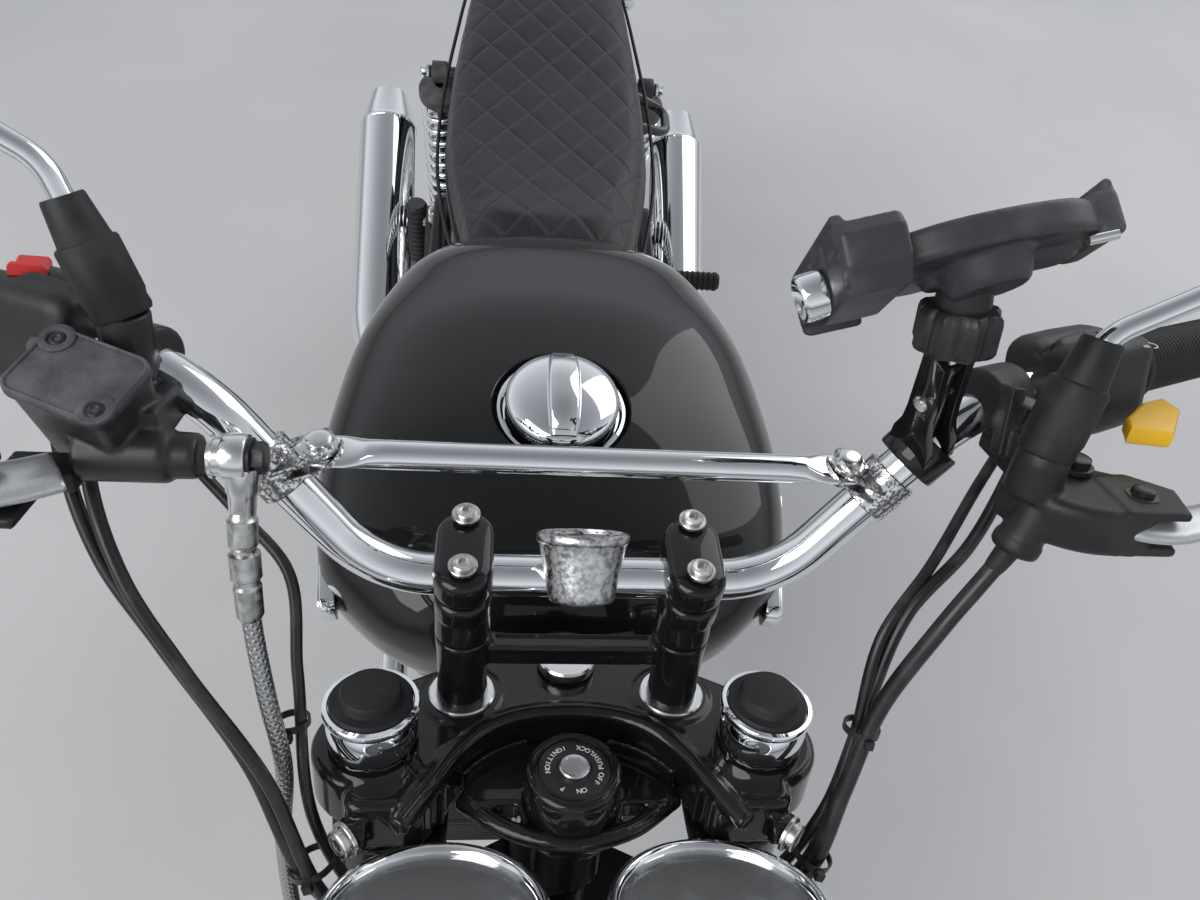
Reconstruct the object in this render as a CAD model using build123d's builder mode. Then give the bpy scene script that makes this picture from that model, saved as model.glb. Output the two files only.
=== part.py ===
"""A classic twin-cylinder cafe motorcycle, parked upright on its centre stand.

Millimetres. +Z is up, the front wheel points along -Y, and the rider's left hand is on the +X side.
The origin is on the ground, midway along the machine's length and on its centre plane.
Pieces that steer are drawn in the steering frame: its origin is on the steering axis at the top
yoke's upper face, its z runs up the steering axis and its y runs back towards the rider.
"""

import os
from math import asin, atan2, cos, degrees, pi, radians, sin, sqrt

from build123d import *

os.makedirs("parts", exist_ok=True)

# Wheels and stance
front_axle_y = -700.0
rear_axle_y = 699.0
front_tyre_r = 318.6
rear_tyre_r = 319.6
front_tyre_w = 100.0
rear_tyre_w = 130.0
rim_bed_r = 226.0
rear_wheel_lift = 12.0
front_axle_z = front_tyre_r
rear_axle_z = rear_tyre_r + rear_wheel_lift
axle_r = 8.5
running_clearance = 0.05
seat_gap = 0.3

# Steering geometry
rake = radians(26.0)
fork_offset = 55.0
fork_length = 690.0
fork_spacing = 210.0
trail = (front_axle_z * sin(rake) - fork_offset) / cos(rake)
axle_along_axis = (front_axle_z - fork_offset * sin(rake)) / cos(rake)
yoke_y = front_axle_y - trail + (axle_along_axis + fork_length) * sin(rake)
yoke_z = (axle_along_axis + fork_length) * cos(rake)
steering = Plane(
    origin=(0, yoke_y, yoke_z), x_dir=(1, 0, 0), z_dir=(0, sin(rake), cos(rake))
)
fork_x = fork_spacing / 2

# Fork
tube_r = 20.5
leg_r = 27.0
leg_top_w = -335.0
cap_height = 34.0
yoke_thick = 30.0
lower_yoke_top = -186.0
lower_yoke_thick = 34.0
stem_r = 14.0
head_tube_r = 27.0
head_gap = 5.0

# Handlebar: corner points of one half, from the middle out, as (u across, v back, w up)
bar_r = 11.1
bar_v = -21.0
bar_w = 84.0
bar_low_corner = (105.0, bar_v, bar_w)
bar_high_corner = (190.0, -16.0, 195.0)
bar_end = (405.6, 81.1, 198.4)
riser_x = 60.0
riser_r = 14.0
crossbar_x = 126.0
crossbar_v = -30.0
crossbar_w = 160.0

# Engine
crankcase_half = 112.0
cylinder_y = -60.0
cylinder_base_z = 430.0
fin_pitch = 12.5
fin_thick = 3.0
fin_count = 9
head_fin_count = 5
cylinder_top_z = cylinder_base_z + fin_count * fin_pitch
head_top_z = cylinder_top_z + head_fin_count * fin_pitch

# Frame and running gear
cradle_x = 105.0
cradle_z = 215.0
cradle_r = 14.0
swingarm_pivot = (222.0, 375.0)
swingarm_x = 115.0
swingarm_r = 16.0
shock_x = 140.0
exhaust_x = 250.0
muffler_r = 47.0

# Chain
chain_pitch = 15.875
rear_teeth = 38
front_teeth = 15
chain_x = 84.0
rear_pitch_r = chain_pitch / (2 * sin(pi / rear_teeth))
front_pitch_r = chain_pitch / (2 * sin(pi / front_teeth))
gearbox_shaft = (112.0, 366.0)

# Stands
centre_stand_pivot = (185.0, 198.0)
side_stand_pivot = (128.0, -90.0, 226.0)


def save(builder, name, plane=None):
    """Names a finished piece, moves it from its own frame if one is given, and writes it."""
    solid = builder.part if plane is None else builder.part.moved(plane.location)
    solid.label = name
    export_step(solid, f"parts/{name}.step")


def mirrored(points):
    """The same points on the other side of the centre plane."""
    return [(-x, y, z) for x, y, z in points]


def along(start, end):
    """A location at start whose z axis points at end, and the distance between them."""
    run = Vector(*end) - Vector(*start)
    return Plane(origin=start, z_dir=run).location, run.length


def dome_arc(edge_r, edge_z, crown_z):
    """An arc in the XZ plane from a rim to a crown, its centre on the Z axis."""
    rise = abs(crown_z - edge_z)
    ball_r = (edge_r**2 + rise**2) / (2 * rise)
    half = asin(edge_r / ball_r) / 2
    sink = ball_r * (1 - cos(half))
    middle = (ball_r * sin(half), crown_z - sink if crown_z > edge_z else crown_z + sink)
    return ThreePointArc((edge_r, edge_z), middle, (0, crown_z))


def in_steering(solid):
    """A solid drawn in the bike's own frame, as it lies in the steering frame."""
    return solid.moved(steering.location.inverse())


# Wheels

def tyre_section(half_width, tyre_r, bead_half):
    """One closed tyre section in the XY plane: x across the tyre, y out from the axle."""
    with BuildLine() as line:
        flange_r = rim_bed_r + 12
        shoulder = (half_width * 0.76, tyre_r - 15.6)
        belly = (half_width, tyre_r - 46.6)
        Polyline((-bead_half, flange_r), (-bead_half, rim_bed_r), (bead_half, rim_bed_r),
                 (bead_half, flange_r))
        ThreePointArc((bead_half, flange_r), belly, shoulder)
        ThreePointArc(shoulder, (0, tyre_r), (-shoulder[0], shoulder[1]))
        ThreePointArc((-shoulder[0], shoulder[1]), (-belly[0], belly[1]),
                      (-bead_half, flange_r))
    return line.line


def wheel_frame(axle_y, axle_z):
    """The frame of a wheel: x across, y out towards the ground's opposite, at the axle."""
    return Plane(origin=(0, axle_y, axle_z), x_dir=(1, 0, 0), z_dir=(0, -1, 0))


front_hub = wheel_frame(front_axle_y, front_axle_z)
rear_hub = wheel_frame(rear_axle_y, rear_axle_z)

wheels = [
    # name, tyre radius, tyre half width, bead half width, wheel frame
    ("front", front_tyre_r, front_tyre_w / 2, 32.0, front_hub),
    ("rear", rear_tyre_r, rear_tyre_w / 2, 44.0, rear_hub),
]
for name, tyre_r, half_width, bead_half, frame_here in wheels:
    with BuildPart() as tyre:
        with BuildSketch() as section:
            add(tyre_section(half_width, tyre_r, bead_half))
            make_face()
        revolve(axis=Axis.X)
    save(tyre, f"{name}_tyre", frame_here)

spoke_count = 36
spoke_r = 1.9
flange_x = 32.0
flange_r = 46.0
disc_r = 160.0
disc_x = -64.0
rear_disc_r = 120.0
rear_disc_x = -74.0
disc_thick = 5.0


def spoke_locations(rim_r):
    """Where the spokes start and point: they leave the hub flanges in turn, leaning both ways."""
    places = []
    for i in range(spoke_count):
        side = 1 if i % 2 else -1
        lean = radians(26 if i % 4 < 2 else -26)
        a = 2 * pi * i / spoke_count
        start = (side * flange_x, (flange_r - 6) * cos(a + lean), (flange_r - 6) * sin(a + lean))
        end = (side * 7, rim_r * cos(a), rim_r * sin(a))
        places.append(along(start, end))
    return places


def rim_profile(bead_half):
    """Half-plane section of a rim: a dropped channel with turned-up flanges."""
    flange = rim_bed_r + 12
    well = rim_bed_r - 9
    wall = 4.0
    return [
        (-bead_half - wall, flange), (-bead_half - wall, rim_bed_r - 4),
        (-bead_half + 12, well - wall), (bead_half - 12, well - wall),
        (bead_half + wall, rim_bed_r - 4), (bead_half + wall, flange),
        (bead_half, flange), (bead_half, rim_bed_r), (-bead_half, rim_bed_r), (-bead_half, flange),
    ]


def hub_profile(half_span):
    """Half-plane section of a hub: two spoke flanges on a waisted barrel with end spigots."""
    return [
        (-half_span, axle_r + running_clearance), (half_span, axle_r + running_clearance),
        (half_span, 22), (flange_x + 4, 24), (flange_x + 4, flange_r), (flange_x - 3, flange_r),
        (flange_x - 8, 30), (-flange_x + 8, 30), (-flange_x + 3, flange_r),
        (-flange_x - 4, flange_r), (-flange_x - 4, 24), (-half_span, 22),
    ]


spoked = [
    # name, bead half width, hub half length, disc x, disc radius, disc band, disc side, frame
    ("front", 32.0, 72.0, disc_x, disc_r, 34.0, -1, front_hub),
    ("rear", 44.0, 88.0, rear_disc_x, rear_disc_r, 30.0, -1, rear_hub),
]
sprocket_tip_r = rear_pitch_r - 6.2
bore_r = axle_r + running_clearance
for name, bead_half, half_span, centre_x, outer_r, band, side, frame_here in spoked:
    inner_r = outer_r - band
    with BuildPart() as wheel:
        for outline in (rim_profile(bead_half), hub_profile(half_span)):
            with BuildSketch():
                with BuildLine():
                    Polyline(*outline, close=True)
                make_face()
            revolve(axis=Axis.X)
        for place, length in spoke_locations(rim_bed_r - 10):
            with Locations(place):
                Cylinder(spoke_r, length, align=(Align.CENTER, Align.CENTER, Align.MIN))
        # The brake disc: a drilled band on a carrier with five windows
        with BuildSketch(Plane.YZ.offset(centre_x - disc_thick / 2)):
            Circle(outer_r)
            Circle(inner_r, mode=Mode.SUBTRACT)
            with PolarLocations(outer_r - band / 2, 20):
                Circle(4, mode=Mode.SUBTRACT)
        extrude(amount=disc_thick)
        with BuildSketch(Plane.YZ.offset(centre_x)):
            Circle(inner_r + 6)
            Circle(bore_r, mode=Mode.SUBTRACT)
            with PolarLocations(inner_r * 0.64, 5):
                Circle(inner_r * 0.26, mode=Mode.SUBTRACT)
        extrude(amount=-side * 5)
        # The rear sprocket
        if name == "rear":
            with BuildSketch(Plane.YZ.offset(chain_x - 3)):
                Circle(sprocket_tip_r)
                Circle(bore_r, mode=Mode.SUBTRACT)
                with PolarLocations(58, 6):
                    Circle(15, mode=Mode.SUBTRACT)
            extrude(amount=6)
    save(wheel, f"{name}_wheel", frame_here)

# Fork: chromed tubes, legs that carry the axle, and the caps on top

axle_w = -fork_length
with BuildPart() as fork_tubes:
    with Locations((fork_x, -fork_offset, leg_top_w - 40), (-fork_x, -fork_offset, leg_top_w - 40)):
        Cylinder(tube_r, 40 - leg_top_w + 4, align=(Align.CENTER, Align.CENTER, Align.MIN))
save(fork_tubes, "fork_tubes", steering)

leg_profile = [
    # radius, height up the steering axis
    (0, axle_w - 26), (20, axle_w - 26), (24, axle_w - 18), (24, axle_w + 34),
    (leg_r, axle_w + 60), (leg_r, leg_top_w - 14), (leg_r + 4, leg_top_w - 12),
    (leg_r + 4, leg_top_w), (tube_r, leg_top_w), (tube_r, leg_top_w - 40), (0, leg_top_w - 40),
]
with BuildPart() as fork_legs:
    with BuildSketch(Plane.XZ):
        with BuildLine():
            Polyline(*leg_profile, close=True)
        make_face()
    revolve(axis=Axis.Z)
    leg = fork_legs.part
with BuildPart() as fork_legs:
    with Locations((fork_x, -fork_offset, 0), (-fork_x, -fork_offset, 0)):
        add(leg)
    with BuildSketch(Plane.YZ.offset(-fork_x - 34)):
        with Locations((-fork_offset, axle_w)):
            Circle(axle_r)
    extrude(amount=2 * fork_x + 68)
    for side in (-1, 1):
        with Locations((side * (fork_x + 31), -fork_offset, axle_w)):
            Cylinder(13, 8, rotation=(0, 90, 0))
        with Locations((side * 77.5, -fork_offset, axle_w)):
            Cylinder(14, 10, rotation=(0, 90, 0))
save(fork_legs, "fork_legs", steering)

cap_profile = [
    (0, 3), (23.5, 3), (23.5, 22), (24.6, 23), (24.6, 27), (23.5, 28), (16.5, 28),
    (16.5, cap_height), (15.5, cap_height + 1), (0, cap_height + 1),
]
with BuildPart() as one_cap:
    with BuildSketch(Plane.XZ):
        with BuildLine():
            Polyline(*cap_profile, close=True)
        make_face()
    revolve(axis=Axis.Z)
with BuildPart() as fork_caps:
    with Locations((fork_x, -fork_offset, 1), (-fork_x, -fork_offset, 1)):
        add(one_cap.part)
save(fork_caps, "fork_caps", steering)

# Top yoke: a plate with an arched front edge round the lock, split clamps and riser bosses

arch_a = 66.0
arch_b = 52.0
lock_v = -82.0
lock_r = 25.0
clamp_r = 32.0
slot_w = 2.6
with BuildPart() as top_yoke:
    with BuildSketch(Plane.XY.offset(-yoke_thick)) as plate:
        with Locations((fork_x, -fork_offset), (-fork_x, -fork_offset)):
            Circle(clamp_r)
        with Locations((0, 0)):
            Circle(34)
        with Locations((riser_x, -23), (-riser_x, -23)):
            Circle(26)
        make_hull()
        with Locations((fork_x - 12, -fork_offset - 26), (-fork_x + 12, -fork_offset - 26)):
            RectangleRounded(44, 36, 9)
        with Locations((0, lock_v - 8)):
            Ellipse(arch_a, arch_b, mode=Mode.SUBTRACT)
    extrude(amount=yoke_thick)
    fillet(top_yoke.faces().sort_by(Axis.Z)[-1].edges(), 4)
    with BuildSketch(Plane.XY.offset(-yoke_thick + 2)):
        with Locations((0, lock_v + 18)):
            RectangleRounded(112, 40, 8)
        with Locations((0, lock_v)):
            Circle(lock_r + 3)
        with Locations((0, lock_v)):
            Circle(lock_r - 1, mode=Mode.SUBTRACT)
    extrude(amount=12)
    with Locations((fork_x, -fork_offset, 0), (-fork_x, -fork_offset, 0)):
        Cylinder(tube_r, 3 * yoke_thick, mode=Mode.SUBTRACT)
    for side in (-1, 1):
        slot = [(side * 88, -66), (side * 74, -82), (side * 73, -112)]
        with BuildSketch(Plane.XY.offset(-yoke_thick - 1)):
            with BuildLine():
                Polyline(*slot)
            trace(line_width=slot_w)
        extrude(amount=yoke_thick + 2, mode=Mode.SUBTRACT)
        with Locations(Location((side * 118, -112, -15), (0, 90, side * -45))):
            Cylinder(10.5, 26, mode=Mode.SUBTRACT)
        with Locations(Location((side * 109, -102, -15), (0, 90, side * -45))):
            Cylinder(7.5, 14)
    with Locations((0, 0, -yoke_thick)):
        Cylinder(stem_r, 2 * yoke_thick, mode=Mode.SUBTRACT)
save(top_yoke, "top_yoke", steering)

# Lower yoke with the steering stem and the stem nut

with BuildPart() as lower_yoke:
    with BuildSketch(Plane.XY.offset(lower_yoke_top - lower_yoke_thick)):
        with Locations((fork_x, -fork_offset), (-fork_x, -fork_offset)):
            Circle(clamp_r)
        with Locations((0, 0)):
            Circle(34)
        make_hull()
    extrude(amount=lower_yoke_thick)
    with Locations((fork_x, -fork_offset, lower_yoke_top), (-fork_x, -fork_offset, lower_yoke_top)):
        Cylinder(tube_r, 3 * lower_yoke_thick, mode=Mode.SUBTRACT)
    with Locations((0, 0, lower_yoke_top - 1)):
        Cylinder(stem_r, 4 - lower_yoke_top, align=(Align.CENTER, Align.CENTER, Align.MIN))
    with BuildSketch():
        RegularPolygon(17, 6)
    extrude(amount=5)
    with Locations((0, 0, 5)):
        Cylinder(15, 3, align=(Align.CENTER, Align.CENTER, Align.MIN))
save(lower_yoke, "lower_yoke", steering)

# Ignition lock

with BuildPart() as ignition_lock:
    with BuildSketch(Plane.XZ):
        with BuildLine():
            Polyline((0, -66), (19, -66), (19, -30), (23.9, -28), (23.9, -16), (25, -16),
                     (25, 5), (23, 8), (19, 8.5), (18.2, 7.2), (0, 7.2), close=True)
        make_face()
    revolve(axis=Axis.Z)
    with Locations((0, 0, 7.2)):
        Cylinder(8, 3)
    with Locations((0, 0, 9)):
        Box(1.6, 10, 4, mode=Mode.SUBTRACT)
    lock_solid = ignition_lock.part
with BuildPart() as ignition_lock:
    with Locations((0, lock_v, 0)):
        add(lock_solid)
save(ignition_lock, "ignition_lock", steering)

# Handlebar

bar_half = [bar_low_corner, bar_high_corner, bar_end]
bar_points = [*reversed(mirrored(bar_half)), *bar_half]
with BuildPart() as handlebar:
    with BuildLine() as bar_line:
        FilletPolyline(*bar_points, radius=[62, 78, 78, 62])
    with BuildSketch(Plane(origin=bar_line.line @ 0, z_dir=bar_line.line % 0)):
        Circle(bar_r)
    sweep(path=bar_line.line)
save(handlebar, "handlebar", steering)


def on_bar(side, share):
    """A point and direction on the bar: share 0 to 1 runs from the upper bend to the bar's end."""
    start = Vector(*bar_high_corner)
    end = Vector(*bar_end)
    point = start + (end - start) * share
    run = (end - start).normalized()
    return Vector(side * point.X, point.Y, point.Z), Vector(side * run.X, run.Y, run.Z)


def on_rise(side, w):
    """The point of the bar's sloping stretch at height w, on one side."""
    low, high = Vector(*bar_low_corner), Vector(*bar_high_corner)
    point = low + (high - low) * ((w - low.Z) / (high.Z - low.Z))
    run = (high - low).normalized()
    return Vector(side * point.X, point.Y, point.Z), Vector(side * run.X, run.Y, run.Z)


# Risers: two posts with split bar clamps, tied by a bridge

clamp_tilt = 14.0
clamp_half = 14.0
clamp_bore_gap = 0.12
with BuildPart() as risers:
    for side in (-1, 1):
        with BuildSketch(Plane.XZ.offset(23)):
            with BuildLine():
                Polyline((side * riser_x, 0), (side * riser_x + 12.5, 0),
                         (side * riser_x + 14.5, 26), (side * riser_x + 14.5, 60),
                         (side * riser_x, 60), close=True)
            make_face()
        revolve(axis=Axis(origin=(side * riser_x, -23, 0), direction=(0, 0, 1)))
        with BuildSketch(Plane.YZ.offset(side * riser_x - clamp_half)):
            with Locations(Location((bar_v + 1, bar_w + 2), -clamp_tilt * 0 + clamp_tilt)):
                RectangleRounded(54, 36, 15)
            with Locations((bar_v - 1, bar_w - 20)):
                RectangleRounded(29, 26, 3)
            with Locations((bar_v, bar_w)):
                Circle(bar_r + clamp_bore_gap, mode=Mode.SUBTRACT)
        extrude(amount=2 * clamp_half)
    with Locations((0, -23, 34)):
        Box(2 * riser_x, 15, 13)
    tilt = radians(clamp_tilt)
    for side in (-1, 1):
        for reach in (-14, 20):
            v = bar_v + reach * cos(tilt) - 16 * sin(tilt)
            w = bar_w + reach * sin(tilt) + 16 * cos(tilt)
            with Locations(Location((side * riser_x, v, w + 2), (clamp_tilt, 0, 0))):
                Cylinder(6.4, 12)
                with Locations((0, 0, 4)):
                    Cylinder(3.2, 6, mode=Mode.SUBTRACT)
    add(handlebar.part, mode=Mode.SUBTRACT)
save(risers, "risers", steering)

# Crossbar with its clamps

crossbar_r = 7.2
with BuildPart() as crossbar:
    with Locations((0, crossbar_v, crossbar_w)):
        Cylinder(crossbar_r, 2 * crossbar_x - 34, rotation=(0, 90, 0))
    for side in (-1, 1):
        grip_at, grip_run = on_rise(side, crossbar_w - 16)
        with Locations(Plane(origin=grip_at, z_dir=grip_run).location):
            Cylinder(bar_r + 3, 19)
        bolt = Vector(side * crossbar_x, crossbar_v, crossbar_w)
        with Locations((side * (crossbar_x - 12), crossbar_v, crossbar_w)):
            Box(24, 9, 15)
        lug = grip_at - bolt
        strap = lug - lug.normalized() * (bar_r + 1)
        strap_plane = Plane(origin=bolt + strap / 2, x_dir=strap, z_dir=Vector(0, -1, 0.35))
        with Locations(strap_plane.location):
            Box(strap.length + 16, 17, 10)
        with Locations(Location(tuple(bolt), (70, 0, 0))):
            Cylinder(9.5, 18)
            with Locations((0, 0, 10)):
                Cylinder(6.5, 6)
    add(handlebar.part, mode=Mode.SUBTRACT)
save(crossbar, "crossbar", steering)

# Bar clock: a tapered case on the middle of the bar, its dial towards the rider

clock_axis = Vector(0, cos(radians(60)), sin(radians(60)))
clock_centre = Vector(-1, bar_v - 19, bar_w + 21)
with BuildPart() as bar_clock:
    with BuildSketch(Plane.XZ):
        with BuildLine():
            Polyline((0, -18), (17, -18), (17.5, -16), (22.6, 12), (23.4, 13), (23.4, 15.5),
                     (20.5, 18), (0, 18), close=True)
        make_face()
    revolve(axis=Axis.Z)
    clock_solid = bar_clock.part
with BuildPart() as bar_clock:
    with Locations(Plane(origin=clock_centre, x_dir=(1, 0, 0), z_dir=clock_axis).location):
        add(clock_solid)
    with Locations((0, bar_v, bar_w + 6)):
        Box(22, 24, 26)
    with Locations((0, bar_v, bar_w)):
        Cylinder(bar_r, 64, rotation=(0, 90, 0), mode=Mode.SUBTRACT)
save(bar_clock, "bar_clock", steering)

# Grips with end weights

grip_r = 17.0
with BuildPart() as grips:
    for side in (-1, 1):
        start, run = on_bar(side, 0.474)
        with Locations(Plane(origin=start, z_dir=run).location):
            Cylinder(grip_r, 118, align=(Align.CENTER, Align.CENTER, Align.MIN))
            with Locations((0, 0, 0)):
                Cylinder(grip_r + 4, 5, align=(Align.CENTER, Align.CENTER, Align.MIN))
            Cylinder(bar_r, 400, mode=Mode.SUBTRACT)
            with Locations((0, 0, 118)):
                Cylinder(16, 14, align=(Align.CENTER, Align.CENTER, Align.MIN))
    add(handlebar.part, mode=Mode.SUBTRACT)
save(grips, "grips", steering)

# Switch housings, inboard of the grips

with BuildPart() as switch_housings:
    for side in (-1, 1):
        start, run = on_bar(side, 0.177)
        with BuildSketch(Plane(origin=start, x_dir=(0, -1, 0.2), z_dir=run)):
            with Locations((-3, 0)):
                RectangleRounded(46, 50, 12)
        extrude(amount=64)
    add(handlebar.part, mode=Mode.SUBTRACT)
save(switch_housings, "switch_housings", steering)

# Brake master cylinder, with its reservoir, on the right of the bar

lever_seat_w = 164.0
mirror_seat = [
    # side, u, v, w of the boss that each mirror stands on
    (-1, -207.0, -20.0, 221.0),
    (1, 200.0, -66.0, 196.0),
]
reservoir_turn = radians(-22)
reservoir_lid = Plane(origin=(-216, -51.3, 205.7), z_dir=(0, -sin(rake), cos(rake)),
                      x_dir=(cos(reservoir_turn), sin(reservoir_turn) * cos(rake),
                             sin(reservoir_turn) * sin(rake)))
master_v = -50.0
master_w = 168.0
with BuildPart() as brake_master:
    with BuildSketch(reservoir_lid.offset(-36)):
        RectangleRounded(43, 31, 5)
    extrude(amount=30)
    with BuildSketch(reservoir_lid.offset(-6)):
        RectangleRounded(48, 36, 6)
    extrude(amount=6)
    with Locations((-208, master_v, master_w)):
        Cylinder(12, 88, rotation=(0, 90, 0))
    with Locations((-158, master_v, master_w)):
        Cylinder(8.5, 20, rotation=(0, 90, 0))
    clamp_at, clamp_run = on_bar(-1, 0.053)
    with Locations(Plane(origin=clamp_at, z_dir=clamp_run).location):
        Cylinder(17, 24)
    with Locations((-200, -34, 182)):
        Box(24, 40, 24)
    with Locations((-246, -71, lever_seat_w - 4)):
        Box(26, 32, 8)
    with Locations((-207, -20, 202)):
        Cylinder(11, 38)
    add(handlebar.part, mode=Mode.SUBTRACT)
save(brake_master, "brake_master", steering)

# Levers: the brake lever by the reservoir, and the clutch lever with its perch

lever_depth = 9.0
with BuildPart() as levers:
    for side in (-1, 1):
        with BuildSketch(Plane.XY.offset(lever_seat_w)):
            with BuildLine():
                Polyline((side * 240, -77), (side * 272, -80), (side * 330, -48), (side * 366, -4))
            trace(line_width=13)
        extrude(amount=lever_depth)
        with Locations((side * 246, -75, lever_seat_w)):
            Cylinder(10, lever_depth + 3, align=(Align.CENTER, Align.CENTER, Align.MIN))
        with Locations((side * 366, -4, lever_seat_w + lever_depth / 2)):
            Sphere(9)
    clamp_at, clamp_run = on_bar(1, 0.053)
    with Locations(Plane(origin=clamp_at, z_dir=clamp_run).location):
        Cylinder(17, 24)
    with Locations((210, -36, 180)):
        Box(26, 46, 30)
    with Locations((220, -62, 170)):
        Box(52, 34, 22)
    with Locations((246, -71, lever_seat_w - 4)):
        Box(26, 32, 8)
    with Locations((200, -66, 184)):
        Cylinder(10, 24)
    add(handlebar.part, mode=Mode.SUBTRACT)
save(levers, "levers", steering)

# Mirrors: a black foot, a chromed stem and a round head on each side

mirror_runs = [
    # where the stem bends outward, and the centre of the head, for each foot above
    ((-229.0, -14.0, 281.0), (-345.0, -14.0, 350.0)),
    ((213.0, -58.0, 248.0), (345.0, -50.0, 316.0)),
]
with BuildPart() as mirrors:
    for (side, u, v, w), (bend, head) in zip(mirror_seat, mirror_runs):
        foot = Vector(u, v, w)
        rise = Vector(*bend) - foot
        with BuildLine() as stem_line:
            FilletPolyline((u, v, w), bend, head, radius=20)
        with BuildSketch(Plane(origin=foot, z_dir=rise.normalized())):
            Circle(5)
        sweep(path=stem_line.line)
        with Locations(Plane(origin=foot, z_dir=rise.normalized()).location):
            Cone(12, 8.5, 42, align=(Align.CENTER, Align.CENTER, Align.MIN))
        with Locations(Plane(origin=head, x_dir=(1, 0, 0), z_dir=(0, 0.855, 0.52)).location):
            Cylinder(56, 16)
    for neighbour in (brake_master, levers):
        add(neighbour.part, mode=Mode.SUBTRACT)
save(mirrors, "mirrors", steering)

# Phone holder clamped on the left of the bar

holder_ball = (146.0, -58.0, 236.0)
holder_face = Plane(origin=(140.5, -54, 279), x_dir=(0.9613, 0.0268, 0.2741),
                    z_dir=(-0.2346, 0.6015, 0.7636))
board_thick = 13.0
with BuildPart() as phone_holder:
    clamp_at, clamp_run = on_rise(1, 166)
    with Locations(Plane(origin=clamp_at, z_dir=clamp_run).location):
        Cylinder(17, 18)
    place, length = along(tuple(clamp_at), holder_ball)
    with Locations(place):
        Cylinder(8, length + 4, align=(Align.CENTER, Align.CENTER, Align.MIN))
    with BuildSketch(Plane.XY.offset(holder_ball[2])):
        with Locations(holder_ball[:2]):
            RegularPolygon(17, 8)
    extrude(amount=24)
    with Locations((holder_ball[0], holder_ball[1], 266)):
        Cylinder(9, 20)
    with BuildSketch(holder_face.offset(-board_thick / 2)):
        RectangleRounded(116, 64, 20)
    extrude(amount=board_thick)
    with Locations(holder_face.location):
        with Locations((-47, 2, -4)):
            Box(26, 52, 26)
        with Locations((53, 4, 0)):
            Box(12, 40, 20)
    add(handlebar.part, mode=Mode.SUBTRACT)
save(phone_holder, "phone_holder", steering)

# Instruments: two tilted pods on one bracket

pod_r = 52.0
pod_depth = 52.0
pod_at = (66.0, -153.0, -6.0)
pod_tilt = radians(45.0) - rake
with BuildPart() as instruments:
    for side in (-1, 1):
        face = Plane(origin=(side * pod_at[0], pod_at[1], pod_at[2]), x_dir=(1, 0, 0),
                     z_dir=(0, sin(pod_tilt), cos(pod_tilt)))
        with Locations(face.location):
            Cylinder(pod_r, 12, align=(Align.CENTER, Align.CENTER, Align.MAX))
            with Locations((0, 0, -12)):
                Cone(38, pod_r - 4, pod_depth - 12, align=(Align.CENTER, Align.CENTER, Align.MAX))
            Cylinder(pod_r - 6, 4, mode=Mode.SUBTRACT)
        with Locations((side * 75, -98, -yoke_thick - 2.5)):
            Box(18, 68, 5)
save(instruments, "instruments", steering)

# Headlamp on its ears, and the lens

lamp_at = (0, -586.0, 800.0)
lamp_r = 86.0
lamp_frame = Plane(origin=lamp_at, x_dir=(1, 0, 0), z_dir=(0, -1, 0))
lens_seat = 48.0
ear_bolt_y = lamp_at[1] - 30
with BuildPart() as headlamp:
    with BuildSketch(Plane.XZ):
        with BuildLine():
            Polyline((0, lens_seat), (lamp_r - 6, lens_seat), (lamp_r - 6, 62), (lamp_r + 3, 62),
                     (lamp_r + 5, 54), (lamp_r, 42), (lamp_r, 18))
            dome_arc(lamp_r, 18, -66)
            Line((0, -66), (0, lens_seat))
        make_face()
    revolve(axis=Axis.Z)
    lamp_solid = headlamp.part
with BuildPart() as headlamp:
    with Locations(lamp_frame.location):
        add(lamp_solid)
    for side in (-1, 1):
        ear_root = steering.location * Location((side * fork_x, -fork_offset, -105))
        root = ear_root.position
        with Locations(ear_root):
            Cylinder(tube_r + 4, 92)
        with BuildSketch(Plane.YZ.offset(side * (lamp_r - 1))):
            with BuildLine():
                Polyline((root.Y + 4, root.Z + 34), (root.Y + 4, root.Z - 34),
                         (ear_bolt_y - 16, lamp_at[2] - 18), (ear_bolt_y - 16, lamp_at[2] + 18),
                         close=True)
            make_face()
        extrude(amount=side * 6)
        with Locations((side * (lamp_r + 2), ear_bolt_y, lamp_at[2])):
            Cylinder(11, 16, rotation=(0, 90, 0))
        with Locations(ear_root):
            Cylinder(tube_r, 200, mode=Mode.SUBTRACT)
save(headlamp, "headlamp")

with BuildPart() as headlamp_lens:
    with BuildSketch(Plane.XZ):
        with BuildLine():
            Polyline((0, lens_seat), (lamp_r - 6, lens_seat), (lamp_r - 6, 60))
            dome_arc(lamp_r - 6, 60, 72)
            Line((0, 72), (0, lens_seat))
        make_face()
    revolve(axis=Axis.Z)
save(headlamp_lens, "headlamp_lens", lamp_frame)

indicator_r = 24.0
with BuildPart() as front_indicators:
    for side in (-1, 1):
        with Locations((side * (lamp_r + 10), ear_bolt_y, lamp_at[2])):
            Cylinder(7, 62, rotation=(0, 90 * side, 0),
                     align=(Align.CENTER, Align.CENTER, Align.MIN))
        with Locations(Location((side * (lamp_r + 88), ear_bolt_y, lamp_at[2]), (90, 0, 0))):
            Cylinder(indicator_r, 34)
save(front_indicators, "front_indicators")

# Front mudguard with its stays, and the brake caliper on the right leg

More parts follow.
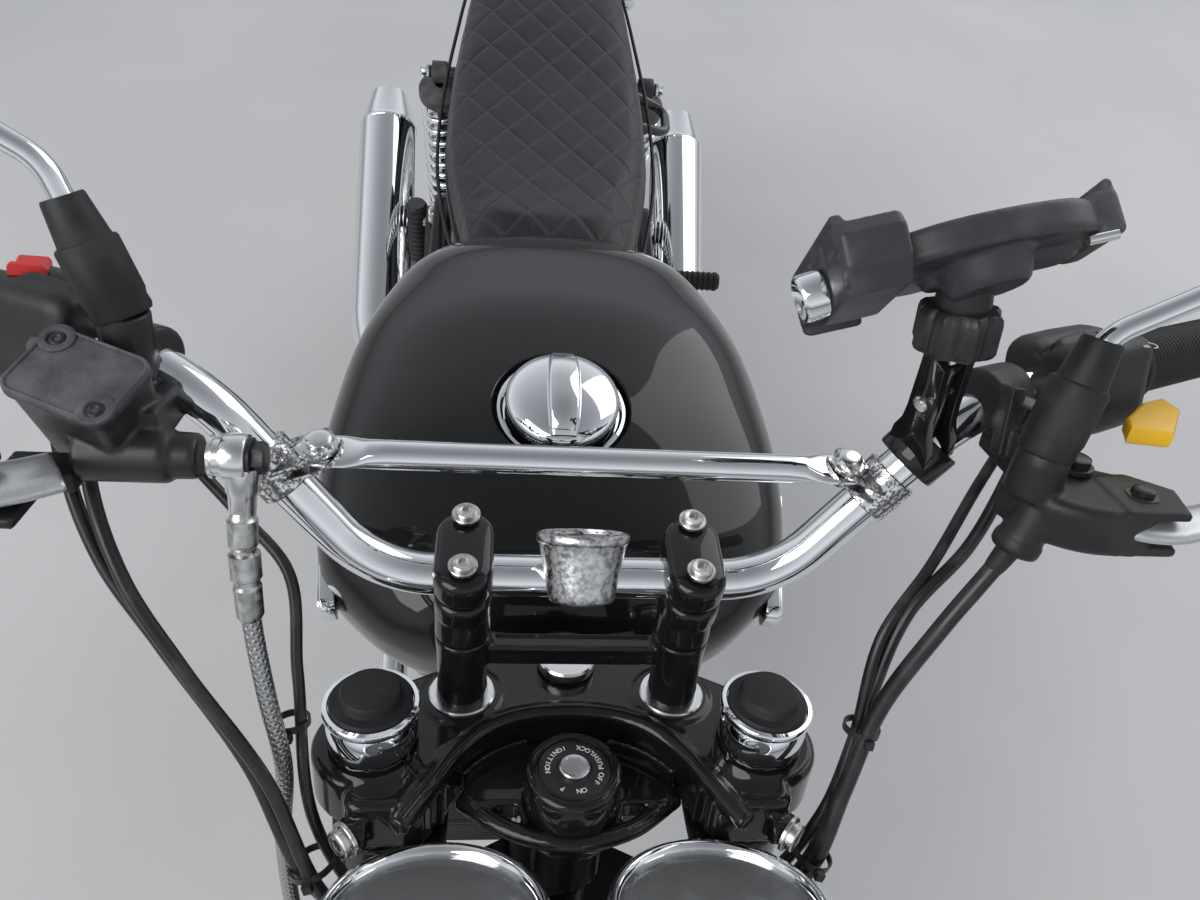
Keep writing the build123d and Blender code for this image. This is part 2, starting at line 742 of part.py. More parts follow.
guard_r = front_tyre_r + 20.0
fork_up = Vector(0, sin(rake), cos(rake))
front_legs = fork_legs.part.moved(steering.location)
with BuildPart() as front_fender:
    with BuildSketch(Plane.XZ):
        with BuildLine():
            Polyline((-60, guard_r - 16), (-60, guard_r - 4))
            ThreePointArc((-60, guard_r - 4), (0, guard_r + 14), (60, guard_r - 4))
            Polyline((60, guard_r - 4), (60, guard_r - 16), (57, guard_r - 16), (57, guard_r - 6))
            ThreePointArc((57, guard_r - 6), (0, guard_r + 11), (-57, guard_r - 6))
            Polyline((-57, guard_r - 6), (-57, guard_r - 16), (-60, guard_r - 16))
        make_face()
    revolve(axis=Axis.X, revolution_arc=112)
    guard = front_fender.part
with BuildPart() as front_fender:
    with Locations(Location((0, front_axle_y, front_axle_z), (-52, 0, 0))):
        add(guard)
    hub_at = Vector(0, front_axle_y, front_axle_z)
    for side in (-1, 1):
        lug = hub_at + fork_up * 318
        with Locations(Plane(origin=lug, x_dir=(1, 0, 0), z_dir=fork_up).location):
            with Locations((side * 70, 0, 0)):
                Box(25, 30, 34)
    add(front_legs, mode=Mode.SUBTRACT)
save(front_fender, "front_fender")

caliper_angle = radians(20.0)
caliper_r = 144.0
with BuildPart() as front_caliper:
    outward = Vector(0, cos(caliper_angle), sin(caliper_angle))
    block = Plane(origin=hub_at + Vector(disc_x, 0, 0) + outward * caliper_r,
                  x_dir=(1, 0, 0), z_dir=outward.cross(Vector(1, 0, 0)))
    with BuildSketch(block.offset(-46)):
        RectangleRounded(48, 62, 8)
    extrude(amount=92)
    with Locations((disc_x - 20, -607, 418)):
        Box(14, 78, 36)
    with Locations(block.location):
        with Locations((0, 18, 0)):
            Box(disc_thick + 8, 72, 160, mode=Mode.SUBTRACT)
    add(front_legs, mode=Mode.SUBTRACT)
save(front_caliper, "front_caliper")

# Tank: sections along its length, from the nose back

tank_sections = [
    # y, half width, top z, z of the widest line, bottom half width, bottom z
    (-318, 98, 872, 838, 74, 800),
    (-262, 162, 906, 842, 118, 772),
    (-170, 176, 917, 842, 128, 760),
    (-40, 162, 902, 836, 118, 756),
    (60, 128, 868, 822, 96, 752),
    (118, 84, 826, 800, 70, 756),
]
cap_y = -152.0
cap_seat_z = 913.0
with BuildPart() as fuel_tank:
    for y, half, top, wide_z, low_half, low_z in tank_sections:
        with BuildSketch(Plane(origin=(0, y, 0), x_dir=(1, 0, 0), z_dir=(0, -1, 0))):
            with BuildLine():
                Line((-low_half, low_z), (low_half, low_z))
                ThreePointArc((low_half, low_z), (half - 4, (low_z + wide_z) / 2), (half, wide_z))
                ThreePointArc((half, wide_z), (0, top), (-half, wide_z))
                ThreePointArc((-half, wide_z), (4 - half, (low_z + wide_z) / 2),
                              (-low_half, low_z))
            make_face()
    loft()
    with BuildSketch(Plane.XZ.offset(400)):
        with Locations((0, 754)):
            RectangleRounded(60, 124, 22)
    extrude(amount=-560, mode=Mode.SUBTRACT)
    with Locations((0, cap_y, cap_seat_z)):
        Cylinder(50, 16, align=(Align.CENTER, Align.CENTER, Align.MIN), mode=Mode.SUBTRACT)
save(fuel_tank, "fuel_tank")

with BuildPart() as filler_cap:
    with BuildSketch(Plane.XZ):
        with BuildLine():
            Polyline((0, 0), (42, 0), (42, 4), (38.5, 6), (38.5, 13))
            dome_arc(38.5, 13, 24)
            Line((0, 24), (0, 0))
        make_face()
    revolve(axis=Axis.Z)
    cap_solid = filler_cap.part
with BuildPart() as filler_cap:
    with Locations((0, cap_y, cap_seat_z)):
        add(cap_solid)
    with Locations((0, cap_y, cap_seat_z + 21)):
        Box(17, 60, 12)
save(filler_cap, "filler_cap")

badge_slope = 0.15
with BuildPart() as tank_badges:
    for side in (-1, 1):
        with BuildSketch(Plane(origin=(side * 171.5, -232, 838), x_dir=(side * badge_slope, 1, 0),
                               z_dir=(side, -badge_slope, 0))):
            RectangleRounded(112, 26, 9)
        extrude(amount=-14)
    add(fuel_tank.part, mode=Mode.SUBTRACT)
save(tank_badges, "tank_badges")

# Engine: crankcase, finned barrels, head and polished covers

crankcase_profile = [
    (-130, 236), (-178, 288), (-178, 380), (-152, cylinder_base_z), (40, cylinder_base_z),
    (70, 418), (156, 398), (162, 320), (136, 246),
]
sprocket_pocket = (50.0, 180.0, 312.0, 422.0)
with BuildPart() as crankcase:
    with BuildSketch(Plane.YZ.offset(-crankcase_half)) as side_view:
        with BuildLine():
            Polyline(*crankcase_profile, close=True)
        make_face()
        fillet(side_view.vertices(), 14)
    extrude(amount=2 * crankcase_half)
    with Locations((0, -10, 230)):
        Box(150, 200, 30)
    front_y, back_y, low_z, high_z = sprocket_pocket
    with Locations((crankcase_half, (front_y + back_y) / 2, (low_z + high_z) / 2)):
        Box(76, back_y - front_y, high_z - low_z, mode=Mode.SUBTRACT)
    with Locations((chain_x - 10, *gearbox_shaft)):
        Cylinder(11, 26, rotation=(0, 90, 0), align=(Align.CENTER, Align.CENTER, Align.MIN))
    with Locations((chain_x, *gearbox_shaft)):
        Cylinder(front_pitch_r - 4.8, 6, rotation=(0, 90, 0))
save(crankcase, "crankcase")

head_half = 61.0
port_r = 23.0
port_z = cylinder_top_z + 30.0
port_x = 50.0
intake_x = 46.0
intake_z = cylinder_top_z + 36.0
with BuildPart() as cylinders:
    with Locations((0, cylinder_y, cylinder_base_z)):
        Box(186, 104, cylinder_top_z - cylinder_base_z,
            align=(Align.CENTER, Align.CENTER, Align.MIN))
    for i in range(fin_count):
        with BuildSketch(Plane.XY.offset(cylinder_base_z + 5 + i * fin_pitch)):
            with Locations((0, cylinder_y)):
                RectangleRounded(238, 158, 34)
        extrude(amount=fin_thick)
save(cylinders, "cylinders")

with BuildPart() as cylinder_head:
    for i in range(head_fin_count):
        with BuildSketch(Plane.XY.offset(cylinder_top_z + 2 + i * fin_pitch)):
            with Locations((0, cylinder_y)):
                RectangleRounded(244, 166, 34)
        extrude(amount=fin_thick)
    for side in (-1, 1):
        with Locations((side * port_x, cylinder_y - 90, port_z)):
            Cylinder(port_r, 80, rotation=(90, 0, 0), mode=Mode.SUBTRACT)
        with Locations((side * intake_x, cylinder_y + 90, intake_z)):
            Cylinder(26, 80, rotation=(90, 0, 0), mode=Mode.SUBTRACT)
    with Locations((0, cylinder_y, cylinder_top_z)):
        Box(196, 2 * head_half, head_top_z - cylinder_top_z,
            align=(Align.CENTER, Align.CENTER, Align.MIN))
    with BuildSketch(Plane.YZ.offset(-118)):
        with Locations((cylinder_y, head_top_z + 22)):
            RectangleRounded(2 * head_half, 50, 20)
    extrude(amount=236)
save(cylinder_head, "cylinder_head")

cover_depth = 34.0
cover_shapes = [
    # side, thickness, first circle (y, z, radius), second circle (y, z, radius)
    (-1, cover_depth, (24, 338, 92), (-98, 322, 58)),
    (1, cover_depth, (-86, 326, 78), (20, 330, 50)),
    (1, 22.0, (104, 362, 62), (150, 342, 40)),
]
with BuildPart() as engine_covers:
    for side, thick, first, second in cover_shapes:
        with BuildSketch(Plane.YZ.offset(side * crankcase_half)):
            with Locations(first[:2]):
                Circle(first[2])
            with Locations(second[:2]):
                Circle(second[2])
            make_hull()
        extrude(amount=side * thick)
save(engine_covers, "engine_covers")

with BuildPart() as carburettors:
    for x in (-intake_x, intake_x):
        with Locations((x, cylinder_y + head_half, intake_z)):
            Cylinder(23, 176, rotation=(-90, 0, 0), align=(Align.CENTER, Align.CENTER, Align.MIN))
        with Locations((x, 66, intake_z - 6)):
            Box(48, 46, 78)
    with Locations((0, 216, 596)):
        Box(92, 82, 120)
save(carburettors, "carburettors")

# Rear mudguard

rear_guard_r = rear_tyre_r + 30.0
with BuildPart() as rear_fender:
    with BuildSketch(Plane.XZ):
        with BuildLine():
            Polyline((-78, rear_guard_r - 18), (-78, rear_guard_r - 6))
            ThreePointArc((-78, rear_guard_r - 6), (0, rear_guard_r + 14), (78, rear_guard_r - 6))
            Polyline((78, rear_guard_r - 6), (78, rear_guard_r - 18), (75, rear_guard_r - 18),
                     (75, rear_guard_r - 8))
            ThreePointArc((75, rear_guard_r - 8), (0, rear_guard_r + 11), (-75, rear_guard_r - 8))
            Polyline((-75, rear_guard_r - 8), (-75, rear_guard_r - 18), (-78, rear_guard_r - 18))
        make_face()
    revolve(axis=Axis.X, revolution_arc=100)
    guard = rear_fender.part
with BuildPart() as rear_fender:
    with Locations(Location((0, rear_axle_y, rear_axle_z), (-54, 0, 0))):
        add(guard)
save(rear_fender, "rear_fender")

# Frame: one table of tubes, each with its radius, bend radius and points

head_top = steering.location * Location((0, 0, -yoke_thick - head_gap))
head_low = steering.location * Location((0, 0, lower_yoke_top + head_gap))
head_mid = steering.location * Location((0, 5, -92))
down_start = (steering.location * Location((0, 10, -122))).position
brace_start = (steering.location * Location((0, 24, -148))).position
top_point = head_top.position
low_point = head_low.position
mid_point = head_mid.position
upright_x = 60.0
rail_x = 92.0
rail_z = 730.0
rail_r = 12.0
loop_y = 730.0
shock_top = (560.0, 700.0)
shock_peg_r = 8.0
pivot_y, pivot_z = swingarm_pivot
frame_tubes = [
    # radius, bend radii, points
    (21.0, [120], [tuple(mid_point), (0, -190, 742), (0, 112, 712)]),
]
for side in (-1, 1):
    frame_tubes += [
        (cradle_r, [60, 60, 55, 30, 60], [
            (side * 15, down_start.Y, down_start.Z), (side * 66, -318, 560),
            (side * cradle_x, -262, cradle_z), (side * cradle_x, 130, cradle_z),
            (side * upright_x, pivot_y - 2, 262), (side * upright_x, pivot_y, 500),
            (side * rail_x, 160, rail_z)]),
        (rail_r, [40], [(side * 14, 60, 720), (side * rail_x, 160, rail_z),
                        (side * rail_x, loop_y, rail_z)]),
        (11.0, [60], [(side * upright_x, pivot_y + 2, 420), (side * 104, 415, 588),
                      (side * 98, 600, rail_z)]),
        (11.0, [60], [(side * 15, brace_start.Y, brace_start.Z), (side * 40, -170, 696),
                      (side * 78, 190, 652)]),
    ]
cross_tubes = [
    # half length, radius, y, z
    (cradle_x, 12.0, -246, cradle_z + 8),
    (94.0, 12.0, 160, cradle_z + 8),
    (upright_x, 12.0, pivot_y, 470),
    (rail_x, 10.0, loop_y - 12, rail_z),
    (rail_x, 10.0, 560, rail_z),
    (104.0, 10.0, 415, 590),
    (97.7, 20.0, pivot_y, pivot_z),
]
frame_plates = [
    # size across, along and up, then the middle of each plate on the +X side
    ((8, 118, 34), (84, -222, 334)),
    ((8, 76, 40), (44, 188, 372)),
    ((14, 44, 44), (97, 560, 712)),
    ((10, 26, 44), (92, centre_stand_pivot[0], 212)),
    ((14, 24, 20), (26, -270, 778)),
    ((64, 20, 26), (30, 96, 742)),
    ((30, 26, 38), (12, 716, 712)),
    ((30, 30, 36), (12, 424, 580)),
]
side_stand_axis = Vector(0.96, -0.048, 0.275)
with BuildPart() as frame:
    for radius_here, bends, points in frame_tubes:
        with BuildLine() as tube_line:
            FilletPolyline(*points, radius=bends if len(points) == len(bends) + 2 else bends[0])
        with BuildSketch(Plane(origin=tube_line.line @ 0, z_dir=tube_line.line % 0)):
            Circle(radius_here)
        sweep(path=tube_line.line)
    for half, radius_here, y, z in cross_tubes:
        with Locations((0, y, z)):
            Cylinder(radius_here, 2 * half, rotation=(0, 90, 0))
    for side in (-1, 1):
        for (across, deep, tall), (x, y, z) in frame_plates:
            with Locations((side * x, y, z)):
                Box(across, deep, tall)
        with Locations((side * (rail_x + 31), *shock_top)):
            Cylinder(shock_peg_r, 62, rotation=(0, 90, 0))
    with Locations((0, *centre_stand_pivot)):
        Cylinder(9, 2 * 95, rotation=(0, 90, 0))
    with Locations(Plane(origin=side_stand_pivot, z_dir=side_stand_axis).location):
        with Locations((0, 0, -3)):
            Cylinder(14, 18, align=(Align.CENTER, Align.CENTER, Align.MAX))
        Cylinder(6, 14, align=(Align.CENTER, Align.CENTER, Align.CENTER))
    with Locations(Plane(origin=low_point, z_dir=fork_up).location):
        head_length = (top_point - low_point).length
        Cylinder(head_tube_r, head_length, align=(Align.CENTER, Align.CENTER, Align.MIN))
        Cylinder(stem_r + running_clearance, 3 * head_length, mode=Mode.SUBTRACT)
    for neighbour in (fuel_tank, crankcase, rear_fender):
        add(neighbour.part, mode=Mode.SUBTRACT)
save(frame, "frame")

# Oil cooler, on brackets from the downtubes

cooler_y = -350.0
with BuildPart() as oil_cooler:
    with Locations((0, cooler_y, 500)):
        Box(170, 14, 86)
    for side in (-1, 1):
        with Locations((side * 91, cooler_y, 500)):
            Box(14, 20, 92)
        with Locations((side * 70, cooler_y + 18, 500)):
            Box(16, 28, 26)
    for i in range(9):
        with Locations((0, cooler_y, 462 + i * 9.5)):
            Box(170, 20, 2.4)
    add(frame.part, mode=Mode.SUBTRACT)
save(oil_cooler, "oil_cooler")

# Exhaust: two header pipes and two megaphone mufflers

header_r = 19.5
header_line = [
    (port_x, cylinder_y - head_half, port_z), (58, -222, port_z - 4), (140, -262, 330),
    (174, -176, 206), (186, 100, 206), (228, 300, 318),
]
muffler_start = Vector(228, 300, 318)
muffler_end = Vector(exhaust_x, 831, 464)
with BuildPart() as exhaust_pipes:
    for points in (header_line, mirrored(header_line)):
        with BuildLine() as pipe_line:
            FilletPolyline(*points, radius=[40, 60, 60, 90])
        with BuildSketch(Plane(origin=pipe_line.line @ 0, z_dir=pipe_line.line % 0)):
            Circle(header_r)
        sweep(path=pipe_line.line)
    add(cylinder_head.part, mode=Mode.SUBTRACT)
save(exhaust_pipes, "exhaust_pipes")

muffler_length = (muffler_end - muffler_start).length
with BuildPart() as one_muffler:
    with BuildSketch(Plane.XZ):
        with BuildLine():
            Polyline((0, 0), (header_r + 5, 0), (header_r + 5, 26), (muffler_r - 5, 96),
                     (muffler_r, 130), (muffler_r, muffler_length - 66),
                     (muffler_r - 2, muffler_length - 60), (muffler_r - 17, muffler_length),
                     (21, muffler_length), (21, muffler_length - 70), (0, muffler_length - 70),
                     close=True)
        make_face()
    revolve(axis=Axis.Z)
with BuildPart() as mufflers:
    for side in (-1, 1):
        start = Vector(side * muffler_start.X, muffler_start.Y, muffler_start.Z)
        end = Vector(side * muffler_end.X, muffler_end.Y, muffler_end.Z)
        with Locations(Plane(origin=start, z_dir=end - start).location):
            add(one_muffler.part)
    add(exhaust_pipes.part, mode=Mode.SUBTRACT)
save(mufflers, "mufflers")

# Swingarm with the rear axle

shock_foot = (636.0, rear_axle_z + 30)
hub_half = 88.0
with BuildPart() as swingarm:
    for side in (-1, 1):
        place, length = along((side * swingarm_x, *swingarm_pivot),
                              (side * swingarm_x, rear_axle_y, rear_axle_z))
        with Locations(place):
            Cylinder(swingarm_r, length - 10, align=(Align.CENTER, Align.CENTER, Align.MIN))
        with Locations((side * swingarm_x, *swingarm_pivot)):
            Cylinder(22, 34, rotation=(0, 90, 0))
        with Locations((side * swingarm_x, rear_axle_y, rear_axle_z)):
            Box(9, 74, 44)
        with Locations((side * (swingarm_x + 10), rear_axle_y, rear_axle_z)):
            Cylinder(14, 12, rotation=(0, 90, 0))
        with Locations((side * (hub_half + 12.3), rear_axle_y, rear_axle_z)):
            Cylinder(13, 24, rotation=(0, 90, 0))
        with Locations((side * (swingarm_x + 2), shock_foot[0], shock_foot[1] - 8)):
            Box(16, 34, 44)
        with Locations((side * (swingarm_x + 18), *shock_foot)):
            Cylinder(shock_peg_r, 42, rotation=(0, 90, 0))
    with Locations((0, pivot_y + 60, pivot_z - 6)):
        Cylinder(17, 2 * swingarm_x, rotation=(0, 90, 0))
    with Locations((0, rear_axle_y, rear_axle_z)):
        Cylinder(axle_r, 2 * swingarm_x + 30, rotation=(0, 90, 0))
save(swingarm, "swingarm")

# Rear shock absorbers: a body, a spring drawn as its turns, and an eye at each end

coil_turns = 11
coil_wire_r = 4.6
shock_run = Vector(0, shock_top[0] - shock_foot[0], shock_top[1] - shock_foot[1])
shock_length = shock_run.length
coil_pitch = (shock_length - 102) / (coil_turns - 1)
with BuildPart() as one_shock:
    with BuildSketch(Plane.XZ):
        with BuildLine():
            Polyline((0, 11), (9, 11), (9, 24), (20, 24), (20, 34), (30, 34), (30, 41), (22, 41))
            start_z = 41
            for i in range(coil_turns):
                z = 50 + i * coil_pitch
                Line((22, start_z), (22, z - coil_wire_r))
                ThreePointArc((22, z - coil_wire_r), (22 + 1.6 * coil_wire_r, z),
                              (22, z + coil_wire_r))
                start_z = z + coil_wire_r
            Polyline((22, start_z), (22, shock_length - 42), (30, shock_length - 42),
                     (30, shock_length - 28), (9, shock_length - 28), (9, shock_length - 11),
                     (0, shock_length - 11), (0, 11))
        make_face()
    revolve(axis=Axis.Z)
with BuildPart() as shock_absorbers:
    for side in (-1, 1):
        foot = (side * shock_x, *shock_foot)
        top = (side * shock_x, *shock_top)
        with Locations(Plane(origin=foot, x_dir=(1, 0, 0), z_dir=shock_run).location):
            add(one_shock.part)
        for eye in (foot, top):
            with Locations(eye):
                Cylinder(14, 20, rotation=(0, 90, 0))
                Cylinder(shock_peg_r, 20, rotation=(0, 90, 0), mode=Mode.SUBTRACT)
save(shock_absorbers, "shock_absorbers")

# Seat, laid over the tank's tail, with pads that stand on the frame rails

seat_sections = [
    # y, width, base z, height, corner radius
    (100, 172, 745, 76, 22),
    (200, 222, 745, 60, 22),
    (370, 250, 745, 50, 20),
    (560, 230, 748, 62, 20),
    (720, 196, 752, 74, 24),
    (772, 150, 758, 60, 24),
]
with BuildPart() as seat:
    for y, width, base, height, corner in seat_sections:
        with BuildSketch(Plane(origin=(0, y, base + height / 2), x_dir=(1, 0, 0),
                               z_dir=(0, -1, 0))):
            RectangleRounded(width, height, corner)
    loft()
    for side in (-1, 1):
        for y in (240, 480, 690):
            with Locations((side * rail_x, y, rail_z + rail_r + 8)):
                Box(16, 30, 20)
    for neighbour in (fuel_tank, frame):
        add(neighbour.part, mode=Mode.SUBTRACT)
save(seat, "seat")

with BuildPart() as side_panels:
    for side in (-1, 1):
        with BuildSketch(Plane.YZ.offset(side * 108)) as panel:
            with BuildLine():
                Polyline((112, 700), (120, 560), (232, 524), (330, 600), (330, 700), close=True)
            make_face()
            fillet(panel.vertices(), 22)
        extrude(amount=side * 22)
        for y, z in ((165, 686), (300, 690)):
            with Locations((side * 102, y, z)):
                Box(16, 20, 14)
        with Locations((side * 102, 300, 708)):
            Box(14, 20, 40)
    add(frame.part, mode=Mode.SUBTRACT)
save(side_panels, "side_panels")

# Tail lamp, indicators and the blank number plate

lamp_y = 898.0
lamp_z = 690.0
with BuildPart() as tail_lamp:
    with Locations(Location((0, lamp_y, lamp_z), (90, 0, 0))):
        Cylinder(40, 46)
    with Locations((0, lamp_y - 26, 650)):
        Box(46, 56, 54)
    with Locations((0, 940.5, 616)):
        Box(40, 85, 10)
    with Locations(Location((0, 978, 640), (12, 0, 0))):
        Box(190, 3, 110)
    for side in (-1, 1):
        with Locations((side * 20, lamp_y - 30, 656)):
            Cylinder(7, 90, rotation=(0, 90 * side, 0),
                     align=(Align.CENTER, Align.CENTER, Align.MIN))
        with Locations(Location((side * 130, lamp_y - 30, 656), (90, 0, 0))):
            Cylinder(indicator_r, 34)
    with Locations((0, rear_axle_y, rear_axle_z)):
        Cylinder(rear_guard_r + 12, 300, rotation=(0, 90, 0), mode=Mode.SUBTRACT)
    add(rear_fender.part, mode=Mode.SUBTRACT)
save(tail_lamp, "tail_lamp")

# Foot controls on plates outside the swingarm pivot

hanger_x = 136.0
peg_at = (146.0, 308.0)
with BuildPart() as foot_controls:
    for side in (-1, 1):
        with BuildSketch(Plane.YZ.offset(side * hanger_x)) as plate:
            with BuildLine():
                Polyline((206, 398), (242, 398), (242, 356), (152, 280), (112, 280), (112, 314),
                         close=True)
            make_face()
            fillet(plate.vertices(), 10)
        extrude(amount=side * 7)
        with Locations((side * (swingarm_x + 17), *swingarm_pivot)):
            Cylinder(14, 6, rotation=(0, 90 * side, 0),
                     align=(Align.CENTER, Align.CENTER, Align.MIN))
        with Locations((side * hanger_x, *peg_at)):
            Cylinder(9, 40, rotation=(0, 90 * side, 0),
                     align=(Align.CENTER, Align.CENTER, Align.MIN))
        with Locations((side * (hanger_x + 30), *peg_at)):
            Cylinder(13, 104, rotation=(0, 90 * side, 0),
                     align=(Align.CENTER, Align.CENTER, Align.MIN))
        pedal_start = (side * (hanger_x + 20), 122, 289)
        pedal_end = (side * (hanger_x + 26), -52, 268)
        place, length = along(pedal_start, pedal_end)
        with Locations(place):
            Cylinder(6, length, align=(Align.CENTER, Align.CENTER, Align.MIN))
        with Locations(pedal_end):
            Cylinder(9, 44, rotation=(0, 90 * side, 0),
                     align=(Align.CENTER, Align.CENTER, Align.MIN))
        with Locations((side * (hanger_x + 12), 122, 289)):
            Cylinder(8, 30, rotation=(0, 90, 0))
save(foot_controls, "foot_controls")

# Passenger pegs, the right one folded up, on hangers from the shock stays, which also hold the
# mufflers

with BuildPart() as pillion_hangers:
    for side in (-1, 1):
        with BuildSketch(Plane.YZ.offset(side * 146)) as plate:
            with BuildLine():
                Polyline((336, 532), (400, 578), (438, 578), (462, 470), (456, 374), (428, 374),
                         (424, 440), close=True)
            make_face()
            fillet(plate.vertices(), 8)
        extrude(amount=side * 7)
        for y, z in ((352, 524), (418, 562)):
            with Locations((side * 94, y, z)):
                Cylinder(8, 56, rotation=(0, 90 * side, 0),
                         align=(Align.CENTER, Align.CENTER, Align.MIN))
        with Locations((side * 146, 440, 460)):
            Cylinder(12, 138 if side > 0 else 32, rotation=(0, 90 * side, 0),
                     align=(Align.CENTER, Align.CENTER, Align.MIN))
        with Locations((side * 176, 442, 380)):
            Box(66, 24, 8)
    with Locations((-168, 440, 460)):
        Cylinder(12, 116, align=(Align.CENTER, Align.CENTER, Align.MIN))
    for neighbour in (frame, mufflers):
        add(neighbour.part, mode=Mode.SUBTRACT)
save(pillion_hangers, "pillion_hangers")

# Drive chain: a roller band with outer plates, in one closed loop

span = Vector(rear_axle_y - gearbox_shaft[0], rear_axle_z - gearbox_shaft[1], 0)
centre_distance = span.length
span_angle = atan2(span.Y, span.X)
wrap = asin((rear_pitch_r - front_pitch_r) / centre_distance)
run_length = sqrt(centre_distance**2 - (rear_pitch_r - front_pitch_r) ** 2)
front_arc = front_pitch_r * (pi - 2 * wrap)
rear_arc = rear_pitch_r * (pi + 2 * wrap)
loop_length = 2 * run_length + front_arc + rear_arc
plate_count = round(loop_length / (2 * chain_pitch))


def chain_point(distance):
    """A point on the pitch line, and its heading in degrees: rear wrap, lower run, front, upper."""
    top = span_angle + pi / 2 + wrap
    rear = Vector(rear_axle_y, rear_axle_z, 0)
    front = Vector(gearbox_shaft[0], gearbox_shaft[1], 0)
    if distance < rear_arc:
        a = top - distance / rear_pitch_r
        return rear + Vector(cos(a), sin(a), 0) * rear_pitch_r, degrees(a) - 90
    distance -= rear_arc
    low = span_angle - pi / 2 - wrap
    if distance < run_length:
        heading = low - pi / 2
        start = rear + Vector(cos(low), sin(low), 0) * rear_pitch_r
        return start + Vector(cos(heading), sin(heading), 0) * distance, degrees(heading)
    distance -= run_length
    if distance < front_arc:
        a = low - distance / front_pitch_r
        return front + Vector(cos(a), sin(a), 0) * front_pitch_r, degrees(a) - 90
    distance -= front_arc
    heading = top - pi / 2
    start = front + Vector(cos(top), sin(top), 0) * front_pitch_r
    return start + Vector(cos(heading), sin(heading), 0) * distance, degrees(heading)


plate_places = []
for i in range(plate_count):
    point, heading = chain_point(i * loop_length / plate_count)
    plate_places.append(Location((point.X, point.Y), heading))
band_half = 4.6
plate_outline = [(-12, -3), (-8, -6.2), (8, -6.2), (12, -3), (12, 3), (8, 6.2), (-8, 6.2), (-12, 3)]
with BuildPart() as drive_chain:
    for growth, mode in ((band_half, Mode.ADD), (-band_half, Mode.SUBTRACT)):
        with BuildSketch(Plane.YZ.offset(chain_x - 4)):
            with Locations((rear_axle_y, rear_axle_z)):
                Circle(rear_pitch_r + growth)
            with Locations(gearbox_shaft):
                Circle(front_pitch_r + growth)
            make_hull()
        extrude(amount=8, mode=mode)
    for start in (chain_x - 6.6, chain_x + 4):
        with BuildSketch(Plane.YZ.offset(start)):
            with Locations(*plate_places):
                Polygon(*plate_outline)
        extrude(amount=2.6)
save(drive_chain, "drive_chain")

with BuildPart() as chain_guard:
    with BuildSketch(Plane.YZ.offset(chain_x - 12)):
        with BuildLine():
            Polyline((306, 434), (560, 446), (724, 448), (724, 460), (560, 460), (306, 446),
                     close=True)
        make_face()
    extrude(amount=24)
    for y, z in ((360, 402), (580, 400)):
        with Locations((swingarm_x - 15, y, z)):
            Box(10, 20, 104)
    for neighbour in (swingarm, drive_chain):
        add(neighbour.part, mode=Mode.SUBTRACT)
save(chain_guard, "chain_guard")

rear_caliper_angle = radians(128.0)
with BuildPart() as rear_caliper:
    outward = Vector(0, cos(rear_caliper_angle), sin(rear_caliper_angle))
    block = Plane(origin=Vector(rear_disc_x, rear_axle_y, rear_axle_z) + outward * 108,
                  x_dir=(1, 0, 0), z_dir=outward.cross(Vector(1, 0, 0)))
    with BuildSketch(block.offset(-38)):
        RectangleRounded(44, 54, 8)
    extrude(amount=76)
    with Locations(block.location):
        with Locations((0, 16, 0)):
            Box(disc_thick + 8, 62, 120, mode=Mode.SUBTRACT)
    with Locations((rear_disc_x - 26, 622, 380)):
        Box(12, 26, 80)
    add(swingarm.part, mode=Mode.SUBTRACT)
save(rear_caliper, "rear_caliper")

# Lifting handle on the left, below the seat

with BuildPart() as lifting_handle:
    with BuildLine() as handle_line:
        FilletPolyline((rail_x + 2, 440, rail_z + 1), (158, 446, 714), (162, 508, 704),
                       (rail_x + 2, 514, rail_z + 1), radius=20)
    with BuildSketch(Plane(origin=handle_line.line @ 0, z_dir=handle_line.line % 0)):
        Circle(6)
    sweep(path=handle_line.line)
    add(frame.part, mode=Mode.SUBTRACT)
save(lifting_handle, "lifting_handle")

# Centre stand: two legs on a pivot tube, feet on the ground, drawn as it stands when parked

stand_y, stand_z = centre_stand_pivot
foot_y = stand_y - 20
with BuildPart() as centre_stand:
    for side in (-1, 1):
        with Locations((side * 70, stand_y, stand_z)):
            Cylinder(16, 22, rotation=(0, 90, 0))
        place, length = along((side * 72, stand_y - 2, stand_z - 14), (side * 126, foot_y, 12))
        with Locations(place):
            Cylinder(12, length, align=(Align.CENTER, Align.CENTER, Align.MIN))
        with Locations((side * 128, foot_y, 0)):
            Box(44, 34, 14, align=(Align.CENTER, Align.CENTER, Align.MIN))
    with Locations((0, stand_y - 9, stand_z - 84)):
        Cylinder(10, 2 * 88, rotation=(0, 90, 0))
    with Locations((0, stand_y, stand_z)):
        Cylinder(9 + running_clearance, 300, rotation=(0, 90, 0), mode=Mode.SUBTRACT)
save(centre_stand, "centre_stand")

# Side stand, drawn folded along the left cradle tube

side_stand_length = 186.0
folded = Vector(0.05, 1, 0)
with BuildPart() as side_stand:
    pivot = Vector(*side_stand_pivot)
    with Locations(Plane(origin=pivot, z_dir=side_stand_axis).location):
        with Locations((0, 0, -2.7)):
            Cylinder(14, 15, align=(Align.CENTER, Align.CENTER, Align.MIN))
    start = pivot + side_stand_axis * 6
    end = start + folded.normalized() * side_stand_length
    place, length = along(tuple(start), tuple(end))
    with Locations(place):
        Cylinder(8, length, align=(Align.CENTER, Align.CENTER, Align.MIN))
    with Locations(tuple(end)):
        Box(18, 32, 36)
    with Locations(Plane(origin=pivot, z_dir=side_stand_axis).location):
        Cylinder(6 + running_clearance, 60, mode=Mode.SUBTRACT)
save(side_stand, "side_stand")

# Control cables and the braided brake hose, in the steering frame

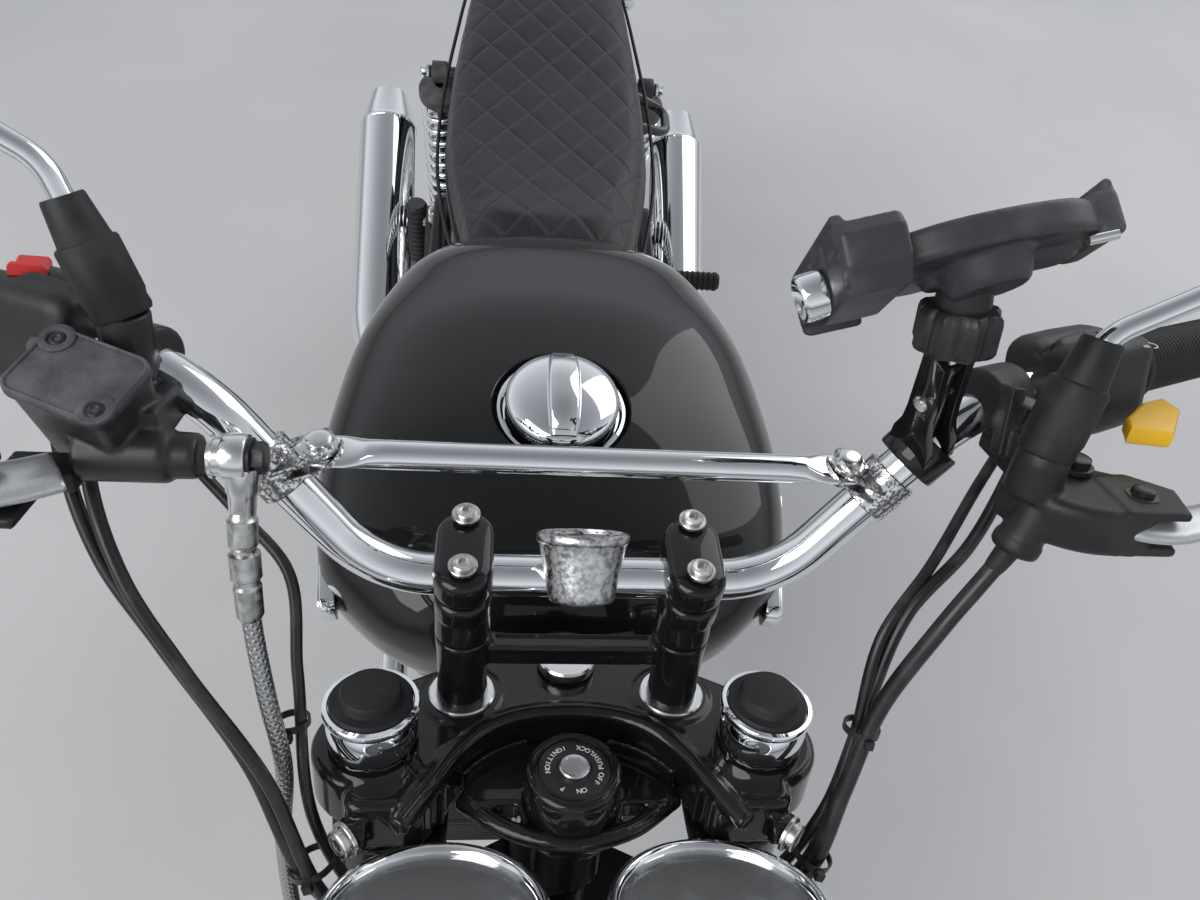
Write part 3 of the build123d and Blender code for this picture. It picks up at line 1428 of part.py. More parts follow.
cable_runs = [
    # radius, bend radius, points
    (3.4, 34, [(-246, -6, 182), (-238, -32, 132), (-214, -52, 92), (-174, -74, 36),
               (-134, -108, -40), (-62, -106, -136)]),
    (3.4, 34, [(-234, -4, 182), (-226, -42, 130), (-202, -62, 90), (-164, -84, 36),
               (-126, -116, -40), (-54, -114, -136)]),
    (3.0, 26, [(-226, 8, 182), (-188, -4, 128), (-146, -26, 94), (-139, -58, 34),
               (-126, -98, -34), (-66, -97, -130)]),
    (4.2, 34, [(206, -70, 170), (180, -76, 118), (152, -84, 50), (132, -106, -38),
               (66, -108, -136)]),
    (3.4, 30, [(234, -4, 182), (206, -36, 136), (164, -58, 96), (146, -78, 38),
               (128, -99, -36), (60, -98, -130)]),
]
headlamp_local = in_steering(headlamp.part)
with BuildPart() as control_cables:
    for radius_here, bend_r, points in cable_runs:
        with BuildLine() as cable_line:
            FilletPolyline(*points, radius=bend_r)
        with BuildSketch(Plane(origin=cable_line.line @ 0, z_dir=cable_line.line % 0)):
            Circle(radius_here)
        sweep(path=cable_line.line)
    for neighbour in (switch_housings.part, levers.part, brake_master.part, headlamp_local):
        add(neighbour, mode=Mode.SUBTRACT)
save(control_cables, "control_cables", steering)

hose_points = [(-154, -51, 170), (-155, -60, 130), (-155, -66, 96), (-149, -74, 50),
               (-145, -78, 10), (-151, -76, -44), (-150, -62, -200), (-148, -40, -400), (-132, -10, -480),
               (-80, 10, -516), (-78, 12, -560)]
with BuildPart() as brake_hose:
    with BuildLine() as hose_line:
        FilletPolyline(*hose_points, radius=28)
    with BuildSketch(Plane(origin=hose_line.line @ 0, z_dir=hose_line.line % 0)):
        Circle(4.5)
    sweep(path=hose_line.line)
    for neighbour in (brake_master.part, in_steering(front_caliper.part)):
        add(neighbour, mode=Mode.SUBTRACT)
save(brake_hose, "brake_hose", steering)
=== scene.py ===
"""A classic twin-cylinder cafe motorcycle, finished piece by piece in the order it is put together.

Sizes are in millimetres and turn into metres as each mesh is made. +Z is up, the front wheel points
along -Y. Steered pieces are laid out in the steering head's own directions: across, back, and up
the steering axis from the top yoke's upper face.
"""

from math import atan2, cos, pi, radians, sin, sqrt, tau

import bmesh
import bpy
import numpy as np
from mathutils import Matrix, Vector


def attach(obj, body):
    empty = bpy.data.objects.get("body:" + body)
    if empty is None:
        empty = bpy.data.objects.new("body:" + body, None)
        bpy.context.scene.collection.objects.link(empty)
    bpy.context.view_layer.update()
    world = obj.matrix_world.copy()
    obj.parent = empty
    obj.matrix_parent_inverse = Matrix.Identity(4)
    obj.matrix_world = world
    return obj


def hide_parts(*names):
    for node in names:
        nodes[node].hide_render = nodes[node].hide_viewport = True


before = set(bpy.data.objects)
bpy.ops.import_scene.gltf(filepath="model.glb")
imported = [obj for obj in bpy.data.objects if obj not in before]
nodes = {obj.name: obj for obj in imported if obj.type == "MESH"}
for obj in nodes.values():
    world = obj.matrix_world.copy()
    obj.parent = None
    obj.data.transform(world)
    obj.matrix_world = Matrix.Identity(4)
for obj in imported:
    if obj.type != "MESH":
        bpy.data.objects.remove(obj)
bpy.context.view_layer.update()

# The photographer stands over the front wheel and looks down and back at the bars with a wide lens,
# the phone turned a little anticlockwise.


def added(name, data):
    """An object of this data, linked to the scene."""
    made = bpy.data.objects.new(name, data)
    bpy.context.scene.collection.objects.link(made)
    return made


view_at = (-0.0454, -0.5385, 1.4259)
view_yaw, view_dip, view_roll = radians(-11.63), radians(55.25), radians(11.69)
ahead = Vector((-sin(view_yaw) * cos(view_dip), cos(view_yaw) * cos(view_dip), -sin(view_dip)))
level = Vector((cos(view_yaw), sin(view_yaw), 0))
overhead = level.cross(ahead)
right = level * cos(view_roll) + overhead * sin(view_roll)
above = overhead * cos(view_roll) - level * sin(view_roll)
camera = added("camera", bpy.data.cameras.new("camera"))
camera.data.lens = 890.8 * 36 / 1200
camera.data.sensor_width = 36
camera.data.clip_start = 0.01
camera.matrix_world = Matrix.Translation(view_at) @ Matrix(
    [[right[i], above[i], -ahead[i]] for i in range(3)]).to_4x4()
bpy.context.scene.camera = camera
bpy.context.scene.view_settings.view_transform = "Standard"


class Tap:
    """One value or vector inside a finish; arithmetic on it adds Math nodes there."""

    def __init__(self, finish, socket):
        self.finish, self.socket = finish, socket

    def sum(self, operation, first, second):
        return self.finish.add("Math", {0: first, 1: second}, operation=operation)

    def __add__(self, other):
        return self.sum("ADD", self, other)

    def __sub__(self, other):
        return self.sum("SUBTRACT", self, other)

    def __rsub__(self, other):
        return self.sum("SUBTRACT", other, self)

    def __mul__(self, other):
        return self.sum("MULTIPLY", self, other)

    __radd__, __rmul__ = __add__, __mul__


class Finish:
    """A surface finish: fixed numbers sit on the shader's own sockets, taps feed what varies."""

    def __init__(self, name, colour, rough, metal=0.0, **fixed):
        self.material = bpy.data.materials.new(name)
        self.material.use_nodes = True
        self.tree = self.material.node_tree
        self.shader = self.tree.nodes["Principled BSDF"]
        self.set("Base Color", (*colour, 1))
        self.set("Roughness", rough)
        self.set("Metallic", metal)
        for key, value in fixed.items():
            self.set(key.replace("_", " "), value)
        self.spot = self.add("TexCoord", output="Object")

    def set(self, key, value):
        self.feed(self.shader.inputs[key], value)

    def feed(self, socket, value):
        if isinstance(value, Tap):
            self.tree.links.new(value.socket, socket)
        else:
            socket.default_value = value

    def add(self, kind, sockets=None, output=0, **settings):
        """A node of any type: its settings first, then the values or taps of its sockets."""
        made = self.tree.nodes.new("ShaderNode" + kind)
        for key, value in settings.items():
            setattr(made, key, value)
        for key, value in (sockets or {}).items():
            self.feed(made.inputs[key], value)
        return Tap(self, made.outputs[output])

    def noise(self, scale, detail=2.0, stretch=(1, 1, 1), turn=(0, 0, 0)):
        where = self.spot
        if stretch != (1, 1, 1) or turn != (0, 0, 0):
            where = self.add("Mapping", {"Vector": where, "Scale": stretch, "Rotation": turn})
        return self.add("TexNoise", {"Vector": where, "Scale": scale, "Detail": detail})

    def cells(self, scale, feature="F1", output="Distance"):
        return self.add("TexVoronoi", {"Vector": self.spot, "Scale": scale}, output,
                        feature=feature)

    def ease(self, value, low, high):
        """0 below low, 1 above high, with a smooth step between."""
        return self.add("MapRange", {"Value": value, "From Min": low, "From Max": high},
                        interpolation_type="SMOOTHSTEP")

    def blend(self, share, first, second):
        """The first colour turning into the second as share goes from 0 to 1."""
        return self.add("Mix", {0: share, 6: first, 7: second}, output=2, data_type="RGBA")

    def tint(self, share, first, second):
        self.set("Base Color", self.blend(share, (*first, 1), (*second, 1)))

    def aged(self, patch, first, second, rough=None, grain=None):
        """Patches of (noise scale, detail, low, high) turn the first colour into the second and
        raise the roughness, given as (base, added); grain is a relief of (scale, detail, depth)."""
        where = self.ease(self.noise(*patch[:2]), *patch[2:])
        self.tint(where, first, second)
        if rough:
            self.set("Roughness", rough[0] + where * rough[1])
        if grain:
            self.relief(self.noise(*grain[:2]), grain[2])

    def relief(self, height, depth):
        """Raises the surface by depth millimetres where height is 1."""
        self.set("Normal", self.add("Bump", {"Height": height, "Strength": 1.0,
                                             "Distance": depth / 1000}))


# The stage: a pale concrete-grey floor under a soft sky, with two broad lamps that lift the shade
# under the machine as an overcast day does.
floor_mesh = bpy.data.meshes.new("floor")
floor_mesh.from_pydata([(-9, -9, 0), (9, -9, 0), (9, 9, 0), (-9, 9, 0)], [], [(0, 1, 2, 3)])
floor = added("floor", floor_mesh)
pale = Finish("floor_paint", (0.62, 0.62, 0.61), 0.7)
pale.tint(pale.ease(pale.noise(1.3, 5), 0.35, 0.7), (0.6, 0.6, 0.595), (0.66, 0.655, 0.65))
floor_mesh.materials.append(pale.material)
world = bpy.data.worlds.new("sky")
bpy.context.scene.world = world
world.use_nodes = True
sky = world.node_tree
sky_spot = sky.nodes.new("ShaderNodeTexCoord")
sky_split = sky.nodes.new("ShaderNodeSeparateXYZ")
sky_ramp = sky.nodes.new("ShaderNodeValToRGB")
stops = [(0.0, 0.16), (0.46, 0.2), (0.53, 0.62), (0.62, 1.0), (0.78, 0.72), (1.0, 0.3)]
for k, (at, strength) in enumerate(stops):
    stop = sky_ramp.color_ramp.elements[k] if k < 2 else sky_ramp.color_ramp.elements.new(at)
    stop.position = at
    stop.color = (strength * 0.94, strength * 0.98, strength * 1.05, 1)
sky_half = sky.nodes.new("ShaderNodeMath")
sky_half.operation = "MULTIPLY_ADD"
sky_half.inputs[1].default_value, sky_half.inputs[2].default_value = 0.5, 0.5
sky.links.new(sky_spot.outputs["Generated"], sky_split.inputs[0])
sky.links.new(sky_split.outputs["Z"], sky_half.inputs[0])
sky.links.new(sky_half.outputs[0], sky_ramp.inputs[0])
sky.links.new(sky_ramp.outputs[0], sky.nodes["Background"].inputs["Color"])
sky.nodes["Background"].inputs["Strength"].default_value = 0.8
for name, at, size, power in (("key", (-2.2, -1.6, 3.2), 2.4, 75.0),
                              ("fill", (2.6, 2.0, 2.8), 3.0, 40.0)):
    lamp = added(name, bpy.data.lights.new(name, "AREA"))
    lamp.data.size, lamp.data.energy = size, power
    lamp.location = at
    lamp.rotation_euler = (Vector((0, 0, 0.6)) - Vector(at)).to_track_quat("-Z", "Y").to_euler()

# Chromed tube: the bar is one steel tube bent to shape, polished and plated. Its plating is clean,
# with faint haze and hairline wiping marks.
rake = radians(26)
head_at = np.array([0.0, -348.0902, 914.6575])
head_back = np.array([0, cos(rake), -sin(rake)])
head_up = np.array([0, sin(rake), cos(rake)])


def to_head(part):
    """A part laid out as (across, back, up the steering axis), put where it is on the machine."""
    points, faces = part
    u, v, w = np.asarray(points, float).T
    return head_at + np.outer(u, (1, 0, 0)) + np.outer(v, head_back) + np.outer(w, head_up), faces


def skin(rows, around=True, ends=True):
    """Joins a lattice of points, rows by columns by 3, with quads; ends close the outer rows."""
    rows = np.asarray(rows, float)
    count, columns = rows.shape[:2]
    i, j = np.meshgrid(np.arange(count - 1), np.arange(columns if around else columns - 1),
                       indexing="ij")
    k = (j + 1) % columns
    quads = np.stack([i * columns + j, i * columns + k, (i + 1) * columns + k,
                      (i + 1) * columns + j], -1).reshape(-1, 4).tolist()
    if ends:
        quads += [list(range(columns))[::-1], list(range((count - 1) * columns, count * columns))]
    return rows.reshape(-1, 3), quads


def square_to(up, side=None):
    """Two unit vectors square to up and to each other, the first one near side."""
    up = np.asarray(up, float) / np.linalg.norm(up)
    side = np.asarray(side if side is not None else ((1, 0, 0) if abs(up[0]) < 0.9 else (0, 1, 0)),
                      float)
    first = side - up * (side @ up)
    first /= np.linalg.norm(first)
    return first, np.cross(up, first), up


def laid(part, at, up=(0, 0, 1), side=None):
    """A part drawn round the origin, with its x along side, its z along up and its origin at at."""
    points, faces = part
    axes = np.array(square_to(up, side))
    return np.asarray(at, float) + np.asarray(points) @ axes, faces


def turned(profile, at=(0, 0, 0), up=(0, 0, 1), count=48, loop=False):
    """A profile of (radius, height[, sides]) turned round a line: each point lies at radius from it,
    at angle t and that height; with sides, the radius follows a polygon of so many flats."""
    t = np.arange(count) * tau / count
    rows = []
    for radius, height, *sides in profile:
        if sides:
            flat = tau / sides[0]
            reach = radius * cos(flat / 2) / np.cos((t % flat) - flat / 2)
        else:
            reach = np.full(count, float(radius))
        rows.append(np.stack([reach * np.cos(t), reach * np.sin(t), np.full(count, height)], -1))
    if loop:
        rows.append(rows[0])
    return laid(skin(rows, ends=not loop), at, up)


def bent(corners, radii, step=0.12):
    """A path of straight runs with a circular bend at each corner, as points along it: a bend of
    radius r leaves its corner r*tan(half the turn) away and follows the circle in small angles."""
    corners = [np.array(c, float) for c in corners]
    path = [corners[0]]
    for before, corner, after, r in zip(corners, corners[1:], corners[2:], radii):
        a, b = before - corner, after - corner
        a, b = a / np.linalg.norm(a), b / np.linalg.norm(b)
        turn = pi - np.arccos(np.clip(a @ b, -1, 1))
        centre = corner + (a + b) / np.linalg.norm(a + b) * r / cos(turn / 2)
        start, finish = corner + a * r * np.tan(turn / 2), corner + b * r * np.tan(turn / 2)
        share = np.linspace(0, 1, max(3, int(turn / step) + 2))[:, None]
        path.extend((centre + (np.sin((1 - share) * turn) * (start - centre)
                               + np.sin(share * turn) * (finish - centre)) / sin(turn)))
    return np.array(path + [corners[-1]])


def walked(path):
    """The distance gone along a path at each of its points."""
    return np.concatenate([[0], np.cumsum(np.linalg.norm(np.diff(path, axis=0), axis=1))])


def flowing(points, count):
    """A smooth line through a few points: between two of them it is the cubic that leaves and meets
    them along the mean direction of their neighbours, with the distance walked as its measure."""
    points = np.array(points, float)
    gone = walked(points)
    slope = np.gradient(points, gone, axis=0)
    s = np.linspace(0, gone[-1], count)
    i = np.clip(np.searchsorted(gone, s, side="right") - 1, 0, len(points) - 2)
    span = (gone[i + 1] - gone[i])[:, None]
    t = ((s - gone[i]) / span[:, 0])[:, None]
    return ((2 * t**3 - 3 * t**2 + 1) * points[i] + (t**3 - 2 * t**2 + t) * span * slope[i]
            + (3 * t**2 - 2 * t**3) * points[i + 1] + (t**3 - t**2) * span * slope[i + 1])


def directions(path, toward):
    """At each point of a path: its travel direction, across, which is travel crossed with toward,
    and up, which is square to both."""
    travel = np.gradient(path, axis=0)
    travel /= np.linalg.norm(travel, axis=1)[:, None]
    across = np.cross(travel, np.asarray(toward, float))
    across /= np.linalg.norm(across, axis=1)[:, None]
    return travel, across, np.cross(across, travel)


def swept(path, section, size=1.0, toward=(0.31, 0.27, 0.91), ends=True):
    """A closed section (across, up) carried along a path; size scales the section at each point."""
    path = np.asarray(path, float)
    _, across, up = directions(path, toward)
    size = np.broadcast_to(np.asarray(size, float), (len(path),) if np.ndim(size) < 2
                           else np.shape(size))
    if size.ndim == 1:
        size = np.stack([size, size], -1)
    x, y = np.asarray(section, float).T
    rows = (path[:, None] + (size[:, :1] * x)[..., None] * across[:, None]
            + (size[:, 1:] * y)[..., None] * up[:, None])
    return skin(rows, ends=ends)


def circle(r, count=24):
    """Points of a circle of radius r."""
    t = np.arange(count) * tau / count
    return np.stack([r * np.cos(t), r * np.sin(t)], -1)


def raw_mesh(name, parts):
    """Parts in millimetres joined in one mesh in metres, doubles merged and faces outwards."""
    mesh = bpy.data.meshes.new(name)
    points, faces, base = [], [], 0
    for part_points, part_faces in parts:
        points.append(np.asarray(part_points, float) / 1000)
        faces += [[i + base for i in face] for face in part_faces]
        base += len(part_points)
    mesh.from_pydata(np.concatenate(points), [], faces)
    work = bmesh.new()
    work.from_mesh(mesh)
    bmesh.ops.remove_doubles(work, verts=work.verts, dist=2e-6)
    bmesh.ops.dissolve_degenerate(work, edges=work.edges, dist=1e-6)
    bmesh.ops.recalc_face_normals(work, faces=work.faces)
    work.to_mesh(mesh)
    work.free()
    return mesh


def piece(name, parts, finish, body, smooth=38, stands_for=()):
    """One object from parts in millimetres, with edges sharper than smooth degrees kept crisp, on
    its body and in place of the nodes named."""
    return place(name, raw_mesh(name, parts), finish, body, smooth, stands_for)


def place(name, mesh, finish, body, smooth=38, stands_for=()):
    """Makes an object of a finished mesh and puts it on its body, in place of the nodes named."""
    mesh.shade_smooth()
    mesh.set_sharp_from_angle(angle=radians(smooth))
    mesh.materials.clear()
    mesh.materials.append(finish.material)
    made = added(name, mesh)
    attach(made, body)
    if stands_for:
        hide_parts(*stands_for)
    return made


chrome = Finish("chrome_plate", (0.86, 0.87, 0.885), 0.05, 1.0)
haze = chrome.ease(chrome.noise(14, 4), 0.45, 0.8)
wiped = chrome.noise(60, 3, (1, 9, 9))
chrome.set("Roughness", 0.03 + haze * 0.07 + wiped * 0.03)
chrome.relief(chrome.noise(120, 2), 0.006)

bar_r = 11.1
bar_low, bar_high, bar_end = (105, -21, 84), (190, -16, 195), (405.6, 81.1, 198.4)
bar_corners = [(-405.6, 81.1, 198.4), (-190, -16, 195), (-105, -21, 84), bar_low, bar_high, bar_end]
bar_path = bent(bar_corners, [78, 62, 62, 78], 0.05)
piece("handlebar_tube", [to_head(swept(bar_path, circle(bar_r, 40), toward=(0, 1, 0.02)))], chrome,
      "steering", stands_for=["handlebar"])

# Top yoke: a sand-cast alloy plate that clamps both fork tubes, arched over the lock with a raised
# lip along the arch. It is lacquered deep black; each clamp is slit and drawn up by a steel bolt.


def coated(node, finish):
    """Gives a CAD node that shows as it is a finish of its own."""
    nodes[node].data.materials.clear()
    nodes[node].data.materials.append(finish.material)


def points_of(mesh):
    """The points of a mesh in metres, one row each."""
    spots = np.empty(len(mesh.vertices) * 3, np.float32)
    mesh.vertices.foreach_get("co", spots)
    return spots.reshape(-1, 3)


def cad_part(node):
    """A CAD node's own surface as a part in millimetres."""
    mesh = nodes[node].data
    return points_of(mesh) * 1000.0, [list(face.vertices) for face in mesh.polygons]


def worked(mesh, *steps):
    """The mesh after modifiers given as (type, settings), worked out once."""
    holder = added("work", mesh)
    for kind, settings in steps:
        step = holder.modifiers.new(kind, kind)
        for key, value in settings.items():
            setattr(step, key, value)
    done = bpy.data.meshes.new_from_object(holder.evaluated_get(bpy.context.evaluated_depsgraph_get()))
    bpy.data.objects.remove(holder)
    return done


def cast(name, parts, grain, rounds, finish, body, stands_for=()):
    """Closed parts run together as one casting: their union on a lattice of grain millimetres, each
    point then drawn rounds times halfway to the middle of its neighbours, as a mould's fillets."""
    mesh = worked(raw_mesh(name, parts),
                  ("REMESH", {"mode": "VOXEL", "voxel_size": grain / 1000, "adaptivity": 0.0}),
                  ("SMOOTH", {"factor": 0.5, "iterations": rounds}))
    return place(name, mesh, finish, body, 180, stands_for)


def socket_screw(at, up, r=5.0, height=5.0, key=2.6, sunk=2.6):
    """A round-headed screw with a hexagon sunk in its end: a turned profile whose inner rings follow
    six flats."""
    return turned([(0.05, -2), (r, -2), (r, height - 0.7), (r - 0.7, height), (key + 0.5, height),
                   (key, height - 0.4, 6), (key, height - sunk, 6), (0.05, height - sunk - 0.4)],
                  at, up, 24)


def hex_screw(at, up, r=6.0, height=4.5, flange=0.0):
    """A hexagon head with a crowned, chamfered top, on a round flange if one is given."""
    foot = [(0.05, -1.5), (flange, -1.5), (flange, 0.8), (r * 1.02, 1.2)] if flange else [(0.05, -1.5)]
    return turned(foot
                  + [(r, 0.9 if flange else -1.5, 6), (r, height - 1.2, 6), (r * 0.93, height - 0.5),
                     (r * 0.8, height), (r * 0.4, height + 0.25), (0.05, height + 0.3)], at, up, 24)


lacquer = Finish("black_lacquer", (0.005, 0.005, 0.0055), 0.4, Coat_Weight=1.0, Coat_Roughness=0.03,
                 Specular_IOR_Level=0.1, Coat_IOR=1.4)
dust = lacquer.ease(lacquer.noise(22, 6), 0.5, 0.85)
specks = lacquer.ease(lacquer.cells(900), 0.16, 0.05) * lacquer.ease(lacquer.noise(160, 2), 0.45, 0.6)
lacquer.tint(dust * 0.1 + specks * 0.5, (0.006, 0.006, 0.0065), (0.075, 0.072, 0.066))
lacquer.set("Roughness", 0.4 + dust * 0.2)
lacquer.relief(lacquer.noise(260, 2), 0.012)

fork_x, fork_back = 105, -55
riser_x, riser_back = 60, -23
lip = flowing([(-87, -108, -3), (-74, -86, -2), (-60, -62, -1.5), (-42, -45, -1), (0, -35, -1),
               (42, -45, -1), (60, -62, -1.5), (74, -86, -2), (87, -108, -3)], 70)
low_web = flowing([(-58, -76, -23), (-30, -98, -20), (0, -106, -19), (30, -98, -20), (58, -76, -23)],
                  40)
cast("yoke_casting", [cad_part("top_yoke"), to_head(swept(lip, circle(5.6, 16))),
                      to_head(swept(low_web, circle(5, 14))),
                      *[to_head(turned([(0.05, -14), (27, -14), (25, -1), (22, 1.2), (18.5, 1.6),
                                        (0.05, 1.6)], (s * riser_x, riser_back, 0))) for s in (-1, 1)]],
     1.3, 4, lacquer, "steering", ["top_yoke"])

zinc = Finish("zinc_plated_steel", (0.62, 0.62, 0.6), 0.3, 1.0)
zinc.aged((180, 5, 0.35, 0.7), (0.46, 0.46, 0.44), (0.72, 0.72, 0.7), (0.22, 0.2), (700, 3, 0.02))
piece("yoke_pinch_bolts",
      [to_head(socket_screw((s * 112.5, -105.5, -15), (s * 0.7071, -0.7071, 0), 7.6, 4.5, 3.6, 3.4))
       for s in (-1, 1)]
      + [to_head(turned([(0.05, -1), (9.6, -1), (9.6, 0.6), (9.2, 1), (0.05, 1)],
                        (s * 112, -105, -15), (s * 0.7071, -0.7071, 0))) for s in (-1, 1)],
      zinc, "steering")
coated("lower_yoke", lacquer)

# Stem nut cover and riser washers: turned steel, polished bright. The cover hides the nut that holds
# the yoke on its stem, and a washer lies under the foot of each black riser.
bright = Finish("bright_steel", (0.78, 0.78, 0.77), 0.22, 1.0)
rings = bright.noise(300, 3, (1, 1, 14))
bright.set("Roughness", 0.14 + rings * 0.16)
bright.relief(rings, 0.01)
piece("stem_nut_cover",
      [to_head(turned([(0.05, 2), (16.6, 2), (17, 2.6), (17, 7.6), (16, 8.8), (8, 9.4), (0.05, 9.5)],
                      (0, 0, 0), count=40))], bright, "steering")
piece("riser_washers",
      [to_head(turned([(0.05, -0.5), (18.6, -0.5), (18.6, 2.6), (17.8, 3.3), (0.05, 3.3)],
                      (s * riser_x, riser_back, 0), count=48)) for s in (-1, 1)], bright, "steering")

# Fork caps: a chromed collar with a rolled ring screws into each tube, and a black rubber plug closes
# its middle.
collar = [(0.05, -24), (20.4, -24), (20.4, 2.6), (23.2, 3.2), (23.6, 4.2), (23.6, 19.6), (22.8, 20.8),
          (22.6, 22.2), (24.4, 22.9), (25, 23.8), (25, 26.2), (24.3, 27.2), (22.2, 27.4), (21.6, 26.6),
          (0.05, 26.4)]
piece("fork_collars", [to_head(turned(collar, (s * fork_x, fork_back, 0), count=64)) for s in (-1, 1)],
      chrome, "steering", stands_for=["fork_caps"])
rubber = Finish("matt_rubber", (0.017, 0.017, 0.018), 0.62, Specular_IOR_Level=0.35)
rubber.aged((45, 5, 0.45, 0.8), (0.014, 0.014, 0.015), (0.036, 0.035, 0.034), (0.5, 0.25),
            (900, 2, 0.03))
plug = [(0.05, 25.6), (21.2, 25.6), (21.4, 28.4), (20.6, 29.6), (17.2, 30), (16.2, 30.4), (15.8, 31.4),
        (15.6, 34.6), (14.8, 35.9), (13, 36.4), (0.05, 36.6)]
piece("fork_plugs", [to_head(turned(plug, (s * fork_x, fork_back, 0), count=56)) for s in (-1, 1)],
      rubber, "steering")

# Ignition lock: a moulded black barrel through the yoke, its face ringed with white words, and a
# steel plug with the key slot.


def lettering(words, height, depth=0.3):
    """Words drawn flat as a part round the origin: x along the line, y up the letters, z to the
    reader, depth thick."""
    curve = bpy.data.curves.new("words", "FONT")
    curve.body, curve.size, curve.extrude, curve.resolution_u = words, height, depth / 2, 3
    curve.align_x, curve.align_y = "CENTER", "CENTER"
    mesh = worked(curve)
    points = [tuple(corner.co) for corner in mesh.vertices]
    faces = [list(face.vertices) for face in mesh.polygons]
    return np.array(points), faces


def marked(words, height, at, up, along):
    """Lettering laid on a surface: its middle at at, facing up, reading along."""
    return laid(lettering(words, height), at, up, along)


plastic = Finish("black_moulding", (0.02, 0.02, 0.021), 0.42, Specular_IOR_Level=0.45)
plastic.aged((38, 6, 0.48, 0.82), (0.017, 0.017, 0.018), (0.042, 0.041, 0.04), (0.36, 0.22),
             (1100, 3, 0.045))
lock_at = (0, -82, 0)
barrel = [(0.05, -66), (19, -66), (19, -31), (24.2, -29), (24.4, -17), (25.2, -15.5), (25.2, 4.4),
          (24.6, 6.8), (23, 8.2), (20.4, 8.8), (19.4, 8.5), (18.8, 7.0), (0.05, 7.0)]
piece("lock_barrel", [to_head(turned(barrel, lock_at, count=72))], lacquer, "steering",
      stands_for=["ignition_lock"])
piece("lock_face", [to_head(turned([(0.05, 6.6), (18.7, 6.6), (18.7, 7.5), (18.2, 7.8), (9.4, 7.8),
                                    (9, 7.2), (0.05, 7.2)], lock_at, count=56))], plastic, "steering")
piece("lock_plug",
      [to_head(turned([(0.05, 7), (7.9, 7), (7.9, 9.4), (7.2, 10), (5.9, 10.05), (5.7, 9.7),
                       (0.05, 9.7)], lock_at, count=40)),
       *[to_head(laid(skin([[(x, -4.6, z), (x, 4.6, z), (x + 1.5, 4.6, z), (x + 1.5, -4.6, z)]
                            for z in (9.2, 10.3)]), lock_at)) for x in (-2.6, 1.1)]], bright,
      "steering")
white_ink = Finish("white_ink", (0.78, 0.78, 0.76), 0.5)
white_ink.set("Roughness", 0.45 + white_ink.noise(300) * 0.2)
ring_words = []
for words, angle in (("IGNITION", 148), ("LOCK", 62), ("PUSH", 18), ("OFF", -28), ("ON", -78),
                     ("P", -118)):
    side = 1 if sin(radians(angle)) > 0 else -1
    for k, letter in enumerate(words):
        b = radians(angle) + side * (k - (len(words) - 1) / 2) * 0.19
        spot = (14 * cos(b), 14 * sin(b) + lock_at[1], 7.85)
        ring_words.append(to_head(marked(letter, 3.9, spot, (0, 0, 1),
                                         (-side * sin(b), side * cos(b), 0))))
piece("lock_words", ring_words, white_ink, "steering")

# Bar risers: two cast posts with split clamps tied by a bridge, lacquered black. Each clamp cap is
# drawn down by two socket screws, and a fine joint shows where cap and post meet.


def rounded(length, width, corner, count=8):
    """The outline of a rectangle with round corners, as points anticlockwise."""
    points = []
    for x, y, start in ((1, 1, 0), (-1, 1, 90), (-1, -1, 180), (1, -1, 270)):
        t = np.radians(np.linspace(start, start + 90, count))
        points.append(np.stack([x * (length / 2 - corner) + corner * np.cos(t),
                                y * (width / 2 - corner) + corner * np.sin(t)], -1))
    return np.concatenate(points)


def slab(outline, low, high, edge=0.8, at=(0, 0, 0), up=(0, 0, 1), side=None, bulge=0.0):
    """A plate of any outline with its rims rounded over: each level is the outline drawn in by
    edge*(1 - cos t) towards its inner side, edge*(1 - sin t) from the face; bulge crowns the top."""
    outline = np.asarray(outline, float)
    tangent = np.roll(outline, -1, 0) - np.roll(outline, 1, 0)
    tangent /= np.maximum(np.linalg.norm(tangent, axis=1), 1e-6)[:, None]
    inward = np.stack([-tangent[:, 1], tangent[:, 0]], -1)
    levels = [(edge * (1 - sin(radians(t))), low + edge * (1 - cos(radians(t))))
              for t in (0, 30, 60, 90)]
    levels += [(edge * (1 - cos(radians(t))), high - edge * (1 - sin(radians(t))))
               for t in (0, 30, 60, 90)]
    rows = [np.column_stack([outline + inward * draw, np.full(len(outline), z)]) for draw, z in levels]
    if bulge:
        inner = rows[-1]
        for share in (0.8, 0.5, 0.2):
            level = inner.copy()
            level[:, :2] = inner[:, :2].mean(0) + (inner[:, :2] - inner[:, :2].mean(0)) * share
            level[:, 2] += bulge * (1 - share * share)
            rows.append(level)
    return laid(skin(rows), at, up, side)


def head_vector(direction):
    """A direction given as (across, back, up the steering axis), in the machine's own directions."""
    u, v, w = direction
    return np.array([u, 0, 0]) + v * head_back + w * head_up


def head_spot(spot):
    """A place given as (across, back, up the steering axis), in the machine's own millimetres."""
    return head_at + head_vector(spot)


def block(size, at=(0, 0, 0), up=(0, 0, 1), side=None):
    """A rectangular block about a point."""
    a, b, c = np.array(size, float) / 2
    return laid(skin([[(-a, -b, z), (a, -b, z), (a, b, z), (-a, b, z)] for z in (-c, c)]), at, up, side)


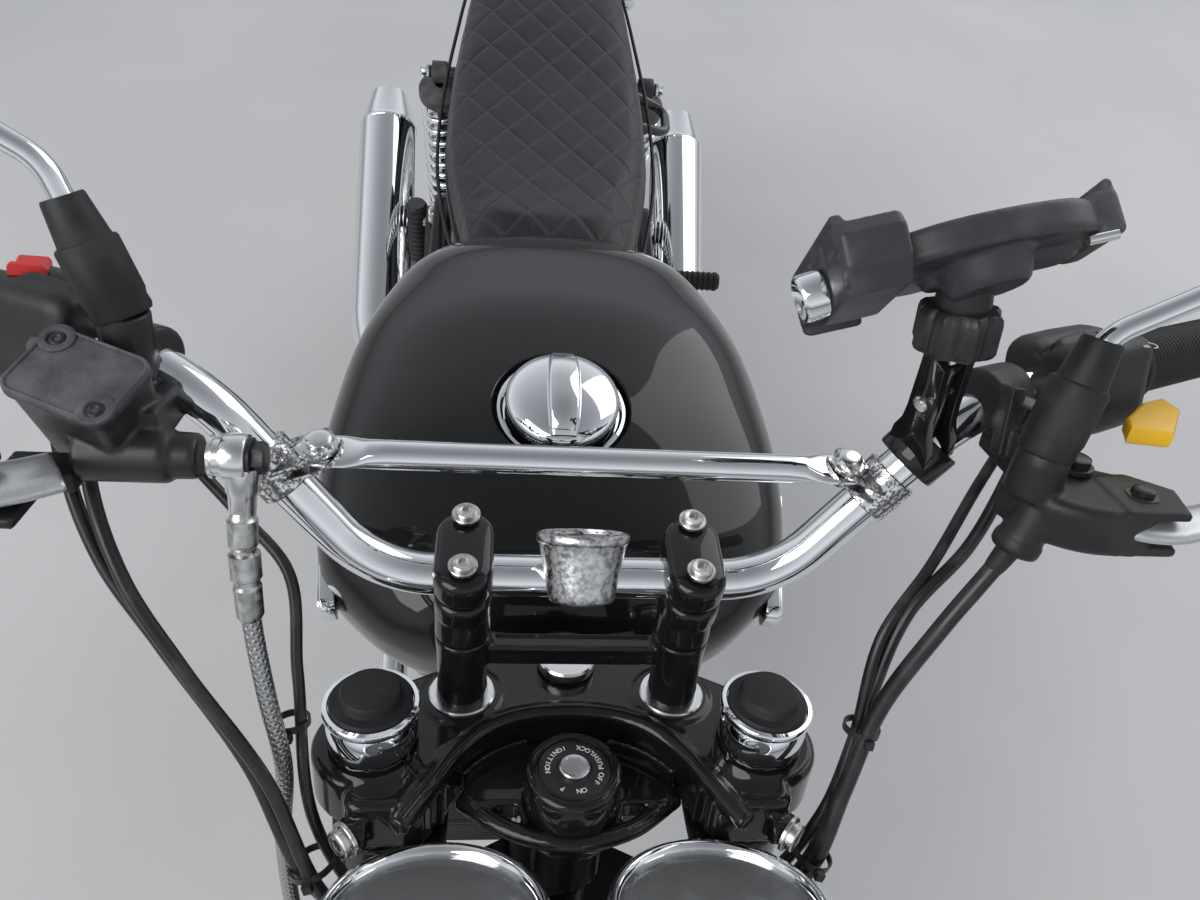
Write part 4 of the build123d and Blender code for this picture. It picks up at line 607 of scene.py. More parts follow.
tilt = radians(14)
cap_up = head_vector((0, -sin(tilt), cos(tilt)))
capsule = rounded(30.5, 54, 14.8, 10)
caps, necks, feet = [], [], []
for s in (-1, 1):
    clamp_at = head_spot((s * riser_x, -20, 85))
    caps.append(slab(capsule, 0.3, 19.5, 5, clamp_at, cap_up, (1, 0, 0), 1.2))
    necks.append(slab(capsule, -17, -0.3, 3.5, clamp_at, cap_up, (1, 0, 0)))
    necks.append(to_head(turned([(0.05, 47.2), (14.4, 47.2), (15.2, 48.2), (15.4, 72), (0.05, 72)],
                                (s * riser_x, riser_back, 0))))
    feet.append(to_head(turned([(0.05, 2), (14.6, 2), (14.4, 6), (13.6, 14), (14.2, 34), (15.2, 45.6),
                                (14.4, 46.6), (0.05, 46.6)], (s * riser_x, riser_back, 0))))
cast("riser_caps", caps, 1.0, 5, lacquer, "steering")
cast("riser_necks", necks, 1.0, 5, lacquer, "steering")
bridge = [to_head(block((116, 12, 11), (0, riser_back, 34)))]
bridge += [to_head(block((92, 2, 3), (0, v, 39.4))) for v in (-28.4, -17.6)]
bridge += [to_head(block((2, 12, 3), (s * 45, riser_back, 39.4))) for s in (-1, 1)]
cast("riser_feet", feet + bridge, 1.0, 4, lacquer, "steering", ["risers"])
screws = []
for s in (-1, 1):
    for reach in (-14, 20):
        v = -21 + reach * cos(tilt) - 16 * sin(tilt)
        w = 86 + reach * sin(tilt) + 16 * cos(tilt)
        spot = head_spot((s * riser_x, v, w)) + cap_up * 6.2
        screws.append(socket_screw(spot, cap_up, 5.7, 3.2, 2.7, 2.6))
        screws.append(turned([(0.05, -1), (7.4, -1), (7.4, 0.5), (7, 0.9), (0.05, 0.9)], spot, cap_up))
piece("riser_screws", screws, zinc, "steering")

# Crossbar: a chromed tube flattened to an eye at each end. A bright strap round the bar carries each
# eye on a domed bolt.
brace_at = (-30, 160)
run = np.concatenate([np.linspace(-137, -104, 12), np.linspace(-96, 96, 5), np.linspace(104, 137, 12)])
flat = np.clip((np.abs(run) - 100) / 17, 0, 1)
flat = flat * flat * (3 - 2 * flat)
tip = np.sqrt(np.clip(1 - (np.clip(np.abs(run) - 126, 0, None) / 11.4) ** 2, 0.02, 1))
eye_lean = radians(20)
eye_up = np.array([0, -sin(eye_lean), cos(eye_lean)])
path = np.stack([run, np.full_like(run, brace_at[0]), np.full_like(run, brace_at[1])], -1)
path += flat[:, None] * eye_up * 1.2
thick = 7.2 - flat * 5.0
wide = (7.2 + flat * 2.4) * tip
piece("crossbar_tube",
      [to_head(swept(path, circle(1, 32), np.stack([wide, thick], -1), toward=eye_up))], chrome,
      "steering", stands_for=["crossbar"])
speckled = Finish("speckled_plate", (0.7, 0.7, 0.69), 0.22, 1.0)
speckled.aged((620, 4, 0.44, 0.58), (0.8, 0.8, 0.8), (0.2, 0.2, 0.2), (0.14, 0.3), (420, 3, 0.02))
straps, brace_bolts = [], []
low, high = np.array(bar_low, float), np.array(bar_high, float)
for s in (-1, 1):
    mirror = np.array([s, 1, 1])
    climb = (high - low) / np.linalg.norm(high - low)
    ring_at = low + climb * (144 - low[2]) / climb[2]
    eye_at = np.array([126, brace_at[0], brace_at[1]])
    arm = ring_at - eye_at
    reach = np.linalg.norm(arm)
    along = arm / reach
    straps.append(to_head(turned([(11.2, -11), (13.9, -11), (14.3, -10.5), (14.3, 10.5), (13.9, 11),
                                  (11.2, 11)], ring_at * mirror, climb * mirror, 56, loop=True)))
    normal = np.cross(along, np.cross(eye_up, along))
    steps = np.linspace(-10.5, reach + 3, 24)
    half = 10.8 * np.sqrt(np.clip(1 - (np.clip(-steps, 0, None) / 10.8) ** 2, 0.03, 1))
    for lift in (-3.4, 5.0):
        ribbon = eye_at + steps[:, None] * along + normal * lift
        points, faces = swept(ribbon, [(-1, -1), (1, -1), (1.04, 0), (1, 1), (-1, 1), (-1.04, 0)],
                              np.stack([half, np.full(24, 1.15)], -1), toward=normal)
        straps.append(to_head((points * mirror, faces)))
    spot = (eye_at + eye_up * 6.0) * mirror
    brace_bolts.append(to_head(hex_screw(spot, eye_up, 6.1, 4.8, 8.2)))
    brace_bolts.append(to_head(turned([(0.05, -13), (5.4, -13), (5.4, -7), (0.05, -7)], spot, eye_up)))
piece("crossbar_straps", straps, speckled, "steering")
piece("crossbar_bolts", brace_bolts, bright, "steering")

# Bar clock: a turned alloy case on the middle of the bar, tapered to its back, with a white dial
# under glass that faces the rider.
clock_at, clock_up = (-1, -40, 105), (0, 0.5, 0.8660254)
case = Finish("cast_silver", (0.66, 0.66, 0.65), 0.3, 1.0)
case.aged((420, 6, 0.36, 0.66), (0.42, 0.42, 0.42), (0.76, 0.76, 0.75), (0.2, 0.22), (520, 4, 0.05))
case_profile = [(0.05, -17.8), (13.6, -17.8), (15.4, -17.2), (16.4, -16), (17.1, -13), (18.4, -6),
                (20.2, 3), (22, 11.4), (22.5, 12.2), (23.2, 12.8), (23.4, 13.6), (23.4, 15.6),
                (22.9, 16.6), (21.6, 17.2), (20.8, 17), (20.6, 15.4), (0.05, 15.4)]
piece("clock_case", [to_head(turned(case_profile, clock_at, clock_up, 72)),
                     to_head(block((20, 22, 24), (0, -21, 90)))], case, "steering",
      stands_for=["bar_clock"])
dial_white = Finish("dial_white", (0.8, 0.79, 0.75), 0.4, Coat_Weight=1.0, Coat_Roughness=0.02)
dial_white.tint(dial_white.noise(90, 4), (0.78, 0.77, 0.73), (0.84, 0.83, 0.8))
ink = Finish("dial_ink", (0.012, 0.012, 0.012), 0.4)
ink.set("Roughness", 0.4 + ink.noise(400) * 0.15)


def on_dial(at, up, angle, reach, lift):
    """On a dial that faces up, read from behind the bars: the place at that angle (0 to the reader's
    right, 90 at the top) and distance from its middle, and the direction outwards there."""
    up = np.asarray(up, float)
    across = np.array([-1.0, 0, 0])
    out = across * cos(radians(angle)) + np.cross(up, across) * sin(radians(angle))
    return np.asarray(at, float) + out * reach + up * lift, out


piece("clock_dial",
      [to_head(turned([(0.05, 15.5), (20.4, 15.5), (20.4, 15.9), (0.05, 15.9)], clock_at, clock_up))],
      dial_white, "steering")
marks = []
for hour in range(12):
    long_mark = 3.4 if hour % 3 == 0 else 2.2
    spot, out = on_dial(clock_at, clock_up, 90 - 30 * hour, 18.6 - long_mark / 2, 16.05)
    marks.append(to_head(block((long_mark, 0.8, 0.3), spot, clock_up, out)))
for angle, reach, width in ((40, 9.5, 1.5), (-78, 14, 1.1)):
    spot, out = on_dial(clock_at, clock_up, angle, reach / 2, 16.35)
    marks.append(to_head(block((reach, width, 0.3), spot, clock_up, out)))
for angle, word in ((90, "12"), (0, "3"), (-90, "6"), (180, "9")):
    spot, out = on_dial(clock_at, clock_up, angle, 12.4, 16.1)
    marks.append(to_head(marked(word, 4.4, spot, clock_up, (-1, 0, 0))))
piece("clock_marks", marks, ink, "steering")

# Fuel tank: pressed steel, two halves welded under the seam, lacquered black and waxed. It is widest
# at the knees, with a round sink for the cap and a tunnel under it for the frame.
tank_rows = np.array([
    # y, half width, top, height of the widest line, half width below, bottom
    (-318, 98, 872, 838, 74, 800), (-290, 137, 892, 840, 100, 784), (-262, 162, 906, 842, 118, 772),
    (-216, 173, 914, 842, 126, 764), (-170, 176, 917, 842, 128, 760), (-105, 172, 912, 840, 125, 757),
    (-40, 162, 902, 836, 118, 756), (10, 148, 887, 830, 109, 754), (60, 128, 868, 822, 96, 752),
    (90, 110, 850, 812, 86, 754), (118, 84, 826, 800, 70, 756)], float)
tank_y, tank_half, tank_top, tank_wide, tank_low, tank_base = flowing(tank_rows, 150).T
edge = np.clip(np.minimum(tank_y - tank_y[0], tank_y[-1] - tank_y) / 16, 0, 1)
pull = 0.80 + 0.20 * np.sqrt(1 - (1 - edge) ** 2)
a = np.linspace(pi / 2, 0, 46)[None]
b = np.linspace(pi / 2, 0, 20)[None, :-1]
roundness = 2 / 2.25
half, top, wide, low, base = (one[:, None]
                              for one in (tank_half, tank_top, tank_wide, tank_low, tank_base))
over_x, over_z = half * np.sin(a) ** roundness, wide + (top - wide) * np.cos(a) ** roundness
side_x = low + (half - low) * np.cos(b) ** 0.85
side_z = wide - (wide - base) * np.sin(b) ** 0.85
floor_x = np.concatenate([low * 0 + x for x in (0, 20, 30, 30, 36)] + [low * 0.93], 1)
floor_z = np.concatenate([base * 0 + 812, base * 0 + 812, base * 0 + 802, base + 8, base, base], 1)
ring_x = np.concatenate([floor_x, side_x, over_x], 1)
ring_z = np.concatenate([floor_z, side_z, over_z], 1)
middle = wide * 0.6 + base * 0.4
ring_x = ring_x * pull[:, None]
ring_z = np.where(ring_z > middle, middle + (ring_z - middle) * pull[:, None], ring_z)
ring_x = np.concatenate([ring_x, -ring_x[:, -2:0:-1]], 1)
ring_z = np.concatenate([ring_z, ring_z[:, -2:0:-1]], 1)
tank_skin = np.stack([ring_x, np.broadcast_to(tank_y[:, None], ring_x.shape), ring_z], -1)
tank_mesh = raw_mesh("tank", [skin(tank_skin)])
sink = added("sink", raw_mesh("sink", [turned([(0.05, 0), (47.5, 0), (49, 1.4), (49.6, 6), (52, 12),
                                               (62, 20), (0.05, 20)], (0, -152, 905), count=96)]))
tank_mesh = worked(tank_mesh,
                   ("BOOLEAN", {"operation": "DIFFERENCE", "object": sink, "solver": "EXACT"}))
bpy.data.objects.remove(sink)
place("tank_shell", tank_mesh, lacquer, "chassis", 30, ["fuel_tank"])

# Tank seam: the rolled steel flange under each side, where the halves of the tank are welded. It is
# lacquered with the tank.
seam = np.stack([tank_low + 1.5, tank_y, tank_base + 1], -1)[6:-6:3]
piece("tank_seam",
      [swept(seam * (s, 1, 1), [(-1, -1), (1, -1), (1, 1), (-1, 1)],
             np.stack([np.full(len(seam), 1.6), np.full(len(seam), 3.4)], -1), toward=(0, 0, 1))
       for s in (-1, 1)], lacquer, "chassis")

# Filler cap: a domed steel cap with a finger rib, chromed. It turns in a rolled ring at the bottom of
# the sink in the tank.
cap_at = (0, -152, 905)
piece("filler_neck",
      [turned([(40, 0), (47.6, 0), (47.6, 2.6), (46.6, 4.6), (44.4, 5.2), (42.8, 4.2), (42.4, 2),
               (40, 1)], cap_at, count=96, loop=True)], chrome, "chassis")
dome = [(0.05, 4), (38.2, 4), (38.6, 8), (39.2, 9)]
dome += [(41 * cos(t), 15 + 13 * sin(t)) for t in np.linspace(-0.28, pi / 2 - 0.02, 18)] + [(0.05, 28)]
rib_run = np.linspace(-1, 1, 31)
rib_top = 34 - 11.5 * np.abs(rib_run) ** 2.8
rib_wide = 11.5 - 2.4 * rib_run**2
rib = [[(-w * k, y * 36.5, z)
        for k, z in ((1.25, 12), (1.02, h - 3.2), (0.9, h - 0.8), (0.78, h), (-0.78, h),
                     (-0.9, h - 0.8), (-1.02, h - 3.2), (-1.25, 12))]
       for y, h, w in zip(rib_run, rib_top, rib_wide)]
piece("filler_cap_dome", [turned(dome, cap_at, count=96), laid(skin(rib), cap_at)], chrome, "chassis",
      50, stands_for=["filler_cap"])

# Tank badges: a plain plated plate on each flank, bevelled round its rim, on a slightly larger foot
# that beds it on the tank.
badges = []
for s in (-1, 1):
    out = np.array([s, -0.15, 0.02])
    at = np.array([s * 171.5, -232, 838.0])
    badges.append(slab(rounded(112, 26, 9), -13, -2.6, 1.2, at, out, (0.15 * s, 1, 0)))
    badges.append(slab(rounded(108, 22, 7.5), -6, 0, 2.2, at, out, (0.15 * s, 1, 0)))
piece("badge_plates", badges, chrome, "chassis", stands_for=["tank_badges"])

# Seat: foam on a moulded pan under a black grained cover, its middle quilted in diamonds, with a
# welt across the nose and piping round the lower edge.
leather = Finish("grained_cover", (0.02, 0.02, 0.0215), 0.5, Sheen_Weight=0.08, Sheen_Roughness=0.5,
                 Specular_IOR_Level=0.32)
grain = leather.cells(620, "SMOOTH_F1")
crease = leather.ease(leather.noise(300, 4), 0.35, 0.75)
polish = leather.ease(leather.noise(9, 5), 0.35, 0.7)
# Along the stitch lines the colour is lighter: partly the thread's own, partly a painted highlight.
thread_and_highlight = leather.add("Attribute", output="Fac", attribute_name="sewn")
leather.tint(polish * 0.35 + crease * 0.2 + thread_and_highlight * 0.5, (0.0115, 0.012, 0.0135),
             (0.042, 0.043, 0.048))
leather.set("Roughness", 0.36 + polish * 0.14 + crease * 0.12 + thread_and_highlight * 0.1)
leather.relief(grain * 0.7 + crease * 0.3, 0.09)
seat_rows = flowing([
    # y, half width, bottom, top
    (104, 84, 770, 823), (150, 96, 758, 817), (200, 107, 749, 806), (290, 121, 746, 797),
    (370, 124, 745, 796), (470, 121, 746, 801), (560, 114, 748, 809), (640, 107, 749, 817),
    (720, 96, 752, 824), (762, 82, 757, 819)], 120)
fore = np.clip((seat_rows[:, 0] - 104) / 26, 0, 1)
aft = np.clip((762 - seat_rows[:, 0]) / 34, 0, 1)
tuck = np.sqrt(1 - (1 - fore) ** 2) * np.sqrt(1 - (1 - aft) ** 2) * 0.72 + 0.28
t = np.linspace(0, tau, 97)[:-1][None]
power = 2 / 4.6
ring = np.stack([np.sign(np.cos(t)) * np.abs(np.cos(t)) ** power,
                 np.sign(np.sin(t)) * np.abs(np.sin(t)) ** power], -1)
y, wide, low, high = (seat_rows[:, i:i + 1] for i in range(4))
lean = 1 + 0.10 * np.clip(-ring[..., 1], 0, 1) - 0.03 * np.clip(ring[..., 1], 0, 1)
crown = 4.5 * (1 - np.clip(np.abs(ring[..., 0]), 0, 1) ** 2) * (ring[..., 1] > 0)
seat_skin = np.stack([ring[..., 0] * (wide - 5) * lean * (0.55 + 0.45 * tuck[:, None]),
                      np.broadcast_to(y, (len(y), 96)),
                      (low + high) / 2 + ring[..., 1] * ((high - low) / 2 - 5) * tuck[:, None] + crown
                      * tuck[:, None]], -1)
pad = raw_mesh("seat_pad", [skin(seat_skin)])
pad = worked(pad, ("REMESH", {"mode": "VOXEL", "voxel_size": 0.005, "adaptivity": 0.0}))
before = points_of(pad)
puff = added("puff", pad)
cloth = puff.modifiers.new("cloth", "CLOTH")
cloth.settings.use_pressure = True
cloth.settings.uniform_pressure_force = 4.0
cloth.settings.effector_weights.gravity = 0.0
cloth.settings.quality = 4
cloth.point_cache.frame_end = 20
for moment in range(1, 21):
    bpy.context.scene.frame_set(moment)
swollen = bpy.data.meshes.new_from_object(puff.evaluated_get(bpy.context.evaluated_depsgraph_get()))
bpy.context.scene.frame_set(1)
bpy.data.objects.remove(puff)
move = points_of(swollen) - before
length = np.linalg.norm(move, axis=1)[:, None]
move *= np.minimum(1, 0.006 / np.maximum(length, 1e-9))
pad.vertices.foreach_set("co", (before + move).ravel())
pad.update()
pad = worked(pad, ("SMOOTH", {"factor": 0.5, "iterations": 3}),
             ("SUBSURF", {"levels": 2, "render_levels": 2}))
spots, normals = points_of(pad) * 1000.0, np.empty(len(pad.vertices) * 3, np.float32)
pad.vertex_normals.foreach_get("vector", normals)
normals = normals.reshape(-1, 3)
edge_here = np.interp(spots[:, 1], seat_rows[:, 0], seat_rows[:, 1])
inside = (np.clip((edge_here - 6 - np.abs(spots[:, 0])) / 16, 0, 1)
          * np.clip((spots[:, 1] - 118) / 14, 0, 1) * np.clip((735 - spots[:, 1]) / 14, 0, 1)
          * np.clip((normals[:, 2] - 0.35) / 0.3, 0, 1))
diamond_x, diamond_y, diamond_side = 47, 62, 37.5
p = spots[:, 0] / diamond_x + (spots[:, 1] - 4) / diamond_y
q = spots[:, 0] / diamond_x - (spots[:, 1] - 4) / diamond_y
p, q = np.abs(p - np.round(p)) * diamond_side, np.abs(q - np.round(q)) * diamond_side
near = np.minimum(p, q)
stitch = np.exp(-(near / 1.3) ** 2) * inside
cushion = (1 - np.exp(-near / 5)) * 0.8
welt = np.exp(-((spots[:, 1] - 113 - spots[:, 0] ** 2 / 700) / 2.2) ** 2)
welt *= np.clip((normals[:, 2] - 0.3) / 0.3, 0, 1)
spots += normals * (cushion * inside - stitch * 0.6 + welt * 1.4 - 0.6)[:, None]
pad.vertices.foreach_set("co", (spots / 1000).ravel().astype(np.float32))
pad.update()
sewn = pad.attributes.new("sewn", "FLOAT", "POINT")
sewn.data.foreach_set("value", stitch.astype(np.float32))
seat_pad = place("seat_pad", pad, leather, "chassis", 180, ["seat"])
piping = np.stack([seat_rows[:, 1] + 2.5, seat_rows[:, 0], seat_rows[:, 2] + 9], -1)[4:-8:2]
piece("seat_piping", [swept(piping * (s, 1, 1), circle(2.2, 10)) for s in (-1, 1)], rubber, "chassis")
pan = [slab(np.concatenate([np.stack([seat_rows[8:-8:4, 1] - 6, seat_rows[8:-8:4, 0]], -1),
                            np.stack([6 - seat_rows[8:-8:4, 1], seat_rows[8:-8:4, 0]], -1)[::-1]]), 742,
            752, 1.5)]
piece("seat_pan", pan, plastic, "chassis")

# Instruments: two black bowls with chromed bezels under one bracket. Each dial is printed black with
# white figures and a thin red line, under domed glass.
pod_lean = radians(19)
pod_up = (0, sin(pod_lean), cos(pod_lean))
pods = [np.array([s * 66.0, -151, -6]) for s in (-1, 1)]
bowl = [(0.05, -52), (28, -52), (34, -50.5), (39, -46), (43, -36), (46.5, -24), (49.6, -13),
        (51.6, -11.6), (52.2, -9), (52.2, -5), (0.05, -5)]
bezel = [(46.6, -5), (47, -2.6), (47.9, -0.4), (49.4, 0.9), (51.2, 1.1), (52.8, 0.2), (53.8, -1.8),
         (54, -4.4), (54, -9), (53.4, -10.8), (52.4, -11.4), (51.6, -10.6), (51.4, -7), (48, -6)]
piece("instrument_bowls", [to_head(turned(bowl, at, pod_up, 72)) for at in pods]
      + [to_head(slab(rounded(22, 74, 8), -37.5, -32.5, 1.2, (s * 75, -98, 0))) for s in (-1, 1)],
      lacquer, "steering", stands_for=["instruments"])
piece("instrument_bezels", [to_head(turned(bezel, at, pod_up, 96, loop=True)) for at in pods], chrome,
      "steering")
dial_black = Finish("dial_black", (0.012, 0.012, 0.013), 0.5)
dial_black.tint(dial_black.noise(300, 3), (0.01, 0.01, 0.011), (0.019, 0.019, 0.02))
piece("dial_plates",
      [to_head(turned([(0.05, -8.6), (46.8, -8.6), (46.8, -8), (0.05, -8)], at, pod_up, 72))
       for at in pods], dial_black, "steering")
prints, red_lines, needles = [], [], []
for at, top_figure, step_figure in ((pods[0], 180, 20), (pods[1], 10, 1)):
    count = top_figure // step_figure
    for k in range(count * 4 + 1):
        angle = 220 - 260 * k / (count * 4)
        tall = 5.0 if k % 4 == 0 else 2.6
        spot, out = on_dial(at, pod_up, angle, 43.6 - tall / 2, -7.9)
        prints.append(to_head(block((tall, 0.9 if k % 4 == 0 else 0.5, 0.2), spot, pod_up, out)))
        if k % 4 == 0:
            spot, out = on_dial(at, pod_up, angle, 33, -7.85)
            prints.append(to_head(marked(str(k // 4 * step_figure), 5.4, spot, pod_up, (-1, 0, 0))))
    x = np.linspace(-42, 42, 24)
    rear = np.cross(pod_up, (1.0, 0, 0))
    line = at + np.outer(x, (1, 0, 0)) + np.outer(28.5 - x**2 * 0.0052, rear) + np.array(pod_up) * -7.85
    red_lines.append(to_head(swept(line, [(-0.45, -0.1), (0.45, -0.1), (0.45, 0.1), (-0.45, 0.1)],
                                   toward=pod_up)))
    spot, out = on_dial(at, pod_up, 218, 16, -6.3)
    needles.append(to_head(slab([(-18, -0.9), (20, -0.35), (20, 0.35), (-18, 0.9)], -0.3, 0.3, 0.1,
                                spot, pod_up, out)))
    needles.append(to_head(turned([(0.05, -8), (6.5, -8), (6.5, -5.4), (5.8, -4.8), (0.05, -4.6)], at,
                                  pod_up)))
piece("dial_figures", prints, white_ink, "steering")
red_ink = Finish("red_ink", (0.6, 0.02, 0.015), 0.45)
red_ink.set("Roughness", 0.4 + red_ink.noise(300) * 0.2)
piece("dial_red_lines", red_lines, red_ink, "steering")
piece("dial_needles", needles, white_ink, "steering")
clear = Finish("dial_glass", (0.9, 0.92, 0.93), 0.04, Alpha=0.1, Coat_Weight=1.0)
clear.set("Roughness", 0.03 + clear.noise(30, 4) * 0.05)
piece("dial_glass",
      [to_head(turned([(47, -4.6), (40, -3.9), (20, -3.2), (0.3, -3), (0.3, -3.4), (20, -3.6),
                       (40, -4.3), (47, -5)], at, pod_up, 72, loop=True)) for at in pods], clear,
      "steering")

# Front brake pump: a cast body clamped to the bar, its square fluid pot with a grey lid held by two
# dished screws, and a bright banjo fitting for the hose.
lid_up = (0, -sin(rake), cos(rake))
lid_turn = radians(-22)
lid_side = (cos(lid_turn), sin(lid_turn) * cos(rake), sin(lid_turn) * sin(rake))
lid_at = np.array([-216, -51.3, 205.7])
lid_back = np.cross(lid_up, lid_side)


def on_lid(x, y, z):
    """A place on the pot: x along its lid, y across it, z above its top."""
    return lid_at + np.array(lid_side) * x + lid_back * y + np.array(lid_up) * z


def bead(outline, z, r=0.8):
    """A closed bead of round section laid along an outline, its middle at z."""
    line = np.vstack([outline, outline[:1]])
    return swept(np.column_stack([line, np.full(len(line), z)]), circle(r, 8), toward=(0, 0, 1),
                 ends=False)


pot = []
for z, length, width in ((-52, 36, 26), (-51.2, 39.4, 28.6), (-48, 41.6, 30.6), (-8, 45.4, 34),
                         (-6, 46, 34.4), (-5.6, 46, 34.4)):
    pot.append(np.column_stack([rounded(length, width, 5.5), np.full(32, z)]))
master_parts = [to_head(laid(skin(pot), lid_at, lid_up, lid_side)),
                to_head(slab(rounded(48.6, 36.6, 6), -5.6, -1.2, 1.2, lid_at, lid_up, lid_side)),
                to_head(turned([(0.05, -14), (11, -14), (12.4, -12), (12.4, 22), (11.6, 24), (10.4, 25),
                                (10.2, 34), (9, 36), (0.05, 36)], (-208, -50, 168), (1, 0, 0), 40)),
                to_head(block((24, 34, 18), (-200, -34, 180))),
                to_head(turned([(0.05, -16), (10.4, -16), (11.4, 18.4), (10.8, 19), (0.05, 19)],
                               (-207, -20, 202)))]
bar_from, bar_to = np.array(bar_high, float), np.array(bar_end, float)
bar_way = (bar_to - bar_from) / np.linalg.norm(bar_to - bar_from)


def bar_spot(side, share):
    """A place on the bar's outer stretch, share 0 to 1 from its upper bend to its end."""
    spot = bar_from + (bar_to - bar_from) * share
    return spot * (side, 1, 1), bar_way * (side, 1, 1)


clamp_spot, clamp_way = bar_spot(-1, 0.053)
master_parts.append(to_head(turned([(0.05, -8.5), (14.4, -8.5), (15.6, -7), (15.6, 9), (14.4, 10.5),
                                    (0.05, 10.5)], clamp_spot + clamp_way * 3, clamp_way, 40)))
cast("brake_pump", master_parts, 1.1, 4, plastic, "steering", ["brake_master"])
lid_grey = Finish("grey_lid", (0.07, 0.07, 0.075), 0.55)
grit = lid_grey.cells(1300)
lid_grey.tint(lid_grey.ease(lid_grey.noise(70, 5), 0.35, 0.7), (0.045, 0.045, 0.048), (0.1, 0.1, 0.105))
lid_grey.relief(grit, 0.22)
lid_screws = ((-18, 12), (18, -12))
piece("pot_lid",
      [to_head(slab(rounded(48.4, 36.4, 6.5), -5.4, 0, 1.0, lid_at, lid_up, lid_side)),
       to_head(laid(bead(rounded(46.6, 34.6, 6), 0.1), lid_at, lid_up, lid_side)),
       *[to_head(laid(turned([(3.8, -0.6), (7.4, -0.6), (7.4, 0.7), (6.7, 1.1), (4.4, 1.1), (3.8, 0.3)],
                             (x, y, 0), count=32, loop=True), lid_at, lid_up, lid_side))
         for x, y in lid_screws]], lid_grey, "steering")
piece("pot_screws",
      [to_head(turned([(0.05, -1.5), (3.4, -1.5), (3.4, 0.15), (2.9, 0.5), (1.9, 0.55), (1.3, -0.2),
                       (0.05, -0.5)], on_lid(x, y, 0.1), lid_up, 24)) for x, y in lid_screws], plastic,
      "steering")
banjo = [(0.05, -168), (9.6, -168), (9.6, -166.6), (8.6, -166), (8.6, -163.4), (10.4, -162.6),
         (10.8, -161.6), (10.8, -153.4), (10.2, -152.4), (8.4, -152), (8.2, -150.6), (0.05, -150.6)]
piece("hose_banjo",
      [to_head(turned(banjo, (0, -50, 168), (1, 0, 0))),
       to_head(turned([(0.05, -2), (7.2, -2), (7.2, 9), (6.2, 11), (5.6, 22), (6.6, 23), (6.6, 26),
                       (5.4, 28), (0.05, 28)], (-155, -53, 163), (-0.05, -0.2, -1), 32))], bright,
      "steering")
piece("banjo_bolt", [to_head(hex_screw((-151.4, -50, 168), (1, 0, 0), 7.4, 6.6, 9.0))], plastic,
      "steering")

# Brake hose: rubber inside a woven steel sleeve, with crimped ferrules at its fitting. It runs from
# the banjo bolt down behind the headlamp, where it goes out of sight.


def wound(made, path):
    """Stores on each point of a tube the cosine and sine of its angle round the path, and the
    distance along it in millimetres, for patterns that wind round it."""
    path = np.asarray(path, float)
    travel, across, above = directions(path, (0.31, 0.27, 0.91))
    gone, spots = walked(path), points_of(made.data) * 1000.0
    nearest = ((spots[:, None] - path[None]) ** 2).sum(-1).argmin(1)
    off = spots - path[nearest]
    angle = np.arctan2((off * above[nearest]).sum(1), (off * across[nearest]).sum(1))
    far = gone[nearest] + (off * travel[nearest]).sum(1)
    lay = made.data.attributes.new("lay", "FLOAT_VECTOR", "POINT")
    lay.data.foreach_set("vector",
                         np.stack([np.cos(angle), np.sin(angle), far], -1).ravel().astype(np.float32))


def winding(finish, turns, pace):
    """A helix of so many threads round a tube: the sine of the angle times turns plus the distance
    times pace."""
    lay = finish.add("Attribute", output="Vector", attribute_name="lay")
    parts = [finish.add("SeparateXYZ", {"Vector": lay}, output=k) for k in ("X", "Y", "Z")]
    angle = finish.add("Math", {0: parts[1], 1: parts[0]}, operation="ARCTAN2")
    return finish.add("Math", {0: angle * turns + parts[2] * pace}, operation="SINE")


hose_way = flowing([head_spot(p)
                    for p in ((-156, -60, 140), (-156, -63, 118), (-155, -67, 92), (-150, -75, 50),
                              (-145, -79, 10), (-150, -77, -44), (-150.5, -66, -190),
                              (-148.5, -44, -380), (-144, -30, -440), (-122, -6, -490), (-92, 8, -520),
                              (-79, 12, -556))], 260)
braid = Finish("steel_braid", (0.5, 0.5, 0.49), 0.34, 1.0)
over, under = winding(braid, 8, 1.5), winding(braid, -8, 1.5)
weave = braid.add("Math", {0: over, 1: under}, operation="MAXIMUM")
gap = braid.ease(over * under, -0.2, -0.9)
braid.tint(gap, (0.5, 0.5, 0.49), (0.26, 0.26, 0.26))
braid.set("Roughness", 0.26 + gap * 0.3)
braid.relief(weave, 0.16)
hose = piece("hose_braid", [swept(hose_way, circle(4.4, 20))], braid, "steering",
             stands_for=["brake_hose"])
wound(hose, hose_way)
sleeve = flowing([head_spot(p)
                  for p in ((-156, -58, 145), (-156, -61, 130), (-155.5, -65, 108), (-155, -67.5, 92))],
                 60)
sizes = np.interp(np.linspace(0, 1, 60),
                  [0, 0.05, 0.06, 0.3, 0.31, 0.36, 0.37, 0.6, 0.61, 0.66, 0.67, 0.95, 1],
                  [4.6, 5.6, 6.6, 6.6, 5.4, 5.4, 7.0, 7.0, 5.8, 5.8, 6.4, 6.2, 4.8])
piece("hose_ferrules", [swept(sleeve, circle(1, 28), sizes)], zinc, "steering")

